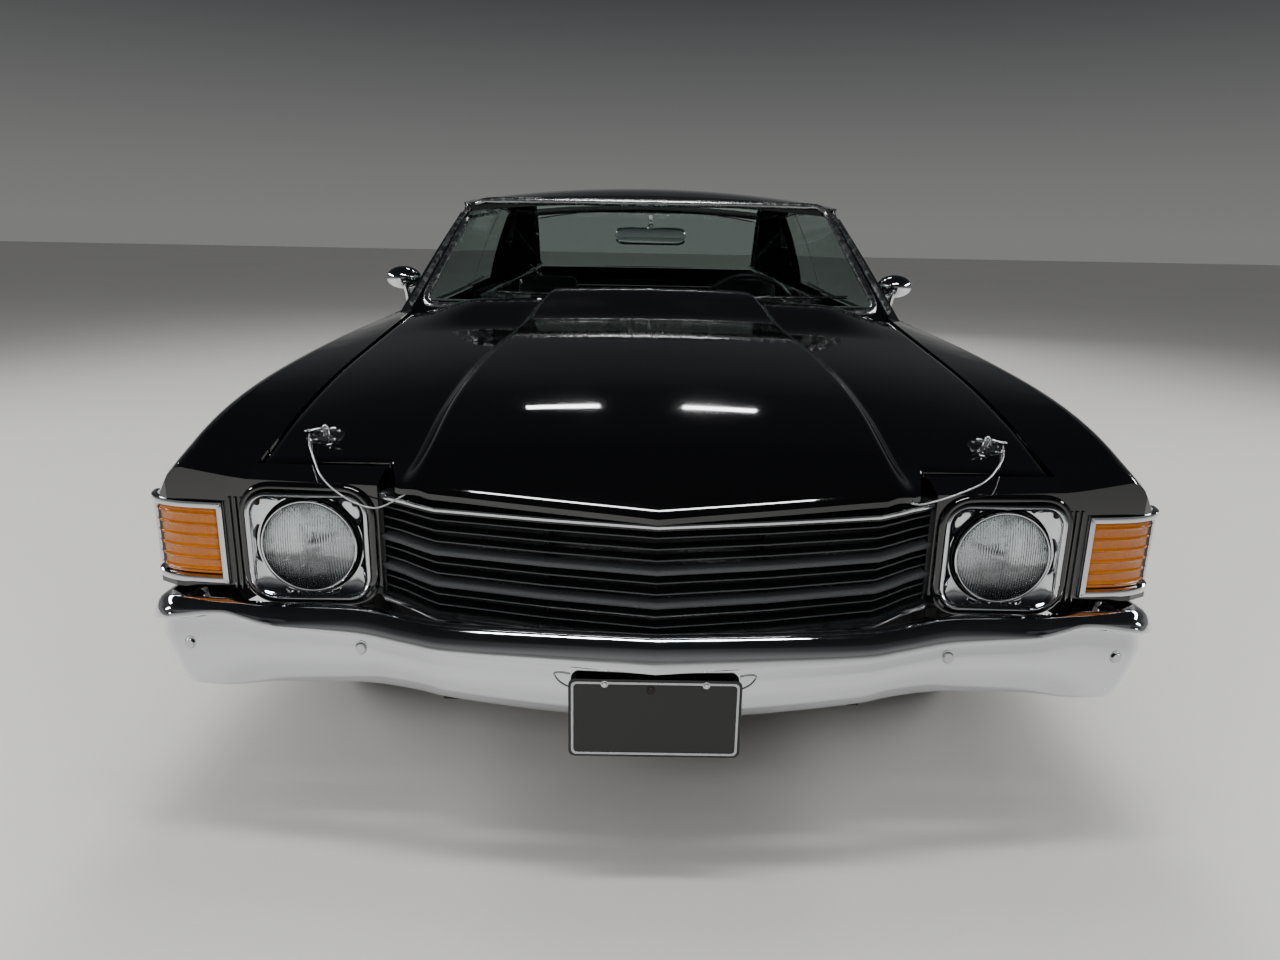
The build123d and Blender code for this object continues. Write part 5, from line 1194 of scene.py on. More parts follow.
def makeTurnLamps():
    t = turnLamp
    z0, z1 = t["z"]
    low, high = z0 + t["frame"], z1 - t["frame"]
    levels = int((high - low) / 1.2)
    shares = steps(0.11, 0.9, 60)
    # the frame's line, as (share along the corner, height)
    first, last = t["frameRun"]
    rise = [(high - low + 18) * k / 12 for k in range(1, 12)]
    ring = [(share, low - 9) for share in steps(first, last, 40)] + [(last, low - 9 + r) for r in rise]
    ring += [(share, high + 9) for share in reversed(steps(first, last, 40))] + [(first, high + 9 - r) for r in rise]
    lensParts, frameParts, points, normals = [], [], [], []
    for side in (1, -1):

        def place(inset, share, z):
            p, _ = cornerPlan(inset, share)
            return (p.x * side, p.y, z)

        rows = []
        for j in range(levels + 1):
            z = low + (high - low) * j / levels
            rib = 2.6 * max(0.0, math.cos(2 * math.pi * (z - low) / ((high - low) / t["ribs"]) + math.pi)) ** 3
            row = []
            for n, share in enumerate(shares):
                fine = 0.35 if n % 2 else 0.0
                edge = 3.0 * max(0.0, 1 - min(n, 59 - n) / 2) ** 2 + 3.0 * max(0.0, 1 - min(j, levels - j) / 3) ** 2
                row.append(place(5.5 - rib - fine + edge, share, z))
            rows.append(row)
        n, m = len(rows), len(shares)
        rows += [[place(14.0, share, z) for share in shares] for z in (low, high)]
        faces = gridFaces(n, m)
        start, top = n * m, (n - 1) * m
        for a, b in ((0, start), (top, start + m), (start, start + m)):
            faces += [(a + i, a + i + 1, b + i + 1, b + i) for i in range(m - 1)]
        faces.append(tuple([r * m for r in range(n)] + [start + m, start]))
        faces.append(tuple([r * m + m - 1 for r in range(n)] + [start + m + m - 1, start + m - 1]))
        lensParts.append(meshObject("turnLens", [p for row in rows for p in row], faces, amber, "body", 50.0))
        # bright frame round the lens
        sweep = []
        for share, z in ring:
            ax = 1 if share < 0.06 else (-1 if share > 0.97 else 0)
            az = 1 if z < low - 8 else (-1 if z > high + 8 else 0)
            sweep.append([place(d, min(max(share + ax * a / 190, 0), 1.0), z + az * a) for a, d in (
                (-7, 1.0), (-5.6, -3.0), (0, -4.4), (5.6, -3.0), (7.6, 0.5), (8.0, 8.0), (-7, 8.0))])
        frameParts.append(loopRows("turnFrame", sweep, chrome, "body", 35.0))
        for share, z in ((first, low - 9), (first, high + 9), (last, low - 9), (last, high + 9)):
            out = cornerPlan(-3.0, share)[1]
            points.append(place(-3.0, share, z))
            normals.append((out.x * side, out.y, 0))
    whole = joined("amberLenses", lensParts, "body")
    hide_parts("turn_lamp_lenses")
    joined("turnLampFrames", frameParts, "body")
    bolts("turnLampScrews", points, normals, 3.4, 2.2, stainless, "body", 14, 1.2)


makeTurnLamps()
print("front lamps made")

# bonnet: the outer skin with its raised centre, and the pressed inner frame below
bonnetShape = {
    # y, middle height, edge height, bulge of the outer part, half width of the raised part, run of its step
    "rows": ((-2470, 696, 682, 6, 424, 52), (-2430, 726, 706, 6, 420, 52), (-2380, 760, 732, 6, 416, 52),
             (-2285, 806, 753, 5, 411, 50), (-2080, 856, 804, 8, 405, 48), (-1800, 897, 850, 11, 386, 48),
             (-1400, 942, 891, 16, 340, 42), (-1080, 978, 921, 20, 290, 36)),
    "crown": 6.0, "halfWidth": 738.0, "skin": 13.0, "rear": -1085.0, "bulge": 3.0,
    # the front edge, middle then outer part, and the corner where it has run back to the fender's seam
    "nose": (((0, -2452), (200, -2432), (404, -2408)), ((404, -2408), (440, -2394), (470, -2378))),
    "corner": (497, -2285.0), "earX": 240.0, "pivotZ": 945.0,
    "kick": 36.0, "kickRun": (-1400.0, -1085.0),   # it rises towards the screen and hides the wipers
}


def soft(value, low, high):
    t = min(max((value - low) / (high - low), 0.0), 1.0)
    return t * t * (3 - 2 * t)


def bonnetTop(x, y):
    b = bonnetShape
    zMiddle, zEdge, rise, dome, run = hermite(b["rows"], y)
    a = abs(x)
    kick = b["kick"] * soft(y, *b["kickRun"]) * (1 - soft(a, 520, 736))
    return kick + flatBonnet(a, zMiddle, zEdge, rise, dome, run)


def flatBonnet(a, zMiddle, zEdge, rise, dome, run):
    b = bonnetShape
    foot = zEdge + rise
    if a <= dome:
        return zMiddle - b["crown"] * (a / dome) ** 2
    if a <= dome + run:
        t = (a - dome) / run
        s = t * t * (3 - 2 * t)
        edge = zMiddle - b["crown"]
        return edge + (foot - edge) * s
    t = (a - dome - run) / (b["halfWidth"] - dome - run)
    return foot + (zEdge - foot) * t + 4 * b["bulge"] * t * (1 - t)


def noseLine(x):
    a = abs(x)
    for part in bonnetShape["nose"]:
        if a <= part[-1][0]:
            return hermite(part, a)[0]
    (x0, y0), (x1, y1) = bonnetShape["nose"][-1][-1], bonnetShape["corner"]
    return y0 + (a - x0) / (x1 - x0) * (y1 - y0) if a <= x1 else y1


def makeBonnet():
    b = bonnetShape
    xs = []
    for a, c, n in ((0, 225, 16), (225, 300, 14), (300, 470, 40), (470, 500, 7), (500, 700, 12), (700, 738, 5)):
        xs += steps(a, c, n + 1)[:-1]
    xs.append(b["halfWidth"])
    xs = [-x for x in reversed(xs[1:])] + xs
    shares = [0, 0.004, 0.01, 0.02] + steps(0.035, 0.985, 88) + [0.994, 1.0]
    columns = []
    for x in xs:
        front = noseLine(x)
        column = []
        for share in shares:
            y = front + (b["rear"] - front) * share
            # rolled front and rear edges
            drop = 4.0 * max(0.0, 1 - (y - front) / 9.0) ** 2 + 3.0 * max(0.0, 1 - (b["rear"] - y) / 7.0) ** 2
            side = 3.0 * max(0.0, 1 - (b["halfWidth"] - abs(x)) / 6.0) ** 2
            column.append(Vector((x, y, bonnetTop(x, y) - drop - side)))
        columns.append(column)
    edges = (0, len(columns) - 1), (0, len(shares) - 1)
    under = [[p - Vector((0, 0, b["skin"] - 3 if i in edges[0] or j in edges[1] else b["skin"]))
              for j, p in enumerate(column)] for i, column in enumerate(columns)]
    parts = [closedShell("bonnetSkin", columns, under, paint, "bonnet", 32.0)]

    # pressed ribs of the inner frame
    def rib(x0, y0, x1, y1, width, height, count=14):
        rows = []
        a, c = Vector((x0, y0, 0)), Vector((x1, y1, 0))
        across = (c - a).normalized().cross(Vector((0, 0, 1)))
        for s in steps(0, 1, count):
            p = a.lerp(c, s)
            row = []
            for u, d in ((-1.0, -b["skin"] + 2), (-0.86, -b["skin"] - height * 0.7), (-0.6, -b["skin"] - height),
                         (0.6, -b["skin"] - height), (0.86, -b["skin"] - height * 0.7), (1.0, -b["skin"] + 2)):
                q = p + across * u * width / 2
                row.append((q.x, q.y, bonnetTop(q.x, q.y) + d))
            rows.append(row)
        return loftRows("rib", rows, chassisPaint, "bonnet", 35.0)

    for side in (1, -1):
        parts += [rib(side * 690, -2230, side * 690, -1115, 60, 7), rib(side * 320, -2330, side * 30, -1290, 44, 7)]
    parts += [rib(-650, -1150, 650, -1150, 60, 7, 40), rib(-640, -2225, 640, -2225, 60, 7, 40)]
    for side in (1, -1):
        x = b["earX"] * side
        low = bonnetTop(x, -1110) - b["skin"] + 2
        outline = [(-1140, low), (-1092, low), (-1100, b["pivotZ"] + 3)]
        outline += [(-1110 + 7.5 * math.cos(t), b["pivotZ"] - 7.5 * math.sin(t))
                    for t in steps(0.3, math.pi - 0.3, 8)] + [(-1122, b["pivotZ"] + 3)]
        parts.append(outlinePrism("hingeEar", outline, lambda a, c, d, x=x: (x - 3 + d, a, c), 6.0, chassisPaint,
                                  "bonnet", 0.8, 1))
    whole = joined("bonnetPanel", parts, "bonnet")
    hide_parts("bonnet")


makeBonnet()


# bonnet pins: scuff plates screwed to the skin, threaded pins, and the R-clips that lock them
bonnetPin = {"place": (648, -2190), "pinTop": 26.0, "clipRing": (686, -2180, 791), "clipWire": 1.9}


def makeBonnetPins():
    v = bonnetPin
    plates, screws, facings = [], [], []
    for side in (1, -1):
        x, y = v["place"][0] * side, v["place"][1]
        z = bonnetTop(x, y)
        ahead = (bonnetTop(x, y + 20) - bonnetTop(x, y - 20)) / 40
        across = (bonnetTop(x + 20, y) - bonnetTop(x - 20, y)) / 40
        up = Vector((-across, -ahead, 1)).normalized()
        plates.append(lathe("scuffPlate", (x, y, z), up, [(-0.5, 6.5), (-0.5, 32.0), (1.2, 33.0), (2.4, 32.2),
                      (3.0, 30.0), (2.6, 20.0), (3.4, 15.0), (5.4, 11.0), (5.6, 8.2), (5.0, 6.5), (-0.5, 6.5)],
                      stainless, "bonnet", 48, 35.0))
        plates.append(lathe("pin", (x, y, z), up, [(-14, 0), (-14, 6.0), (20, 6.0), (24, 4.6), (v["pinTop"], 2.4),
                      (v["pinTop"] + 0.6, 0)], stainless, "bonnet", 24, 35.0))
        for k in range(4):
            a = math.pi / 4 + k * math.pi / 2
            p = Vector((x + 25 * math.cos(a), y + 25 * math.sin(a), 0))
            screws.append((p.x, p.y, bonnetTop(p.x, p.y) + 2.9))
            facings.append(up)
        # R-clip: one straight leg through the pin, one waved leg over it, a ring at the end
        ring = Vector((v["clipRing"][0] * side, v["clipRing"][1], v["clipRing"][2]))
        start = Vector((x - side * 22, y - 6, z + 15))
        straight = [start, start.lerp(ring, 0.5) + Vector((0, 0, 0.6)), ring - Vector((side * 6, 0, 1))]
        loop = [ring + Vector((side * 7 * math.cos(t), 7 * math.sin(t), 0))
                for t in steps(math.pi, -math.pi * 0.75, 10)]
        back = ring - start
        wave = []
        for s, h in ((0.78, 4), (0.62, 9), (0.48, 12), (0.36, 9), (0.24, 4), (0.12, 8), (0.0, 12)):
            p = start + back * s
            wave.append(p + Vector((0, -3 - h * 0.6, h * 0.5)))
        plates.append(tube("clip", straight + loop + wave, v["clipWire"], stainless, "bonnet", 12))
    whole = joined("bonnetPinSets", plates, "bonnet")
    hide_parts("bonnet_pins")
    bolts("pinPlateScrews", screws, facings, 3.0, 1.6, stainless, "bonnet", 14, 1.2)


makeBonnetPins()
print("bonnet and pins made")

# glass mouldings: polished strips laid round each opening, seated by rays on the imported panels
# width and height of each moulding's section
trimSection = {
    "screen": (24.0, 10.0), "drip": (14.0, 11.0), "belt": (11.0, 6.0), "arch": (13.0, 2.4), "sill": (26.0, 7.0)}
# corners of each opening, and the way its rays look
glassTrim = {
    "screenTrim": (((-738, 936), (738, 936), (636, 1272), (-636, 1272)), 1),
    "backTrim": (((-604, 968), (604, 968), (556, 1268), (-556, 1268)), -1),
}
shellTree = surfaceOf("cabin_sides", "roof_panel", "roof_pillars", "windscreen", "back_window", "quarter_windows",
                      "door_left", "door_right", "door_glass_left", "door_glass_right", "quarter_panels", "deck_panels",
                      "front_fenders")


def between(a, b, count):
    return [tuple(a[i] + (b[i] - a[i]) * s for i in range(len(a))) for s in steps(0, 1, count)]


def roundedLoop(corners, radius, count):
    # a closed line with rounded corners, evenly stepped
    line = []
    for k, corner in enumerate(corners):
        p = Vector((*corner, 0))
        a, c = Vector((*corners[k - 1], 0)), Vector((*corners[(k + 1) % len(corners)], 0))
        toA, toC = (a - p).normalized(), (c - p).normalized()
        for s in steps(0, 1, 7):
            first, last = p + toA * radius, p + toC * radius
            q = first * (1 - s) ** 2 + p * 2 * s * (1 - s) + last * s * s
            line.append(q)
    total, out = [0.0], []
    closed = line + [line[0]]
    for a, c in zip(closed, closed[1:]):
        total.append(total[-1] + (c - a).length)
    for s in steps(0, total[-1], count + 1)[:-1]:
        k = max(i for i in range(len(total)) if total[i] <= s + 1e-9)
        k = min(k, len(closed) - 2)
        t = (s - total[k]) / max(total[k + 1] - total[k], 1e-9)
        out.append(closed[k].lerp(closed[k + 1], t))
    return out


def makeGlassTrim():
    for name, (corners, ahead) in glassTrim.items():
        start = -1500 if ahead > 0 else 2600
        points, normals = laid(shellTree, [((p.x, start, p.y), (0, ahead, 0)) for p in roundedLoop(corners, 46.0, 190)])
        strip(name, evened(points, 1), evened(normals, 4), trimProfile(*trimSection["screen"]), softTrim, "body", True,
              35.0)


makeGlassTrim()


def makeSideTrim():
    # drip rail over the side windows, from the foot of the screen pillar to behind the rear side window
    eaves = 1262   # rays from the side meet the roof's edge no higher than this
    line = between((-975, 930), (-420, 1286), 20) + between((-400, 1296), (-300, 1304), 4)
    line += between((-260, 1305), (560, 1299), 26) + between((620, 1288), (900, 1130), 12)
    for side, label in ((1, "Left"), (-1, "Right")):
        path, ups = [], []
        for y, z in line:
            hit, normal = castAt(shellTree, (side * 1300, y, min(z, eaves)), (-side, 0, 0))
            if hit is None:
                continue
            path.append(Vector((hit.x, y, hit.z)) + normal * 3)
            ups.append(normal)
        path = evened([Vector((p.x, p.y, z if z < eaves else p.z)) for p, (y, z) in zip(path, line)], 2)
        strip("dripRail" + label, path, evened(ups, 4), trimProfile(*trimSection["drip"]), softTrim, "body", False,
              35.0)


makeSideTrim()
print("glass mouldings laid")

# tyres: low-profile radials with grooved tread, stepped shoulders and plain sidewalls
tyre = {"radius": 332.0, "blocks": 66, "grooves": (-56, -19, 19, 56), "grooveWidth": 9.0, "grooveDepth": 7.0}


def makeTyreTree():
    # one slice of tread, turned round the axle as many times as there are blocks
    tree, source = startTree("tyreTread", {"Blocks": 66})
    size = source.outputs
    line = addNode(tree, "GeometryNodeMeshLine", None, {"Count": size["Blocks"], "Offset": (0.0, 0.0, 0.0)})
    index = addNode(tree, "GeometryNodeInputIndex")
    share = addNode(tree, "ShaderNodeMath", {"operation": "DIVIDE"}, {0: index.outputs[0], 1: size["Blocks"]})
    angle = addNode(tree, "ShaderNodeMath", {"operation": "MULTIPLY"}, {0: share.outputs[0], 1: 2 * math.pi})
    turn = addNode(tree, "ShaderNodeCombineXYZ", None, {"X": angle.outputs[0]})
    placed = addNode(tree, "GeometryNodeInstanceOnPoints", None, {
        "Points": line.outputs[0], "Instance": size["Geometry"], "Rotation": turn.outputs[0]})
    return endTree(tree, source, placed.outputs[0])


treadTree = makeTyreTree()


def tyreProfile():
    # half the carcass from the bead outwards and up to the tread's middle: (across, radius)
    return ((84, 192.5), (90, 190.8), (96, 194), (99, 202), (104, 218), (110, 240), (113, 258), (112, 274),
            (109, 290), (104.5, 304), (99, 314), (93, 320.5), (85, 325.0))


def makeTreadSlice():
    # a wedge of the tread: ribs and grooves across, sipes and slots cut at its sides
    t = tyre
    step = 2 * math.pi / t["blocks"]
    across = [-85.0, -82.0, -76.0]
    for g in t["grooves"]:
        w = t["grooveWidth"] / 2
        across += [g - w - 1.0, g - w, g - w + 0.8, g + w - 0.8, g + w, g + w + 1.0]
    across += [-38.0, -37.0, 0.0, 1.0, 37.0, 38.0, 76.0, 82.0, 85.0]
    across = sorted(set(across))
    turns = [0.0, 0.07, 0.10, 0.30, 0.34, 0.40, 0.44, 0.62, 0.66, 0.93, 1.0]

    def depthAt(x, s):
        deep = 0.0
        w = t["grooveWidth"] / 2
        for g in t["grooves"]:
            if abs(x - g) < w:
                deep = max(deep, t["grooveDepth"] * min(1.0, max(0.0, (w - abs(x - g)) / 0.9 + 0.02)))
        shoulder = abs(x) > 62
        if shoulder and 0.10 <= s <= 0.30:
            deep = max(deep, 5.0)
        if not shoulder and 0.34 <= s <= 0.40 and abs(x) > 2:
            deep = max(deep, 4.0)
        if 24 < abs(x) < 56 and 0.66 <= s <= 0.72:
            deep = max(deep, 4.0)
        return deep

    rows = []
    for s in turns:
        a = step * (s - 0.5)
        row = []
        for x in across:
            r = t["radius"] - 0.35 * (x / 85) ** 2 * 6 - depthAt(x, s)
            lean = 0.004 * (x / 85) ** 2
            row.append((x, r * math.sin(a + lean), r * math.cos(a + lean)))
        rows.append(row)
    return rows


def makeTyre():
    t = tyre
    rows = makeTreadSlice()
    wedge = bpy.data.meshes.new("treadSlice")
    wedge.from_pydata([Vector(p) * mm for r in rows for p in r], [], gridFaces(len(rows), len(rows[0])))
    tread = grown("tread", wedge, treadTree, {"Blocks": t["blocks"]})
    work = bmesh.new()
    work.from_mesh(tread)
    bmesh.ops.remove_doubles(work, verts=work.verts, dist=2e-5)
    # shoulders, sidewalls and the inside of the carcass, turned about the axle
    half = list(tyreProfile())
    shoulder = [(85, t["radius"] - 2.1), (85.6, 327.5)]
    inner = [(78, 196), (82, 214), (92, 244), (96, 268), (88, 296), (70, 308), (30, 312), (0, 312)]
    inner += [(-x, r) for x, r in reversed(inner[:-1])]
    shape = shoulder + half[::-1] + inner + [(-x, r) for x, r in half + shoulder[::-1]]
    turned = []
    for a in circleSteps(t["blocks"] * 3):
        turned.append([work.verts.new((x * mm, r * math.sin(a) * mm, r * math.cos(a) * mm)) for x, r in shape])
    for first, second in zip(turned, turned[1:] + turned[:1]):
        for i in range(len(shape) - 1):
            work.faces.new((first[i], second[i], second[i + 1], first[i + 1]))
    bmesh.ops.recalc_face_normals(work, faces=work.faces)
    made = bpy.data.meshes.new("tyreShape")
    work.to_mesh(made)
    work.free()
    return made


wheel = {"centreFront": (762.0, -1543.5), "centreRear": (760.5, 1301.5), "axle": 332.0, "nuts": 5, "nutCircle": 60.3,
         "slots": 5, "slotRadius": 118, "slotHalf": 28, "slotDepth": 26}


def wheelParts(body):
    # built about the axle at the origin, outer face towards +x
    parts = []
    w = wheel
    # rim barrel with its flanges
    barrel = [(89, 196.5), (91, 195.5), (91, 190), (88, 187.5), (80, 184), (66, 176), (56, 168), (30, 164), (-30, 166),
              (-70, 176), (-84, 184), (-90, 189), (-91, 196), (-88, 196.5), (-86, 191), (-80, 189), (-66, 182),
              (-30, 171), (30, 169), (52, 172), (64, 180), (80, 189), (86, 191.5), (89, 196.5)]
    parts.append(lathe("rimBarrel", (0, 0, 0), (1, 0, 0), barrel, wheelPaint, body, 96, 30.0))
    # bright trim ring over the rim's edge
    ring = [(91.4, 197.5), (95.0, 197.0), (97.5, 193), (98, 187), (95.5, 181), (90, 174.5), (82, 168), (70, 163),
            (62, 160.5), (62, 162), (70, 165), (81, 170.5), (88, 176.5), (92.5, 183), (93.5, 188), (92.5, 191.5),
            (91.4, 197.5)]
    parts.append(lathe("trimRing", (0, 0, 0), (1, 0, 0), ring, stainless, body, 96, 30.0))
    # pressed five-spoke centre: raised spokes between five deep oval slots
    radii = [34, 42, 50, 58, 66, 72, 76, 80, 84, 90, 96, 102, 108, 114, 120, 126, 130, 134, 138, 142, 146, 150, 154,
             158, 162, 165]
    rows = []
    for a in circleSteps(240):
        row = []
        for r in radii:
            x = 46 + 16 * math.sin(min(max((r - 34) / 60, 0), 1) * math.pi / 2)
            x -= 20 * max(0.0, (r - 96) / 69) ** 1.6
            phase = (a * w["slots"] / (2 * math.pi)) % 1.0 - 0.5
            alongArc = phase * 2 * math.pi / w["slots"] * r
            u, v = alongArc / (23 + 0.11 * r), (r - w["slotRadius"]) / w["slotHalf"]
            inside = (u * u) ** 1.4 + (v * v) ** 1.4
            dip = max(0.0, min(1.0, (1.22 - inside) / 0.42))
            x -= w["slotDepth"] * dip * dip * (3 - 2 * dip)
            spoke = max(0.0, math.cos(a * w["slots"])) ** 4
            x += 3.0 * spoke * max(0.0, 1 - abs(r - 100) / 62)
            row.append((x, r * math.sin(a), r * math.cos(a)))
        rows.append(row)
    # front and back sheets share their inner and outer edges
    count, n = len(rows), len(radii)
    sheets = rows + [[(x - 6, y, z) for x, y, z in row] for row in rows]
    back = count * n
    faces = gridFaces(count, n, True, False)
    faces += [tuple(back + i for i in reversed(f)) for f in faces]
    for j in (0, n - 1):
        ring = [k * n + j for k in range(count)]
        faces += [(i, i2, back + i2, back + i) for i, i2 in zip(ring, ring[1:] + ring[:1])]
    parts.append(meshObject("wheelCentre", [p for row in sheets for p in row], faces, wheelPaint, body, 40.0))
    # plain centre cap
    cap = [(40, 36), (58, 36.5), (62, 35), (64, 31), (66, 30), (70, 29), (74, 26), (76, 20), (76.6, 10), (76.8, 0)]
    parts.append(lathe("wheelCap", (0, 0, 0), (1, 0, 0), cap, chrome, body, 64, 30.0))
    # brake drum behind
    drum = [(-20, 140), (-24, 142), (-66, 142), (-70, 138), (-70, 60), (20, 58), (24, 62), (24, 120), (20, 132),
            (-20, 140)]
    parts.append(lathe("brakeDrum", (0, 0, 0), (1, 0, 0), drum, castIron, body, 72, 30.0))
    return parts


def makeWheels():
    tyreMesh = makeTyre()
    w = wheel
    for end in ("front", "rear"):
        for sideName, side in (("left", 1), ("right", -1)):
            cx, cy = w["centreFront" if end == "front" else "centreRear"]
            body = f"wheel_{end}_{sideName}"
            place = Matrix.Translation(Vector((cx * side, cy, w["axle"])) * mm)
            if side < 0:
                place = place @ Matrix.Rotation(math.pi, 4, "Z")
            mesh = tyreMesh.copy()
            mesh.transform(place)
            piece = placeMesh(f"tyre_{end}_{sideName}", mesh, rubber, body, 45.0)
            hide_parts(f"tyre_{end}_{sideName}")
            parts = wheelParts(body)
            points, normals = [], []
            for k in range(w["nuts"]):
                a = 2 * math.pi * k / w["nuts"] + 0.3
                points.append((63.0, w["nutCircle"] * math.sin(a), w["nutCircle"] * math.cos(a)))
                normals.append((1, 0, 0))
            parts.append(bolts("wheelNuts", points, normals, 10.5, 16.0, chrome, body, 6, 1.15))
            whole = joined(f"wheel_{end}_{sideName}", parts, body)
            whole.data.transform(place)
            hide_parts(f"rim_{end}_{sideName}")


makeWheels()
print("wheels made")

# rear bumper with round red lamps set in it
tailLamp = {"z": 502.0, "places": ((545, 2490), (720, 2480)), "rings": 7}


def makeRearBumper():
    shell = loftRows("rearBumperShell", bumperRows(rearBumper, 1), chrome, "body", sharp=28.0)
    pad = block("platePad", (-164, 2478.5, 412), (164, 2488, 582), chassisPaint, "body", 2)
    irons = [block("rearIron", (side * 550 - 28, 2240.5, 401), (side * 550 + 28, 2462, 424), chassisPaint, "body", 2)
             for side in (1, -1)]
    whole = joined("rearBumperBar", [shell, pad] + irons, "body")
    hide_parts("rear_bumper")
    # bolts that hold the plate, in the pad's four holes
    points = [(x, 2488.4, 497 + z) for x in (-88.9, 88.9) for z in (-60.3, 60.3)]
    bolts("plateBolts", points, [(0, 1, 0)] * 4, 5.0, 3.0, stainless, "body", 6, 1.3)


makeRearBumper()


def makeTailLamps():
    t = tailLamp
    lenses = []
    for side in (1, -1):
        for x, face in t["places"]:
            c = (side * x, 0, t["z"])
            profile = [(face - 58, 0), (face - 58, 60)]
            profile += [(face - 12, 60), (face - 3, 60.0), (face - 1.2, 58.5)]
            r, step = 58.0, 58.0 / (t["rings"] * 2 + 1)
            for k in range(t["rings"] * 2):
                r -= step
                lift = -1.6 if k % 2 == 0 else 0.0
                profile.append((face + lift + 1.5 * (1 - (r / 58) ** 2), max(r, 0.1)))
            profile += [(face + 1.0, 0)]
            lenses.append(lathe("tailLens", c, (0, 1, 0), profile, red, "body", 72, 40.0))
            lenses.append(lathe("tailRim", c, (0, 1, 0), [(face - 40, 60.3), (face - 2, 60.3), (face + 3, 60.8),
                          (face + 5, 62.5), (face + 4.6, 65), (face + 2, 67.8), (face - 6, 68.5), (face - 40, 66.0),
                          (face - 40, 60.3)], chrome, "body", 72, 30.0))
    whole = joined("tailLampUnits", lenses, "body")
    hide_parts("tail_lamps")


makeTailLamps()
print("rear bumper and lamps made")


# small outside pieces on the sides
sideFittings = {"doorHandle": (235, 742), "handleLength": 210.0, "lock": (315, 700), "rearMarker": (2078, 560),
                "markerSize": (116, 36)}
mouldings = {
    "arches": {"archLipFront": ((-1543.5, 320), 394), "archLipRear": ((1301.5, 338), 388)},   # centre, radius
    "archFoot": 268, "sill": (-1120, 880, 262), "inward": 800,
}
sideTree = surfaceOf("front_fenders", "quarter_panels", "door_left", "door_right", "rockers", "nose_panels")


def onSide(y, z, side):
    return castAt(sideTree, (side * 1500, y, z), (-side, 0, 0))


def makeDoorHandles():
    s = sideFittings
    y0, z0 = s["doorHandle"]
    length = s["handleLength"]
    lockY, lockZ = s["lock"]
    section = [(-11, -3.5), (-11, 0), (-9, 3.2), (-4, 4.8), (4, 4.8), (9, 3.2), (11, 0), (11, -3.5), (5, -4.5),
               (-5, -4.5)]
    for side, label in ((1, "left"), (-1, "right")):
        body = "door_" + label
        path, ups = [], []
        for share in steps(0, 1, 26):
            hit, normal = onSide(y0 - length / 2 + length * share, z0, side)
            rise = 19.0 * min(1.0, max(0.0, math.sin(math.pi * share)) * 2.2) ** 0.6
            path.append(hit + normal * (rise - 2.0))
            ups.append(normal)
        parts = [smoothed(strip("handleBar", path, ups, section, chrome, body, False, 32.0), 1)]
        for dy in (-length / 2 + 8, length / 2 - 8):
            hit, normal = onSide(y0 + dy, z0, side)
            parts.append(lathe("handleFoot", hit - normal * 3, normal, [
                (0, 0), (0, 20), (5, 19), (8, 15), (14, 12), (17, 0)], chrome, body, 40, 30.0))
        # push button at the rear end and a key lock under it
        parts.append(lathe("handleButton", hit, normal, [(10, 9), (17, 9), (19.5, 8), (20.5, 5), (20.7, 0)], stainless,
                           body, 32, 30.0))
        hit, normal = onSide(lockY, lockZ, side)
        parts.append(lathe("keyLock", hit - normal * 2, normal, [
            (0, 0), (0, 15), (3.5, 14.5), (5.5, 12.5), (5.8, 8), (4.6, 7.4), (4.8, 1.2), (4.0, 0.8), (4.0, 0)],
            chrome, body, 36, 30.0))
        joined("doorHandle_" + label, parts, body)


makeDoorHandles()


def makeMarkers():
    s = sideFittings
    y0, z0 = s["rearMarker"]
    w, h = s["markerSize"]
    halfW, halfH = w / 2 + 4, h / 2 + 4
    ring = roundedLoop(((y0 - halfW, z0 - halfH), (y0 + halfW, z0 - halfH), (y0 + halfW, z0 + halfH),
                        (y0 - halfW, z0 + halfH)), 7.0, 80)
    for side, label in ((1, "Left"), (-1, "Right")):
        rows = []
        for u in steps(-1, 1, 25):
            row = []
            for v in steps(-1, 1, 13):
                hit, normal = onSide(y0 + u * w / 2, z0 + v * h / 2, side)
                edge = min((1 - abs(u)) * w / 2, (1 - abs(v)) * h / 2)
                rib = 0.8 * math.cos(u * w / 2 / 7.0 * 2 * math.pi) if edge > 4 else 0.0
                row.append(hit + normal * (7.0 * min(1.0, edge / 4.0) ** 0.5 + rib - 1.0))
            rows.append(row)
        back = [[p - Vector((side * 9, 0, 0)) for p in row] for row in rows]
        lens = closedShell("markerLens", rows, back, red, "body", 45.0)
        loop, ups = laid(sideTree, [((side * 1500, p.x, p.y), (-side, 0, 0)) for p in ring])
        rim = strip("markerFrame", loop, ups, trimProfile(9.0, 5.5), chrome, "body", True, 35.0)
        joined("rearMarker" + label, [lens, rim], "body")


makeMarkers()


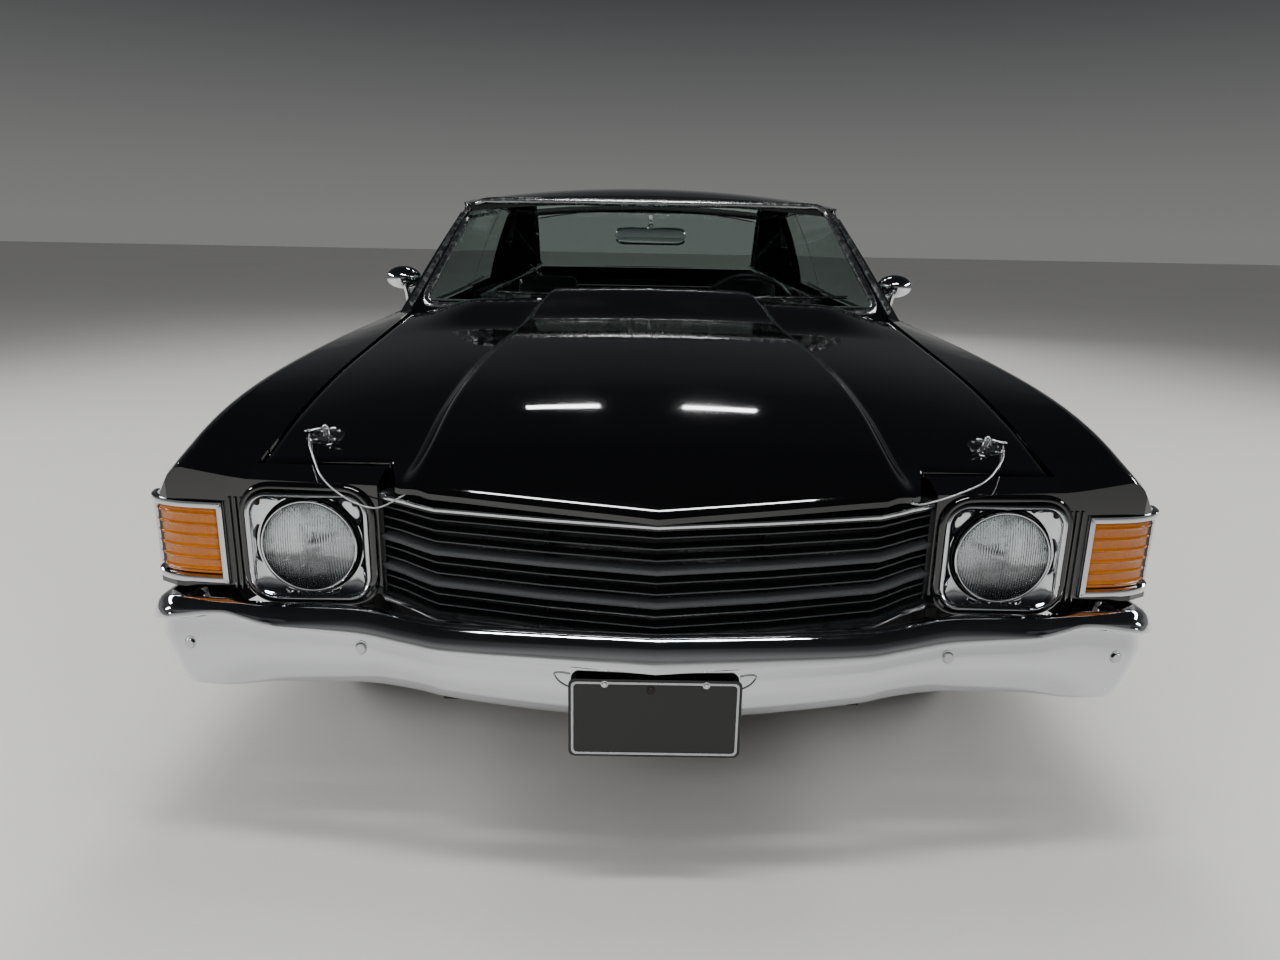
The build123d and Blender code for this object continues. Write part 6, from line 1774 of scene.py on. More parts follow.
def makeSideMouldings():
    # bright wheel-opening lips and the sill moulding
    m = mouldings

    def skinOnly(hit):
        return abs(hit.x) > m["inward"]

    for side, label in ((1, "Left"), (-1, "Right")):
        for name, ((cy, cz), radius) in m["arches"].items():
            arc = [(cy + radius * math.cos(a), cz + radius * math.sin(a))
                   for a in steps(math.radians(-8), math.radians(188), 90)]
            rays = [((side * 1500, y, z), (-side, 0, 0)) for y, z in arc if z >= m["archFoot"]]
            path, ups = laid(sideTree, rays, 0.0, skinOnly)
            strip(name + label, path, ups, trimProfile(*trimSection["arch"]), stainless, "body", False, 35.0)
        y0, y1, z = m["sill"]
        path, ups = laid(sideTree, [((side * 1500, y, z), (-side, 0, 0)) for y in steps(y0, y1, 60)], 0.0, skinOnly)
        strip("sillMoulding" + label, path, ups, trimProfile(*trimSection["sill"]), stainless, "body", False, 35.0)


makeSideMouldings()


doorMirror = {"centre": (884.0, 1000.0), "front": -650.0, "rear": -572.0, "halfWidth": 61, "halfHeight": 40}


def makeMirrors():
    # bullet mirrors: chrome case, glass with a thin rim at its rear, stalk and foot
    m = doorMirror
    front, rear, cz = m["front"], m["rear"], m["centre"][1]
    for side, label in ((1, "left"), (-1, "right")):
        body = "door_" + label
        cx = m["centre"][0] * side

        def oval(halfX, halfZ, y):
            return [(cx + halfX * math.cos(a), y, cz + halfZ * math.sin(a)) for a in circleSteps(48)]

        rows = []
        for share in (0.0, 0.03, 0.08, 0.16, 0.27, 0.4, 0.55, 0.7, 0.84, 0.94, 1.0):
            grow = math.sin(math.acos(1 - min(share / 0.9, 1.0))) if share < 0.9 else 1.0
            rows.append(oval(max(m["halfWidth"] * grow, 0.4), max(m["halfHeight"] * grow, 0.3),
                             front + (rear - front) * share))
        rows += [oval(58.5, 37.5, rear + 0.5), oval(57, 36, rear - 3)]
        glass = [oval(r * 56.8, r * 35.8, rear - 2.6 + 0.6 * (1 - r * r)) for r in (1.0, 0.7, 0.4, 0.1)]
        glass.insert(0, [(x, y - 1.5, z) for x, y, z in glass[0]])
        foot, _ = castAt(surfaceOf(body), (side * 864, -600, 1200), (0, 0, -1))
        if foot is None:
            foot = Vector((side * 864, -600, 905))
        low = foot - Vector((0, 0, 3))
        parts = [loftRows("mirrorCase", rows, chrome, body, 35.0),
                 loftRows("mirrorFace", glass, mirrorGlass, body, 35.0),
                 tube("mirrorStalk", [low, foot + Vector((0, -2, 22)), (side * 866, -606, 950),
                                      (side * 872, -612, 975)], 10.5, chrome, body, 20),
                 lathe("mirrorFoot", low, (0, 0, 1), [
                     (0, 0), (0, 24), (3, 24), (6, 21), (9, 16), (15, 12.5), (20, 11), (20, 0)], chrome, body, 40,
                     30.0)]
        whole = joined("doorMirror_" + label, parts, body)
        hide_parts("door_mirror_" + label)


makeMirrors()
print("side fittings made")

# seats: foam under vinyl, inflated as cloth, then pleated and piped
seatSizes = {
    "voxel": 6.0, "rearVoxel": 8.0, "pressure": 4.0, "frames": 20, "cap": 24.0, "pleat": 52.0, "rearPleat": 55.0,
    "pleatDepth": 5.0, "frontMiddle": 440.0, "frontHalf": 238.0,
    # foot and top of each backrest's lean
    "frontBack": ((0, 26, 500), (0, 158, 872)), "rearBack": ((0, 905, 470), (0, 1032, 842)),
}


def foamShape(name, low, high, corner, move):
    piece = block(name, low, high, vinyl, "body", corner, 5)
    for v in piece.data.vertices:
        v.co = Vector(move(*(v.co / mm))) * mm
    return piece


def inflated(piece, voxel):
    # an even skin, blown up a little by the cloth solver and held within a cap
    remesh = piece.modifiers.new("skin", "REMESH")
    remesh.mode, remesh.voxel_size, remesh.use_smooth_shade = "VOXEL", voxel * mm, True
    bpy.context.view_layer.update()
    solidified(piece)
    start = [v.co.copy() for v in piece.data.vertices]
    scene = bpy.context.scene
    cloth = piece.modifiers.new("foam", "CLOTH")
    settings = cloth.settings
    settings.use_pressure, settings.uniform_pressure_force = True, seatSizes["pressure"]
    settings.effector_weights.gravity = 0.0
    settings.quality, settings.mass = 4, 0.3
    settings.tension_stiffness = settings.compression_stiffness = 12.0
    settings.bending_stiffness = 1.5
    cloth.point_cache.frame_start, cloth.point_cache.frame_end = 1, seatSizes["frames"]
    for frameNumber in range(1, seatSizes["frames"] + 1):
        scene.frame_set(frameNumber)
    solidified(piece)
    scene.frame_set(1)
    cap = seatSizes["cap"] * mm
    for v, home in zip(piece.data.vertices, start):
        away = v.co - home
        if away.length > cap:
            v.co = home + away * (cap / away.length)
    return piece


def pleated(piece, inside, depthAt):
    # channels are pressed in along the normals where the cover is sewn down
    smoothed(piece, 1)
    mesh = piece.data
    moves = []
    for v in mesh.vertices:
        p = v.co / mm
        moves.append(v.normal * (-(inside(p, v.normal) * depthAt(p)) * mm))
    for v, move in zip(mesh.vertices, moves):
        v.co += move
    mesh.update()
    mesh.shade_smooth()
    return piece


def channel(distance):
    # how deep the cover lies at a distance from a seam
    return seatSizes["pleatDepth"] * math.exp(-(distance / 5.5) ** 2)


def toSeam(value, spacing):
    return abs((value / spacing + 0.5) % 1.0 - 0.5) * spacing


def within(value, limit, fade):
    # 1 nearer the middle than the limit, fading to 0 over a short way
    return 1 - soft(abs(value), limit, limit + fade)


def lean(ends):
    # a backrest's foot, the way up it and the way through it from front to back
    foot, top = Vector(ends[0]), Vector(ends[1])
    along = (top - foot).normalized()
    return foot, along, Vector((0, along.z, -along.y))


def makeFrontSeat():
    s = seatSizes
    middle, half = s["frontMiddle"], s["frontHalf"]
    foot, along, through = lean(s["frontBack"])

    def cushionMove(x, y, z):
        # crowned, with side bolsters and a rolled front
        a = abs(x - middle) / half
        lift = 16.0 * soft(a, 0.55, 0.85) * soft(z, 380, 440) * (1 - soft(a, 0.93, 1.0))
        front = 8.0 * soft(-y, 300, 390)
        slope = (-60 - y) * 0.055 if z > 400 else 0.0
        return (x, y, z + lift + slope - front)

    def backMove(x, y, z):
        # the block stands with y through it and z up, then it is leaned
        a = abs(x - middle) / half
        bolster = -20.0 * soft(a, 0.55, 0.85) * (1 - soft(y, 20, 60)) * (1 - soft(a, 0.94, 1.0))
        narrow = 1 - 0.16 * soft(z, 230, 400)
        p = foot + along * z + through * (y + bolster)
        return (middle + (x - middle) * narrow, p.y, p.z)

    def cushionSeams(p):
        x = p.x - middle
        pleats = channel(toSeam(x, s["pleat"])) * within(x, 150, 8) * soft(p.y, -352, -340) * (1 - soft(p.y, -40, -20))
        return max(pleats, channel(abs(abs(x) - 160)), channel(abs(p.y + 350)) * within(x, 158, 8))

    def backSeams(p):
        x, up = p.x - middle, (p - foot).dot(along)
        pleats = channel(toSeam(x, s["pleat"])) * within(x, 150, 8) * soft(up, 40, 52) * (1 - soft(up, 296, 308))
        return max(pleats, channel(abs(abs(x) - 160)) * (1 - soft(up, 300, 312)),
                   channel(abs(up - 304)) * within(x, 158, 8))

    cushion = foamShape("frontCushion", (middle - half + 12, -386, 325), (middle + half - 12, 40, 458), 34, cushionMove)
    inflated(cushion, s["voxel"])
    pleated(cushion, lambda p, n: soft(n.z, 0.5, 0.85) * soft(p.z, 380, 430), cushionSeams)
    back = foamShape("frontBack", (middle - half + 12, 12, -20), (middle + half - 12, 88, 388), 32, backMove)
    inflated(back, s["voxel"])
    pleated(back, lambda p, n: soft(-n.y, 0.4, 0.8), backSeams)
    head = foamShape("headRest", (middle - 128, 166, 884), (middle + 128, 232, 972), 26,
                     lambda x, y, z: (x, y + (z - 884) * 0.12 - 6 * (abs(x - middle) / 128) ** 2, z))
    inflated(head, s["voxel"])
    smoothed(head, 1)
    parts = []
    for x in (middle - 52, middle + 52):
        parts.append(tube("headPost", [(x, 165, 858), (x, 188, 880), (x, 198, 905)], 5.5, chrome, "body", 16))
    # hard shell and runners under the cushion
    parts.append(block("seatBase", (middle - half + 26, -372, 318), (middle + half - 26, 52, 372), plastic, "body", 8))
    for x in (middle - 170, middle + 170):
        parts.append(block("seatRunner", (x - 14, -330, 302.5), (x + 14, 90, 322), castIron, "body", 2))
    for x, profile in ((middle - half + 6, [(0, 0), (0, 30), (6, 30), (8, 26), (8, 0)]),
                       (middle + half - 14, [(0, 0), (0, 26), (2, 30), (8, 30), (8, 0)])):
        parts.append(lathe("seatHinge", (x, 34, 478), (1, 0, 0), profile, chrome, "body", 40))
    fittings = joined("seatFittingsLeft", parts, "body")
    # the other seat is its mirror image
    for piece, name in ((cushion, "frontCushionRight"), (back, "frontBackRight"), (head, "headRestRight"),
                        (fittings, "seatFittingsRight")):
        mesh = piece.data.copy()
        mesh.transform(Matrix.Scale(-1, 4, (1, 0, 0)))
        mesh.flip_normals()
        twin = linked(name, mesh)
        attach(twin, "body")
    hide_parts("front_seats")


def makeRearSeat():
    s = seatSizes
    foot, along, through = lean(s["rearBack"])

    def cushionMove(x, y, z):
        # the cushion spans the tunnel, so its foam is thick at the sides only
        z = z if z > 400 else z + 66 * (1 - soft(abs(x), 150, 200))
        dish = -12.0 * (1 - soft(abs(abs(x) - 330), 90, 220)) * soft(z, 380, 440)
        return (x, y, z + dish + 10 * soft(-y, -700, -590) - (y - 600) * 0.09 * soft(z, 380, 440))

    def backMove(x, y, z):
        bulge = -10.0 * (1 - soft(abs(abs(x) - 320), 120, 260)) * (1 - soft(y, 20, 50))
        p = foot + along * z + through * (y + bulge)
        return (x, p.y, p.z)

    def cushionSeams(p):
        pleats = channel(toSeam(p.x, s["rearPleat"])) * soft(p.y, 622, 634) * (1 - soft(p.y, 880, 900))
        return max(pleats * within(p.x, 508, 8), channel(abs(p.y - 626)) * within(p.x, 514, 8),
                   channel(abs(abs(p.x) - 516)))

    def backSeams(p):
        up = (p - foot).dot(along)
        pleats = channel(toSeam(p.x, s["rearPleat"])) * soft(up, 30, 44) * (1 - soft(up, 296, 308))
        return max(pleats * within(p.x, 508, 8), channel(abs(up - 303)) * within(p.x, 514, 8),
                   channel(abs(abs(p.x) - 516)) * (1 - soft(up, 303, 310)))

    cushion = foamShape("rearCushion", (-572, 574, 372), (572, 962, 462), 30, cushionMove)
    inflated(cushion, s["rearVoxel"])
    pleated(cushion, lambda p, n: soft(n.z, 0.5, 0.85), cushionSeams)
    back = foamShape("rearBack", (-572, 12, 0), (572, 74, 374), 28, backMove)
    inflated(back, s["rearVoxel"])
    pleated(back, lambda p, n: soft(-n.y, 0.4, 0.8), backSeams)
    parts = [block("seatBase", (x - 190, 590, 303), (x + 190, 900, 384), plastic, "body", 6) for x in (370, -370)]
    joined("rearSeatBase", parts, "body")
    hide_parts("rear_seat")


makeFrontSeat()
makeRearSeat()
print("seats made")

# dashboard: padded top, a driver's cluster with two dials, radio, vents and glove box
dash = {"halfWidth": 698.0, "face": ((-640, 800), (-700, 690)), "dials": ((300, 52), (440, 52)), "marks": 11}
steering = {"centre": (370.0, -430.0, 852.0), "rake": 21.8, "rimRadius": 185.0, "grip": 11.4, "gripWave": 0.9}


def columnLine():
    # the wheel's centre, the way up the column and the two ways across the wheel
    rake = math.radians(steering["rake"])
    line, side = Vector((0, math.cos(rake), math.sin(rake))), Vector((1, 0, 0))
    up = side.cross(line)
    return Vector(steering["centre"]), line, side, -up if up.z < 0 else up


def dashFace(share, x=0.0):
    # a point on the sloping face, from its upper edge (0) down to its lower one (1), and its outward normal
    (y0, z0), (y1, z1) = dash["face"]
    a = Vector((x, y0 + (y1 - y0) * share, z0 + (z1 - z0) * share))
    n = Vector((0, -(z1 - z0), (y1 - y0))).normalized()
    return a, n


def makeDash():
    d = dash
    outline = [(-984, 642), (-984, 872), (-972, 884), (-940, 894), (-900, 901), (-840, 903), (-780, 903), (-740, 900),
               (-704, 889), (-672, 872), (-654, 854), (-645, 832), (-645, 806), (-652, 788), (-700, 694), (-716, 684),
               (-760, 670), (-860, 642)]
    rows = []
    for x in steps(-d["halfWidth"], d["halfWidth"], 57):
        end = 1 - max(0.0, (abs(x) - 670) / 28) ** 2 * 0.06
        cy, cz = -820, 770
        rows.append([(x, cy + (y - cy) * end, cz + (z - cz) * end) for y, z in outline])
    parts = [loftRows("dashShell", rows, plastic, "body", 32.0)]
    tilt = dashFace(0.5)[1]

    def onFace(x, share, out=0.0):
        p, n = dashFace(share, x)
        return p + n * out

    def panel(name, x0, x1, s0, s1, out, depth, material, edge=2.0):
        points = [onFace(x, s, o) for x in (x0, x1) for s in (s0, s1) for o in (out - depth, out)]
        return rounded(meshObject(name, points, boxFaces, material, "body"), edge, 2)

    def knob(name, place, profile, material, sides, axis=tilt):
        return lathe(name, place, axis, profile, material, "body", sides, 30.0)

    def flatBar(name, corners, thick, material):
        # four corners raised by a thickness
        return meshObject(name, corners + [c + thick for c in corners], [
            (0, 1, 2, 3), (7, 6, 5, 4), (0, 1, 5, 4), (1, 2, 6, 5), (2, 3, 7, 6), (3, 0, 4, 7)], material, "body")

    parts.append(panel("clusterBezel", 215, 545, 0.04, 0.90, 7, 9, satinBlack, 3.0))
    parts.append(panel("radioPanel", -90, 190, 0.10, 0.86, 6, 8, satinBlack, 3.0))
    parts.append(panel("radioFace", -40, 140, 0.48, 0.80, 9, 4, stainless, 1.0))
    parts.append(panel("gloveDoor", -560, -130, 0.16, 0.88, 6, 8, plastic, 4.0))
    parts.append(knob("gloveLatch", onFace(-345, 0.30, 6), [(0, 12), (4, 12), (6, 10), (6.5, 0)], chrome, 32))
    for x, share in ((-62, 0.64), (20, 0.30), (80, 0.30), (160, 0.64)):
        parts.append(knob("radioKnob", onFace(x, share, 7), [(0, 11), (12, 10), (14, 8.5), (14.4, 0)], chrome, 28))
    for x in (-640, -600, 600, 640):
        parts.append(panel("ventSlat", x - 14, x + 14, 0.14, 0.5, 6, 6, satinBlack, 1.5))
    # dials: dark face, white marks, red pointer, bright ring
    side = Vector((1, 0, 0))
    up = tilt.cross(side)
    up = up if up.z > 0 else -up

    def clockwise(degrees):
        a = math.radians(degrees)
        return side * math.cos(a) + up * math.sin(a)

    for x, radius in d["dials"]:
        centre = onFace(x, 0.42, 7.5)
        parts.append(knob("dialFace", centre, [
            (-2, 0), (-2, radius), (0, radius), (0.4, radius - 1), (0.2, 0)], dialFace, 56))
        parts.append(knob("dialRing", centre, [
            (0, radius), (5, radius), (6, radius + 1.5), (5.4, radius + 3.5), (0, radius + 4), (0, radius)],
            chrome, 56))
        for k in range(d["marks"]):
            out = clockwise(220 - k * 260 / (d["marks"] - 1))
            inner, outer = centre + out * (radius - 13) + tilt * 0.5, centre + out * (radius - 4) + tilt * 0.5
            across = tilt.cross(out) * 1.1
            parts.append(flatBar("dialMark", [inner - across, inner + across, outer + across, outer - across],
                                 tilt * 0.5, dialWhite))
        out = clockwise(205)
        across = tilt.cross(out) * 1.2
        base, tip = centre - out * 8 + tilt * 1.6, centre + out * (radius - 9) + tilt * 1.6
        parts.append(flatBar("pointer", [base - across * 1.6, base + across * 1.6, tip + across * 0.3,
                                         tip - across * 0.3], tilt * 0.8, red))
        parts.append(knob("pointerCap", centre + tilt * 1.2, [(0, 5), (2, 4.5), (2.6, 0)], satinBlack, 20))
    # steering column with its stalk and shroud, in line with the wheel
    centre, line, _, _ = columnLine()
    parts.append(knob("columnShroud", centre, [
        (-262, 0), (-262, 36), (-200, 37), (-120, 34), (-66, 31), (-52, 29), (-47, 26), (-47, 9), (3.5, 9), (3.5, 0)],
        plastic, 48, line))
    stalk = centre + line * -78
    parts.append(tube("turnStalk", [stalk + Vector((20, 0, 0)), stalk + Vector((70, 4, 6)),
                                    stalk + Vector((128, 14, 12))], 4.5, chrome, "body", 16))
    parts.append(knob("stalkKnob", stalk + Vector((126, 14, 12)), [(0, 0), (0, 6), (10, 7.5), (16, 6), (18, 0)],
                      satinBlack, 24, (1, 0.1, 0.06)))
    whole = joined("dashBoard", parts, "body")
    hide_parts("dashboard")


makeDash()


def makeSteeringWheel():
    s = steering
    body = "steering_wheel"
    centre, line, side, up = columnLine()
    parts = []
    # rim with finger grips on its inner side
    rows = []
    for a in circleSteps(180):
        out = side * math.cos(a) + up * math.sin(a)
        row = []
        for b in circleSteps(20):
            r = s["grip"] + s["gripWave"] * math.cos(a * 45) * max(0.0, -math.cos(b))
            row.append(centre + out * (s["rimRadius"] + r * math.cos(b)) + line * (r * 0.92 * math.sin(b)))
        rows.append(row)
    parts.append(loopRows("wheelRim", rows, plastic, body, 60.0))
    # flat spokes with bright rivets, curving down to the hub
    for angle in (0, 180, 270):
        a = math.radians(angle)
        out = side * math.cos(a) + up * math.sin(a)
        across = line.cross(out)

        def onSpoke(share, lift=0.0):
            return centre + out * (30 + 148 * share) + line * (-10 + 8 * soft(share, 0.2, 1.0) + lift)

        spoke = []
        for share in steps(0, 1, 18):
            half = 17 - 3 * math.sin(share * math.pi) + 6 * soft(share, 0.8, 1.0)
            c = onSpoke(share)
            spoke.append([c + across * u + line * v for u, v in (
                (-half, -1.8), (1.2 - half, 1.8), (half - 1.2, 1.8), (half, -1.8), (half - 2, -2.6), (2 - half, -2.6))])
        parts.append(loftRows("spoke", spoke, satinBlack, body, 30.0))
        for share in (0.30, 0.52, 0.74):
            parts.append(lathe("spokeRivet", onSpoke(share, 1.9), line, [
                (0, 0), (0, 5.5), (1.4, 5.0), (1.9, 3.0), (2.0, 0)], chrome, body, 24, 30.0))
    parts.append(lathe("wheelHub", centre, line, [
        (-38, 0), (-38, 30), (-30, 35), (-12, 36), (0, 35.5), (8, 33), (11, 29), (12, 22), (14, 20), (15, 0)],
        satinBlack, body, 56, 30.0))
    parts.append(lathe("hubRing", centre, line, [
        (8, 33.5), (10, 34), (11.6, 31.5), (11.6, 28.5), (9, 28.5), (8, 33.5)], chrome, body, 56, 30.0))
    whole = joined("steeringWheelPiece", parts, body)
    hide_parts("steering_wheel")


makeSteeringWheel()


insideMirror = {"centre": (-590.0, 1158.0), "halfWidth": 125, "halfHeight": 30}


def makeInsideMirror():
    cy, cz = insideMirror["centre"]
    halfX, halfZ = insideMirror["halfWidth"], insideMirror["halfHeight"]

    def ring(insetX, insetZ, corner, y):
        return [(x, cy + y, cz + z) for x, z in squareRing(halfX - insetX, halfZ - insetZ, corner, 72)]

    rows = [ring(inset, inset * 0.8, max(24 - inset, 8), y) for y, inset in (
        (-11, 9), (-10.4, 5), (-8, 2), (-3, 0), (6, 0), (9.6, 1.2), (11, 3), (11, 6))]
    rows.append(ring(7.2, 6.2, 17, 8.6))
    glass = [[(x, cy + 8.8, cz + z) for x, z in squareRing(117.0 * s, 23.4 * s, 16 * s, 72)]
             for s in (1.0, 0.66, 0.33, 0.05)]
    parts = [loftRows("mirrorBody", rows, chrome, "body", 32.0),
             loftRows("mirrorPane", glass, mirrorGlass, "body", 32.0),
             tube("mirrorArm", [(0, -594, 1180), (0, -596, 1198), (0, -603, 1216), (0, -604, 1231)], 6.0, chrome,
                  "body", 20),
             lathe("mirrorJoint", (0, -596, 1184), (0, 0, 1), [(0, 0), (0, 11), (8, 11.5), (14, 8), (16, 0)], chrome,
                   "body", 32, 30.0)]
    whole = joined("insideMirror", parts, "body")
    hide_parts("inside_mirror")


makeInsideMirror()
print("dashboard, wheel and inside mirror made")

# cowl: louvred air intake behind the bonnet, and two wipers
cowl = {"louvres": 34, "length": 44, "width": 7.0, "height": 4, "wipers": ((-560, 30), (40, 640))}


def makeWipers():
    tree = surfaceOf("windscreen", "cabin_sides", "front_fenders")
    for k, (root, tip) in enumerate(cowl["wipers"]):
        # blade lies along the foot of the screen
        blade, ups = laid(tree, [((x, -1500, 970 + 8 * abs(x) / 700), (0, 1, 0)) for x in steps(root + 60, tip, 30)],
                          5.5)
        edge = [p - n * 4 for p, n in zip(blade, ups)]
        pivot = Vector((root, -1036, 910))
        middle, normal = blade[len(blade) // 2], ups[len(ups) // 2]
        parts = [strip("wiperRubber", edge, ups, [(-2, -1.5), (-2, 2), (2, 2), (2, -1.5)], rubber, "body", False, 35.0),
                 strip("wiperBlade", blade, ups, [(-3.6, 0), (-2.4, 4.0), (2.4, 4.0), (3.6, 0), (2, -1.5), (-2, -1.5)],
                       stainless, "body", False, 35.0),
                 tube("wiperArm", [pivot + Vector((0, 0, 8)), pivot.lerp(middle, 0.35) + Vector((0, 0, 7)),
                                   middle + normal * 4], 3.2, stainless, "body", 12),
                 lathe("wiperPivot", pivot - Vector((0, 0, 12)), (0, -0.2, 1), [
                     (0, 0), (0, 13), (14, 12), (20, 9), (23, 0)], stainless, "body", 28, 30.0)]
        joined(f"wiper{k + 1}", parts, "body")


def makeLouvreTree():
    # one raised louvre on each point
    tree, source = startTree("cowlLouvres", {"Length": 0.044, "Width": 0.007, "Height": 0.004})
    size = source.outputs
    extent = addNode(tree, "ShaderNodeCombineXYZ", None, {"X": size["Width"], "Y": size["Length"], "Z": size["Height"]})
    box = addNode(tree, "GeometryNodeMeshCube", None, {"Size": extent.outputs[0], "Vertices X": 3, "Vertices Y": 6,
                                                       "Vertices Z": 2})
    soften = addNode(tree, "GeometryNodeSubdivisionSurface", None, {"Mesh": box.outputs[0], "Level": 2})
    facing = addNode(tree, "GeometryNodeInputNamedAttribute", {"data_type": "FLOAT_VECTOR"}, {"Name": "facing"})
    turn = addNode(tree, "FunctionNodeAlignRotationToVector", {"axis": "Z"}, {"Vector": facing.outputs[0]})
    placed = addNode(tree, "GeometryNodeInstanceOnPoints", None, {
        "Points": size["Geometry"], "Instance": soften.outputs[0], "Rotation": turn.outputs[0]})
    return endTree(tree, source, placed.outputs[0])


def makeCowl():
    c = cowl
    tree = surfaceOf("cabin_sides", "front_fenders", "deck_panels", "windscreen")
    rays = [((x, -1046 + 26 * (abs(x) / 700) ** 2, 1300), (0, 0, -1)) for x in steps(-600, 600, c["louvres"])]
    points, normals = laid(tree, rays, 0.6, lambda hit: 860 < hit.z < 960)
    runTree("cowlLouvres", makeLouvreTree(), {"Length": c["length"] * mm, "Width": c["width"] * mm,
                                              "Height": c["height"] * mm}, points, normals, satinBlack, "body", 40.0)


makeCowl()
makeWipers()


# belt mouldings under the side windows, a little inside the body's widest line at each place along it
bodyCrown = ((-1200, 897), (-870, 889), (0, 880), (400, 880), (900, 880))
beltRuns = {"beltDoor": (-838, 372), "beltQuarter": (410, 880)}


def makeBeltTrim():
    for side, label in ((1, "left"), (-1, "right")):
        tree = surfaceOf("door_" + label, "quarter_panels", "front_fenders")
        for name, (y0, y1) in beltRuns.items():
            rays = [((side * (hermite(bodyCrown, y)[0] - 38), y, 1300), (0, 0, -1)) for y in steps(y0, y1, 40)]
            path, ups = laid(tree, rays, 0.0, lambda hit: hit.z >= 860)
            strip(name + label.capitalize(), path, ups, trimProfile(*trimSection["belt"]), stainless,
                  "door_" + label if name == "beltDoor" else "body", False, 35.0)


makeBeltTrim()
print("cowl, wipers and belt mouldings made")


# cabin: carpet over the floor and tunnel, door trims and console
cabin = {"floorTop": 302.0, "carpet": 9.0}


def makeCarpet():
    c = cabin
    tree = surfaceOf("floor_pan")
    n, m = 60, 80
    rows = []
    for y in steps(-930, 540, n):
        row = []
        for x in steps(-742, 742, m):
            hit, _ = castAt(tree, (x, y, 600), (0, 0, -1))
            row.append(Vector((x, y, hit.z if hit is not None and hit.z > 280 else c["floorTop"])))
        rows.append(row)
    # pile follows the pan, rounded where the pan folds
    for _ in range(2):
        rows = [[Vector((p.x, p.y, max(p.z, sum(rows[min(max(i + a, 0), n - 1)][min(max(j + b, 0), m - 1)].z
                                                for a in (-1, 0, 1) for b in (-1, 0, 1)) / 9)))
                 for j, p in enumerate(r)] for i, r in enumerate(rows)]
    top = [[p + Vector((0, 0, c["carpet"])) for p in r] for r in rows]
    low = [[p + Vector((0, 0, 1.0)) for p in r] for r in rows]
    closedShell("carpet", top, low, carpet, "body", 60.0)


makeCarpet()


def makeDoorTrims():
    for side, label in ((1, "left"), (-1, "right")):
        body = "door_" + label
        tree = surfaceOf(body)
        rows = []
        for z in steps(352, 838, 40):
            row = []
            for y in steps(-822, 352, 70):
                hit, _ = castAt(tree, (side * 500, y, z), (side, 0, 0))
                x = min(abs(hit.x) if hit is not None else 800.0, 806.0)
                puff = 5.0 * (0.5 + 0.5 * math.cos(2 * math.pi * (y + 235) / 74)) ** 0.5 if 470 < z < 700 else 0.0
                row.append(Vector((side * (x - 4 - puff * 0.6), y, z)))
            rows.append(row)
        back = [[Vector((side * (abs(p.x) + 3.2), p.y, p.z)) for p in r] for r in rows]
        parts = [closedShell("trimPanel", rows, back, vinyl, body, 50.0)]
        # arm rest, window winder and inner handle
        near, far = sorted((side * 768.0, side * 798.0))
        parts.append(block("armRest", (near, -330, 560), (far, 60, 606), vinyl, body, 11, 4))
        parts.append(lathe("winderBoss", (side * 798, -500, 560), (-side, 0, 0), [
            (0, 0), (0, 22), (6, 21), (10, 15), (14, 0)], chrome, body, 32, 30.0))
        parts.append(tube("winderArm", [(side * 786, -500, 560), (side * 780, -470, 575), (side * 778, -420, 596)], 5.0,
                          chrome, body, 12))
        parts.append(lathe("winderKnob", (side * 780, -418, 598), (-side, 0, 0), [
            (-2, 0), (-2, 8), (10, 11), (20, 9), (23, 0)], satinBlack, body, 28, 30.0))
        parts.append(tube("innerHandle", [(side * 796, -640, 650), (side * 784, -630, 652), (side * 782, -560, 656)],
                          6.0, chrome, body, 12))
        for z in (480, 706):
            path = [Vector((side * 793.5, y, z)) for y in steps(-815, 345, 30)]
            parts.append(strip("trimBead", path, (-side, 0, 0), trimProfile(7.0, 3.4), stainless, body, False, 35.0))
        joined("doorTrim_" + label, parts, body)


makeDoorTrims()


def makeConsole():
    # shifter and console on the tunnel
    rows = []
    for y, half, top in ((-690, 60, 470), (-640, 84, 505), (-560, 92, 512), (-300, 94, 506), (-40, 94, 500),
                         (60, 90, 496), (100, 70, 486)):
        rows.append([(-half, y, 456), (-half - 2, y, top - 18), (-half + 6, y, top - 4), (-half + 16, y, top),
                     (half - 16, y, top), (half - 6, y, top - 4), (half + 2, y, top - 18), (half, y, 456)])
    parts = [loftRows("consoleShell", rows, plastic, "body", 30.0),
             block("consolePlate", (-66, -560, 509), (66, -300, 515), stainless, "body", 3),
             lathe("shiftBoot", (0, -430, 512), (0, -0.1, 1), [
                 (0, 0), (0, 52), (6, 50), (12, 40), (16, 42), (24, 30), (28, 31), (38, 18), (46, 10), (48, 0)],
                 rubber, "body", 40, 50.0),
             tube("shiftLever", [(0, -430, 540), (0, -436, 600), (0, -420, 668)], 7.0, chrome, "body", 16),
             lathe("shiftKnob", (0, -418, 668), (0, 0.1, 1), [
                 (-4, 0), (-4, 9), (2, 17), (14, 24), (26, 22), (34, 12), (36, 0)], satinBlack, "body", 40, 40.0)]
    joined("console", parts, "body")


makeConsole()
print("cabin trimmed")

# engine under the bonnet: a vee-eight with its air cleaner, covers, belt drive and manifolds
engine = {
    "blockY": (-1780.0, -1200.0), "blockHalf": 150.0, "blockZ": (345.0, 560.0), "headTilt": 45.0,
    "headHalf": (66.0, 52.0), "coverHalf": (50.0, 26.0), "cleanerRadius": 182.0, "cleanerY": -1480.0,
    "distributorY": -1160, "fanBlades": 5,
}


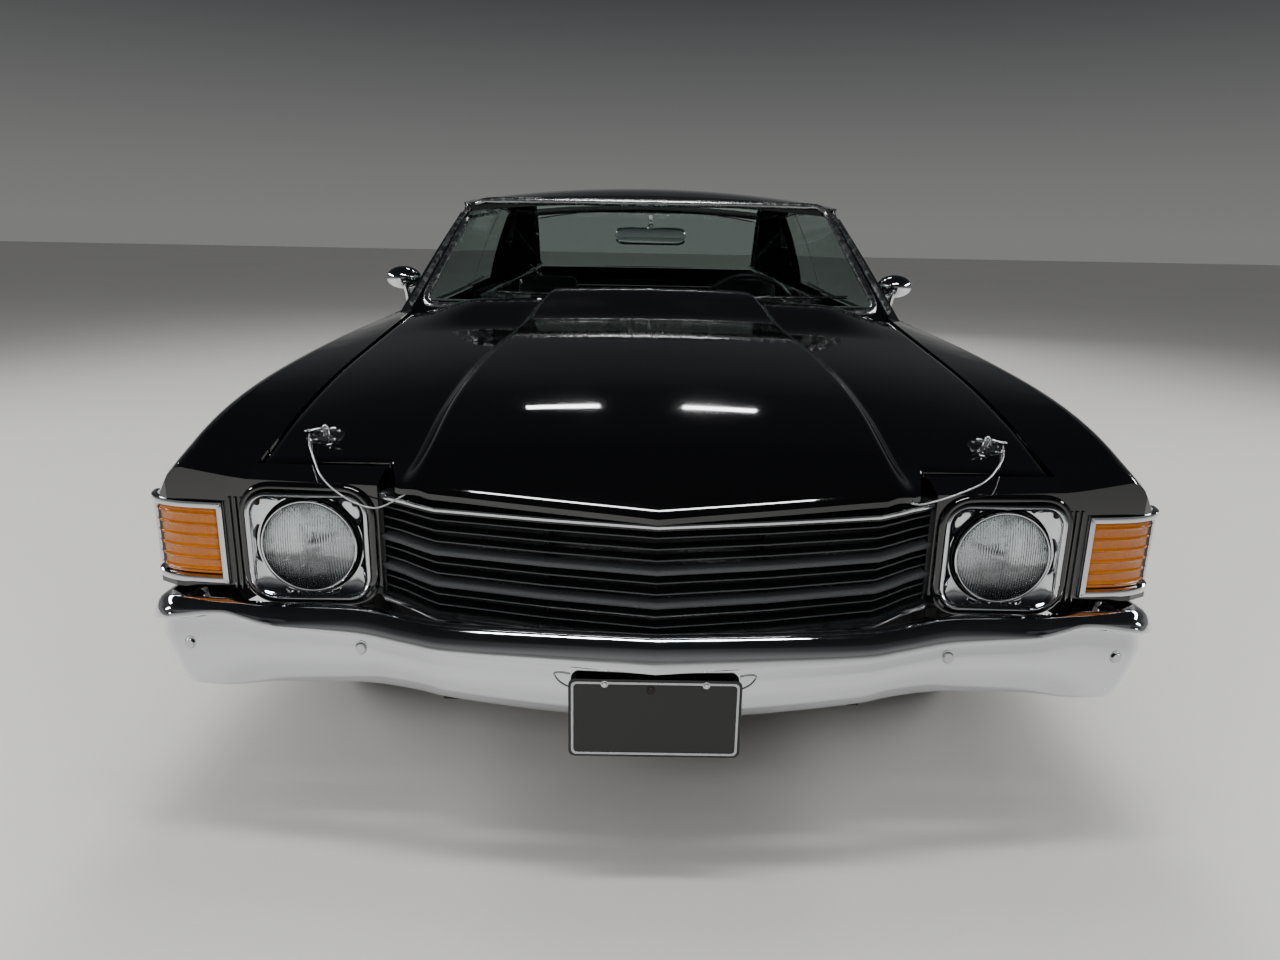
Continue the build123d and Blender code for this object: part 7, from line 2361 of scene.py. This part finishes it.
def ringBar(name, section, stations, material, centre, tilt=0.0):
    # a rounded-rectangle bar along the car; stations are (y, how far the section draws in)
    halfX, halfZ, corner = section
    turn = math.radians(tilt)
    rows = []
    for y, inset in stations:
        ring = squareRing(halfX - inset, halfZ - inset, max(corner - inset, 3), 40)
        rows.append([(centre[0] + x * math.cos(turn) - z * math.sin(turn), y,
                      centre[1] + x * math.sin(turn) + z * math.cos(turn)) for x, z in ring])
    return loftRows(name, rows, material, "body")


def makeEngine():
    e = engine
    front, rear = e["blockY"]
    low, high = e["blockZ"]
    turn = math.radians(e["headTilt"])
    parts = [
        ringBar("block", (e["blockHalf"], (high - low) / 2, 36), [
            (front, 10), (front + 3, 3), (front + 9, 0), (rear - 9, 0), (rear - 3, 3), (rear, 10)], enginePaint,
            (0, (low + high) / 2)),
        ringBar("sump", (128, 44, 30), [(front + 30, 8), (front + 36, 0), (rear - 80, 0), (rear - 74, 8)],
                enginePaint, (0, 338)),
        ringBar("intake", (92, 34, 22), [(front + 60, 12), (front + 72, 0), (rear - 72, 0), (rear - 60, 12)],
                enginePaint, (0, 590)),
        ringBar("carburettor", (62, 36, 12), [(-1545, 8), (-1540, 0), (-1420, 0), (-1415, 8)], castIron, (0, 655))]
    screws, facings = [], []
    for side in (1, -1):
        # head, rocker cover, exhaust manifold and plug leads of one bank
        tilt = -e["headTilt"] * side
        out = Vector((math.sin(turn) * side, 0, math.cos(turn)))
        head = Vector((152 * side, 0, 535))
        cover = head + out * 74
        parts.append(ringBar("head", (*e["headHalf"], 12), [
            (front + 26, 8), (front + 34, 0), (rear - 34, 0), (rear - 26, 8)], enginePaint, (head.x, head.z), tilt))
        parts.append(ringBar("rocker", (*e["coverHalf"], 20), [
            (front + 40, 14), (front + 46, 3), (front + 56, 0), (rear - 56, 0), (rear - 46, 3), (rear - 40, 14)],
            chrome, (cover.x, cover.z), tilt))
        for y in (front + 90, e["cleanerY"] - 10, rear - 90):
            screws.append(tuple(cover + out * 25.6 + Vector((0, y, 0))))
            facings.append(tuple(out))
        parts.append(tube("manifold", [
            (232 * side, front + 70, 452), (244 * side, front + 200, 446), (244 * side, rear - 200, 440),
            (226 * side, rear - 60, 400)], 24, castIron, "body", 16))
        for y in steps(front + 90, rear - 120, 4):
            parts.append(tube("port", [(176 * side, y, 498), (214 * side, y, 476), (240 * side, y, 448)], 17,
                              castIron, "body", 12))
            parts.append(tube("plugLead", [
                (205 * side, y + 30, 520), (238 * side, y + 40, 590), (170 * side, y + 60, 664),
                (60 * side, min(y + 200, -1190), 668), (8 * side, e["distributorY"], 668)], 3.6, rubber, "body", 8))
    # air cleaner with its lid, wing nut and snorkel
    y, r = e["cleanerY"], e["cleanerRadius"]
    parts.append(lathe("cleanerBody", (0, y, 0), (0, 0, 1), [
        (690, 0), (690, 60), (696, r - 14), (702, r - 4), (740, r - 4), (742, r - 8), (742, 0)], satinBlack, "body",
        72, 30.0))
    parts.append(lathe("cleanerLid", (0, y, 0), (0, 0, 1), [
        (741, 0), (741, r - 6), (739, r), (743, r + 1), (749, r - 3), (752, r - 14), (753, 120), (756, 112),
        (757, 40), (760, 14), (768, 8), (768, 0)], chrome, "body", 72, 30.0))
    parts.append(tube("snorkel", [(90, y - 120, 716), (150, y - 200, 714), (176, y - 280, 708)], 24, satinBlack,
                      "body", 20))
    parts.append(lathe("distributor", (0, e["distributorY"], 0), (0, 0, 1), [
        (560, 0), (560, 24), (620, 26), (624, 42), (652, 44), (668, 34), (674, 12), (674, 0)], plastic, "body", 36,
        30.0))
    # pulleys, belt and fan in front
    for x, z, radius in ((0, 400, 78), (0, 560, 66), (165, 500, 34), (-170, 560, 40)):
        parts.append(lathe("pulley", (x, front, z), (0, 1, 0), [
            (-22, 0), (-22, radius * 0.4), (-26, radius * 0.5), (-26, radius * 0.9), (-26, radius), (-19, radius - 7),
            (-12, radius), (-12, radius * 0.4), (2, radius * 0.35), (2, 0)], stainless, "body", 48, 30.0))
    belt = roundedLoop([(-60, 325), (62, 325), (196, 480), (190, 530), (30, 626), (-168, 602), (-208, 560),
                        (-190, 526)], 30, 120)
    parts.append(strip("fanBelt", [(p[0], front - 19, p[1]) for p in belt], (0, -1, 0), [
        (-4, -4), (-4, 4), (4, 4), (4, -4)], rubber, "body", True, 30.0))
    parts.append(lathe("fanHub", (0, front, 560), (0, 1, 0), [
        (-66, 0), (-66, 30), (-60, 46), (-36, 46), (-26, 30), (-24, 0)], castIron, "body", 36, 30.0))
    for k in range(e["fanBlades"]):
        angle = 2 * math.pi * k / e["fanBlades"] + 0.3
        along = Vector((math.cos(angle), 0, math.sin(angle)))
        across = Vector((-math.sin(angle), 0, math.cos(angle)))
        rows = []
        for radius, half, pitch in ((40, 26, 0.5), (90, 36, 0.42), (140, 46, 0.36), (180, 48, 0.3), (190, 40, 0.3)):
            middle = along * radius + Vector((0, front - 52, 560))
            chord = across * math.cos(pitch) + Vector((0, 1, 0)) * math.sin(pitch)
            thick = (along.cross(chord)).normalized() * 1.4
            rows.append([tuple(middle + chord * half * a + thick * b) for a, b in
                         ((-1, 0), (-0.9, 1), (0, 1.6), (0.9, 1), (1, 0), (0.9, -1), (0, -0.4), (-0.9, -1))])
        parts.append(loftRows("fanBlade", rows, stainless, "body", 40.0))
    parts.append(bolts("coverScrews", screws, facings, 6.0, 5.0, stainless, "body", 6, 1.6))
    whole = joined("engineDressed", parts, "body")
    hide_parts("engine_block")


makeEngine()
print("engine dressed")
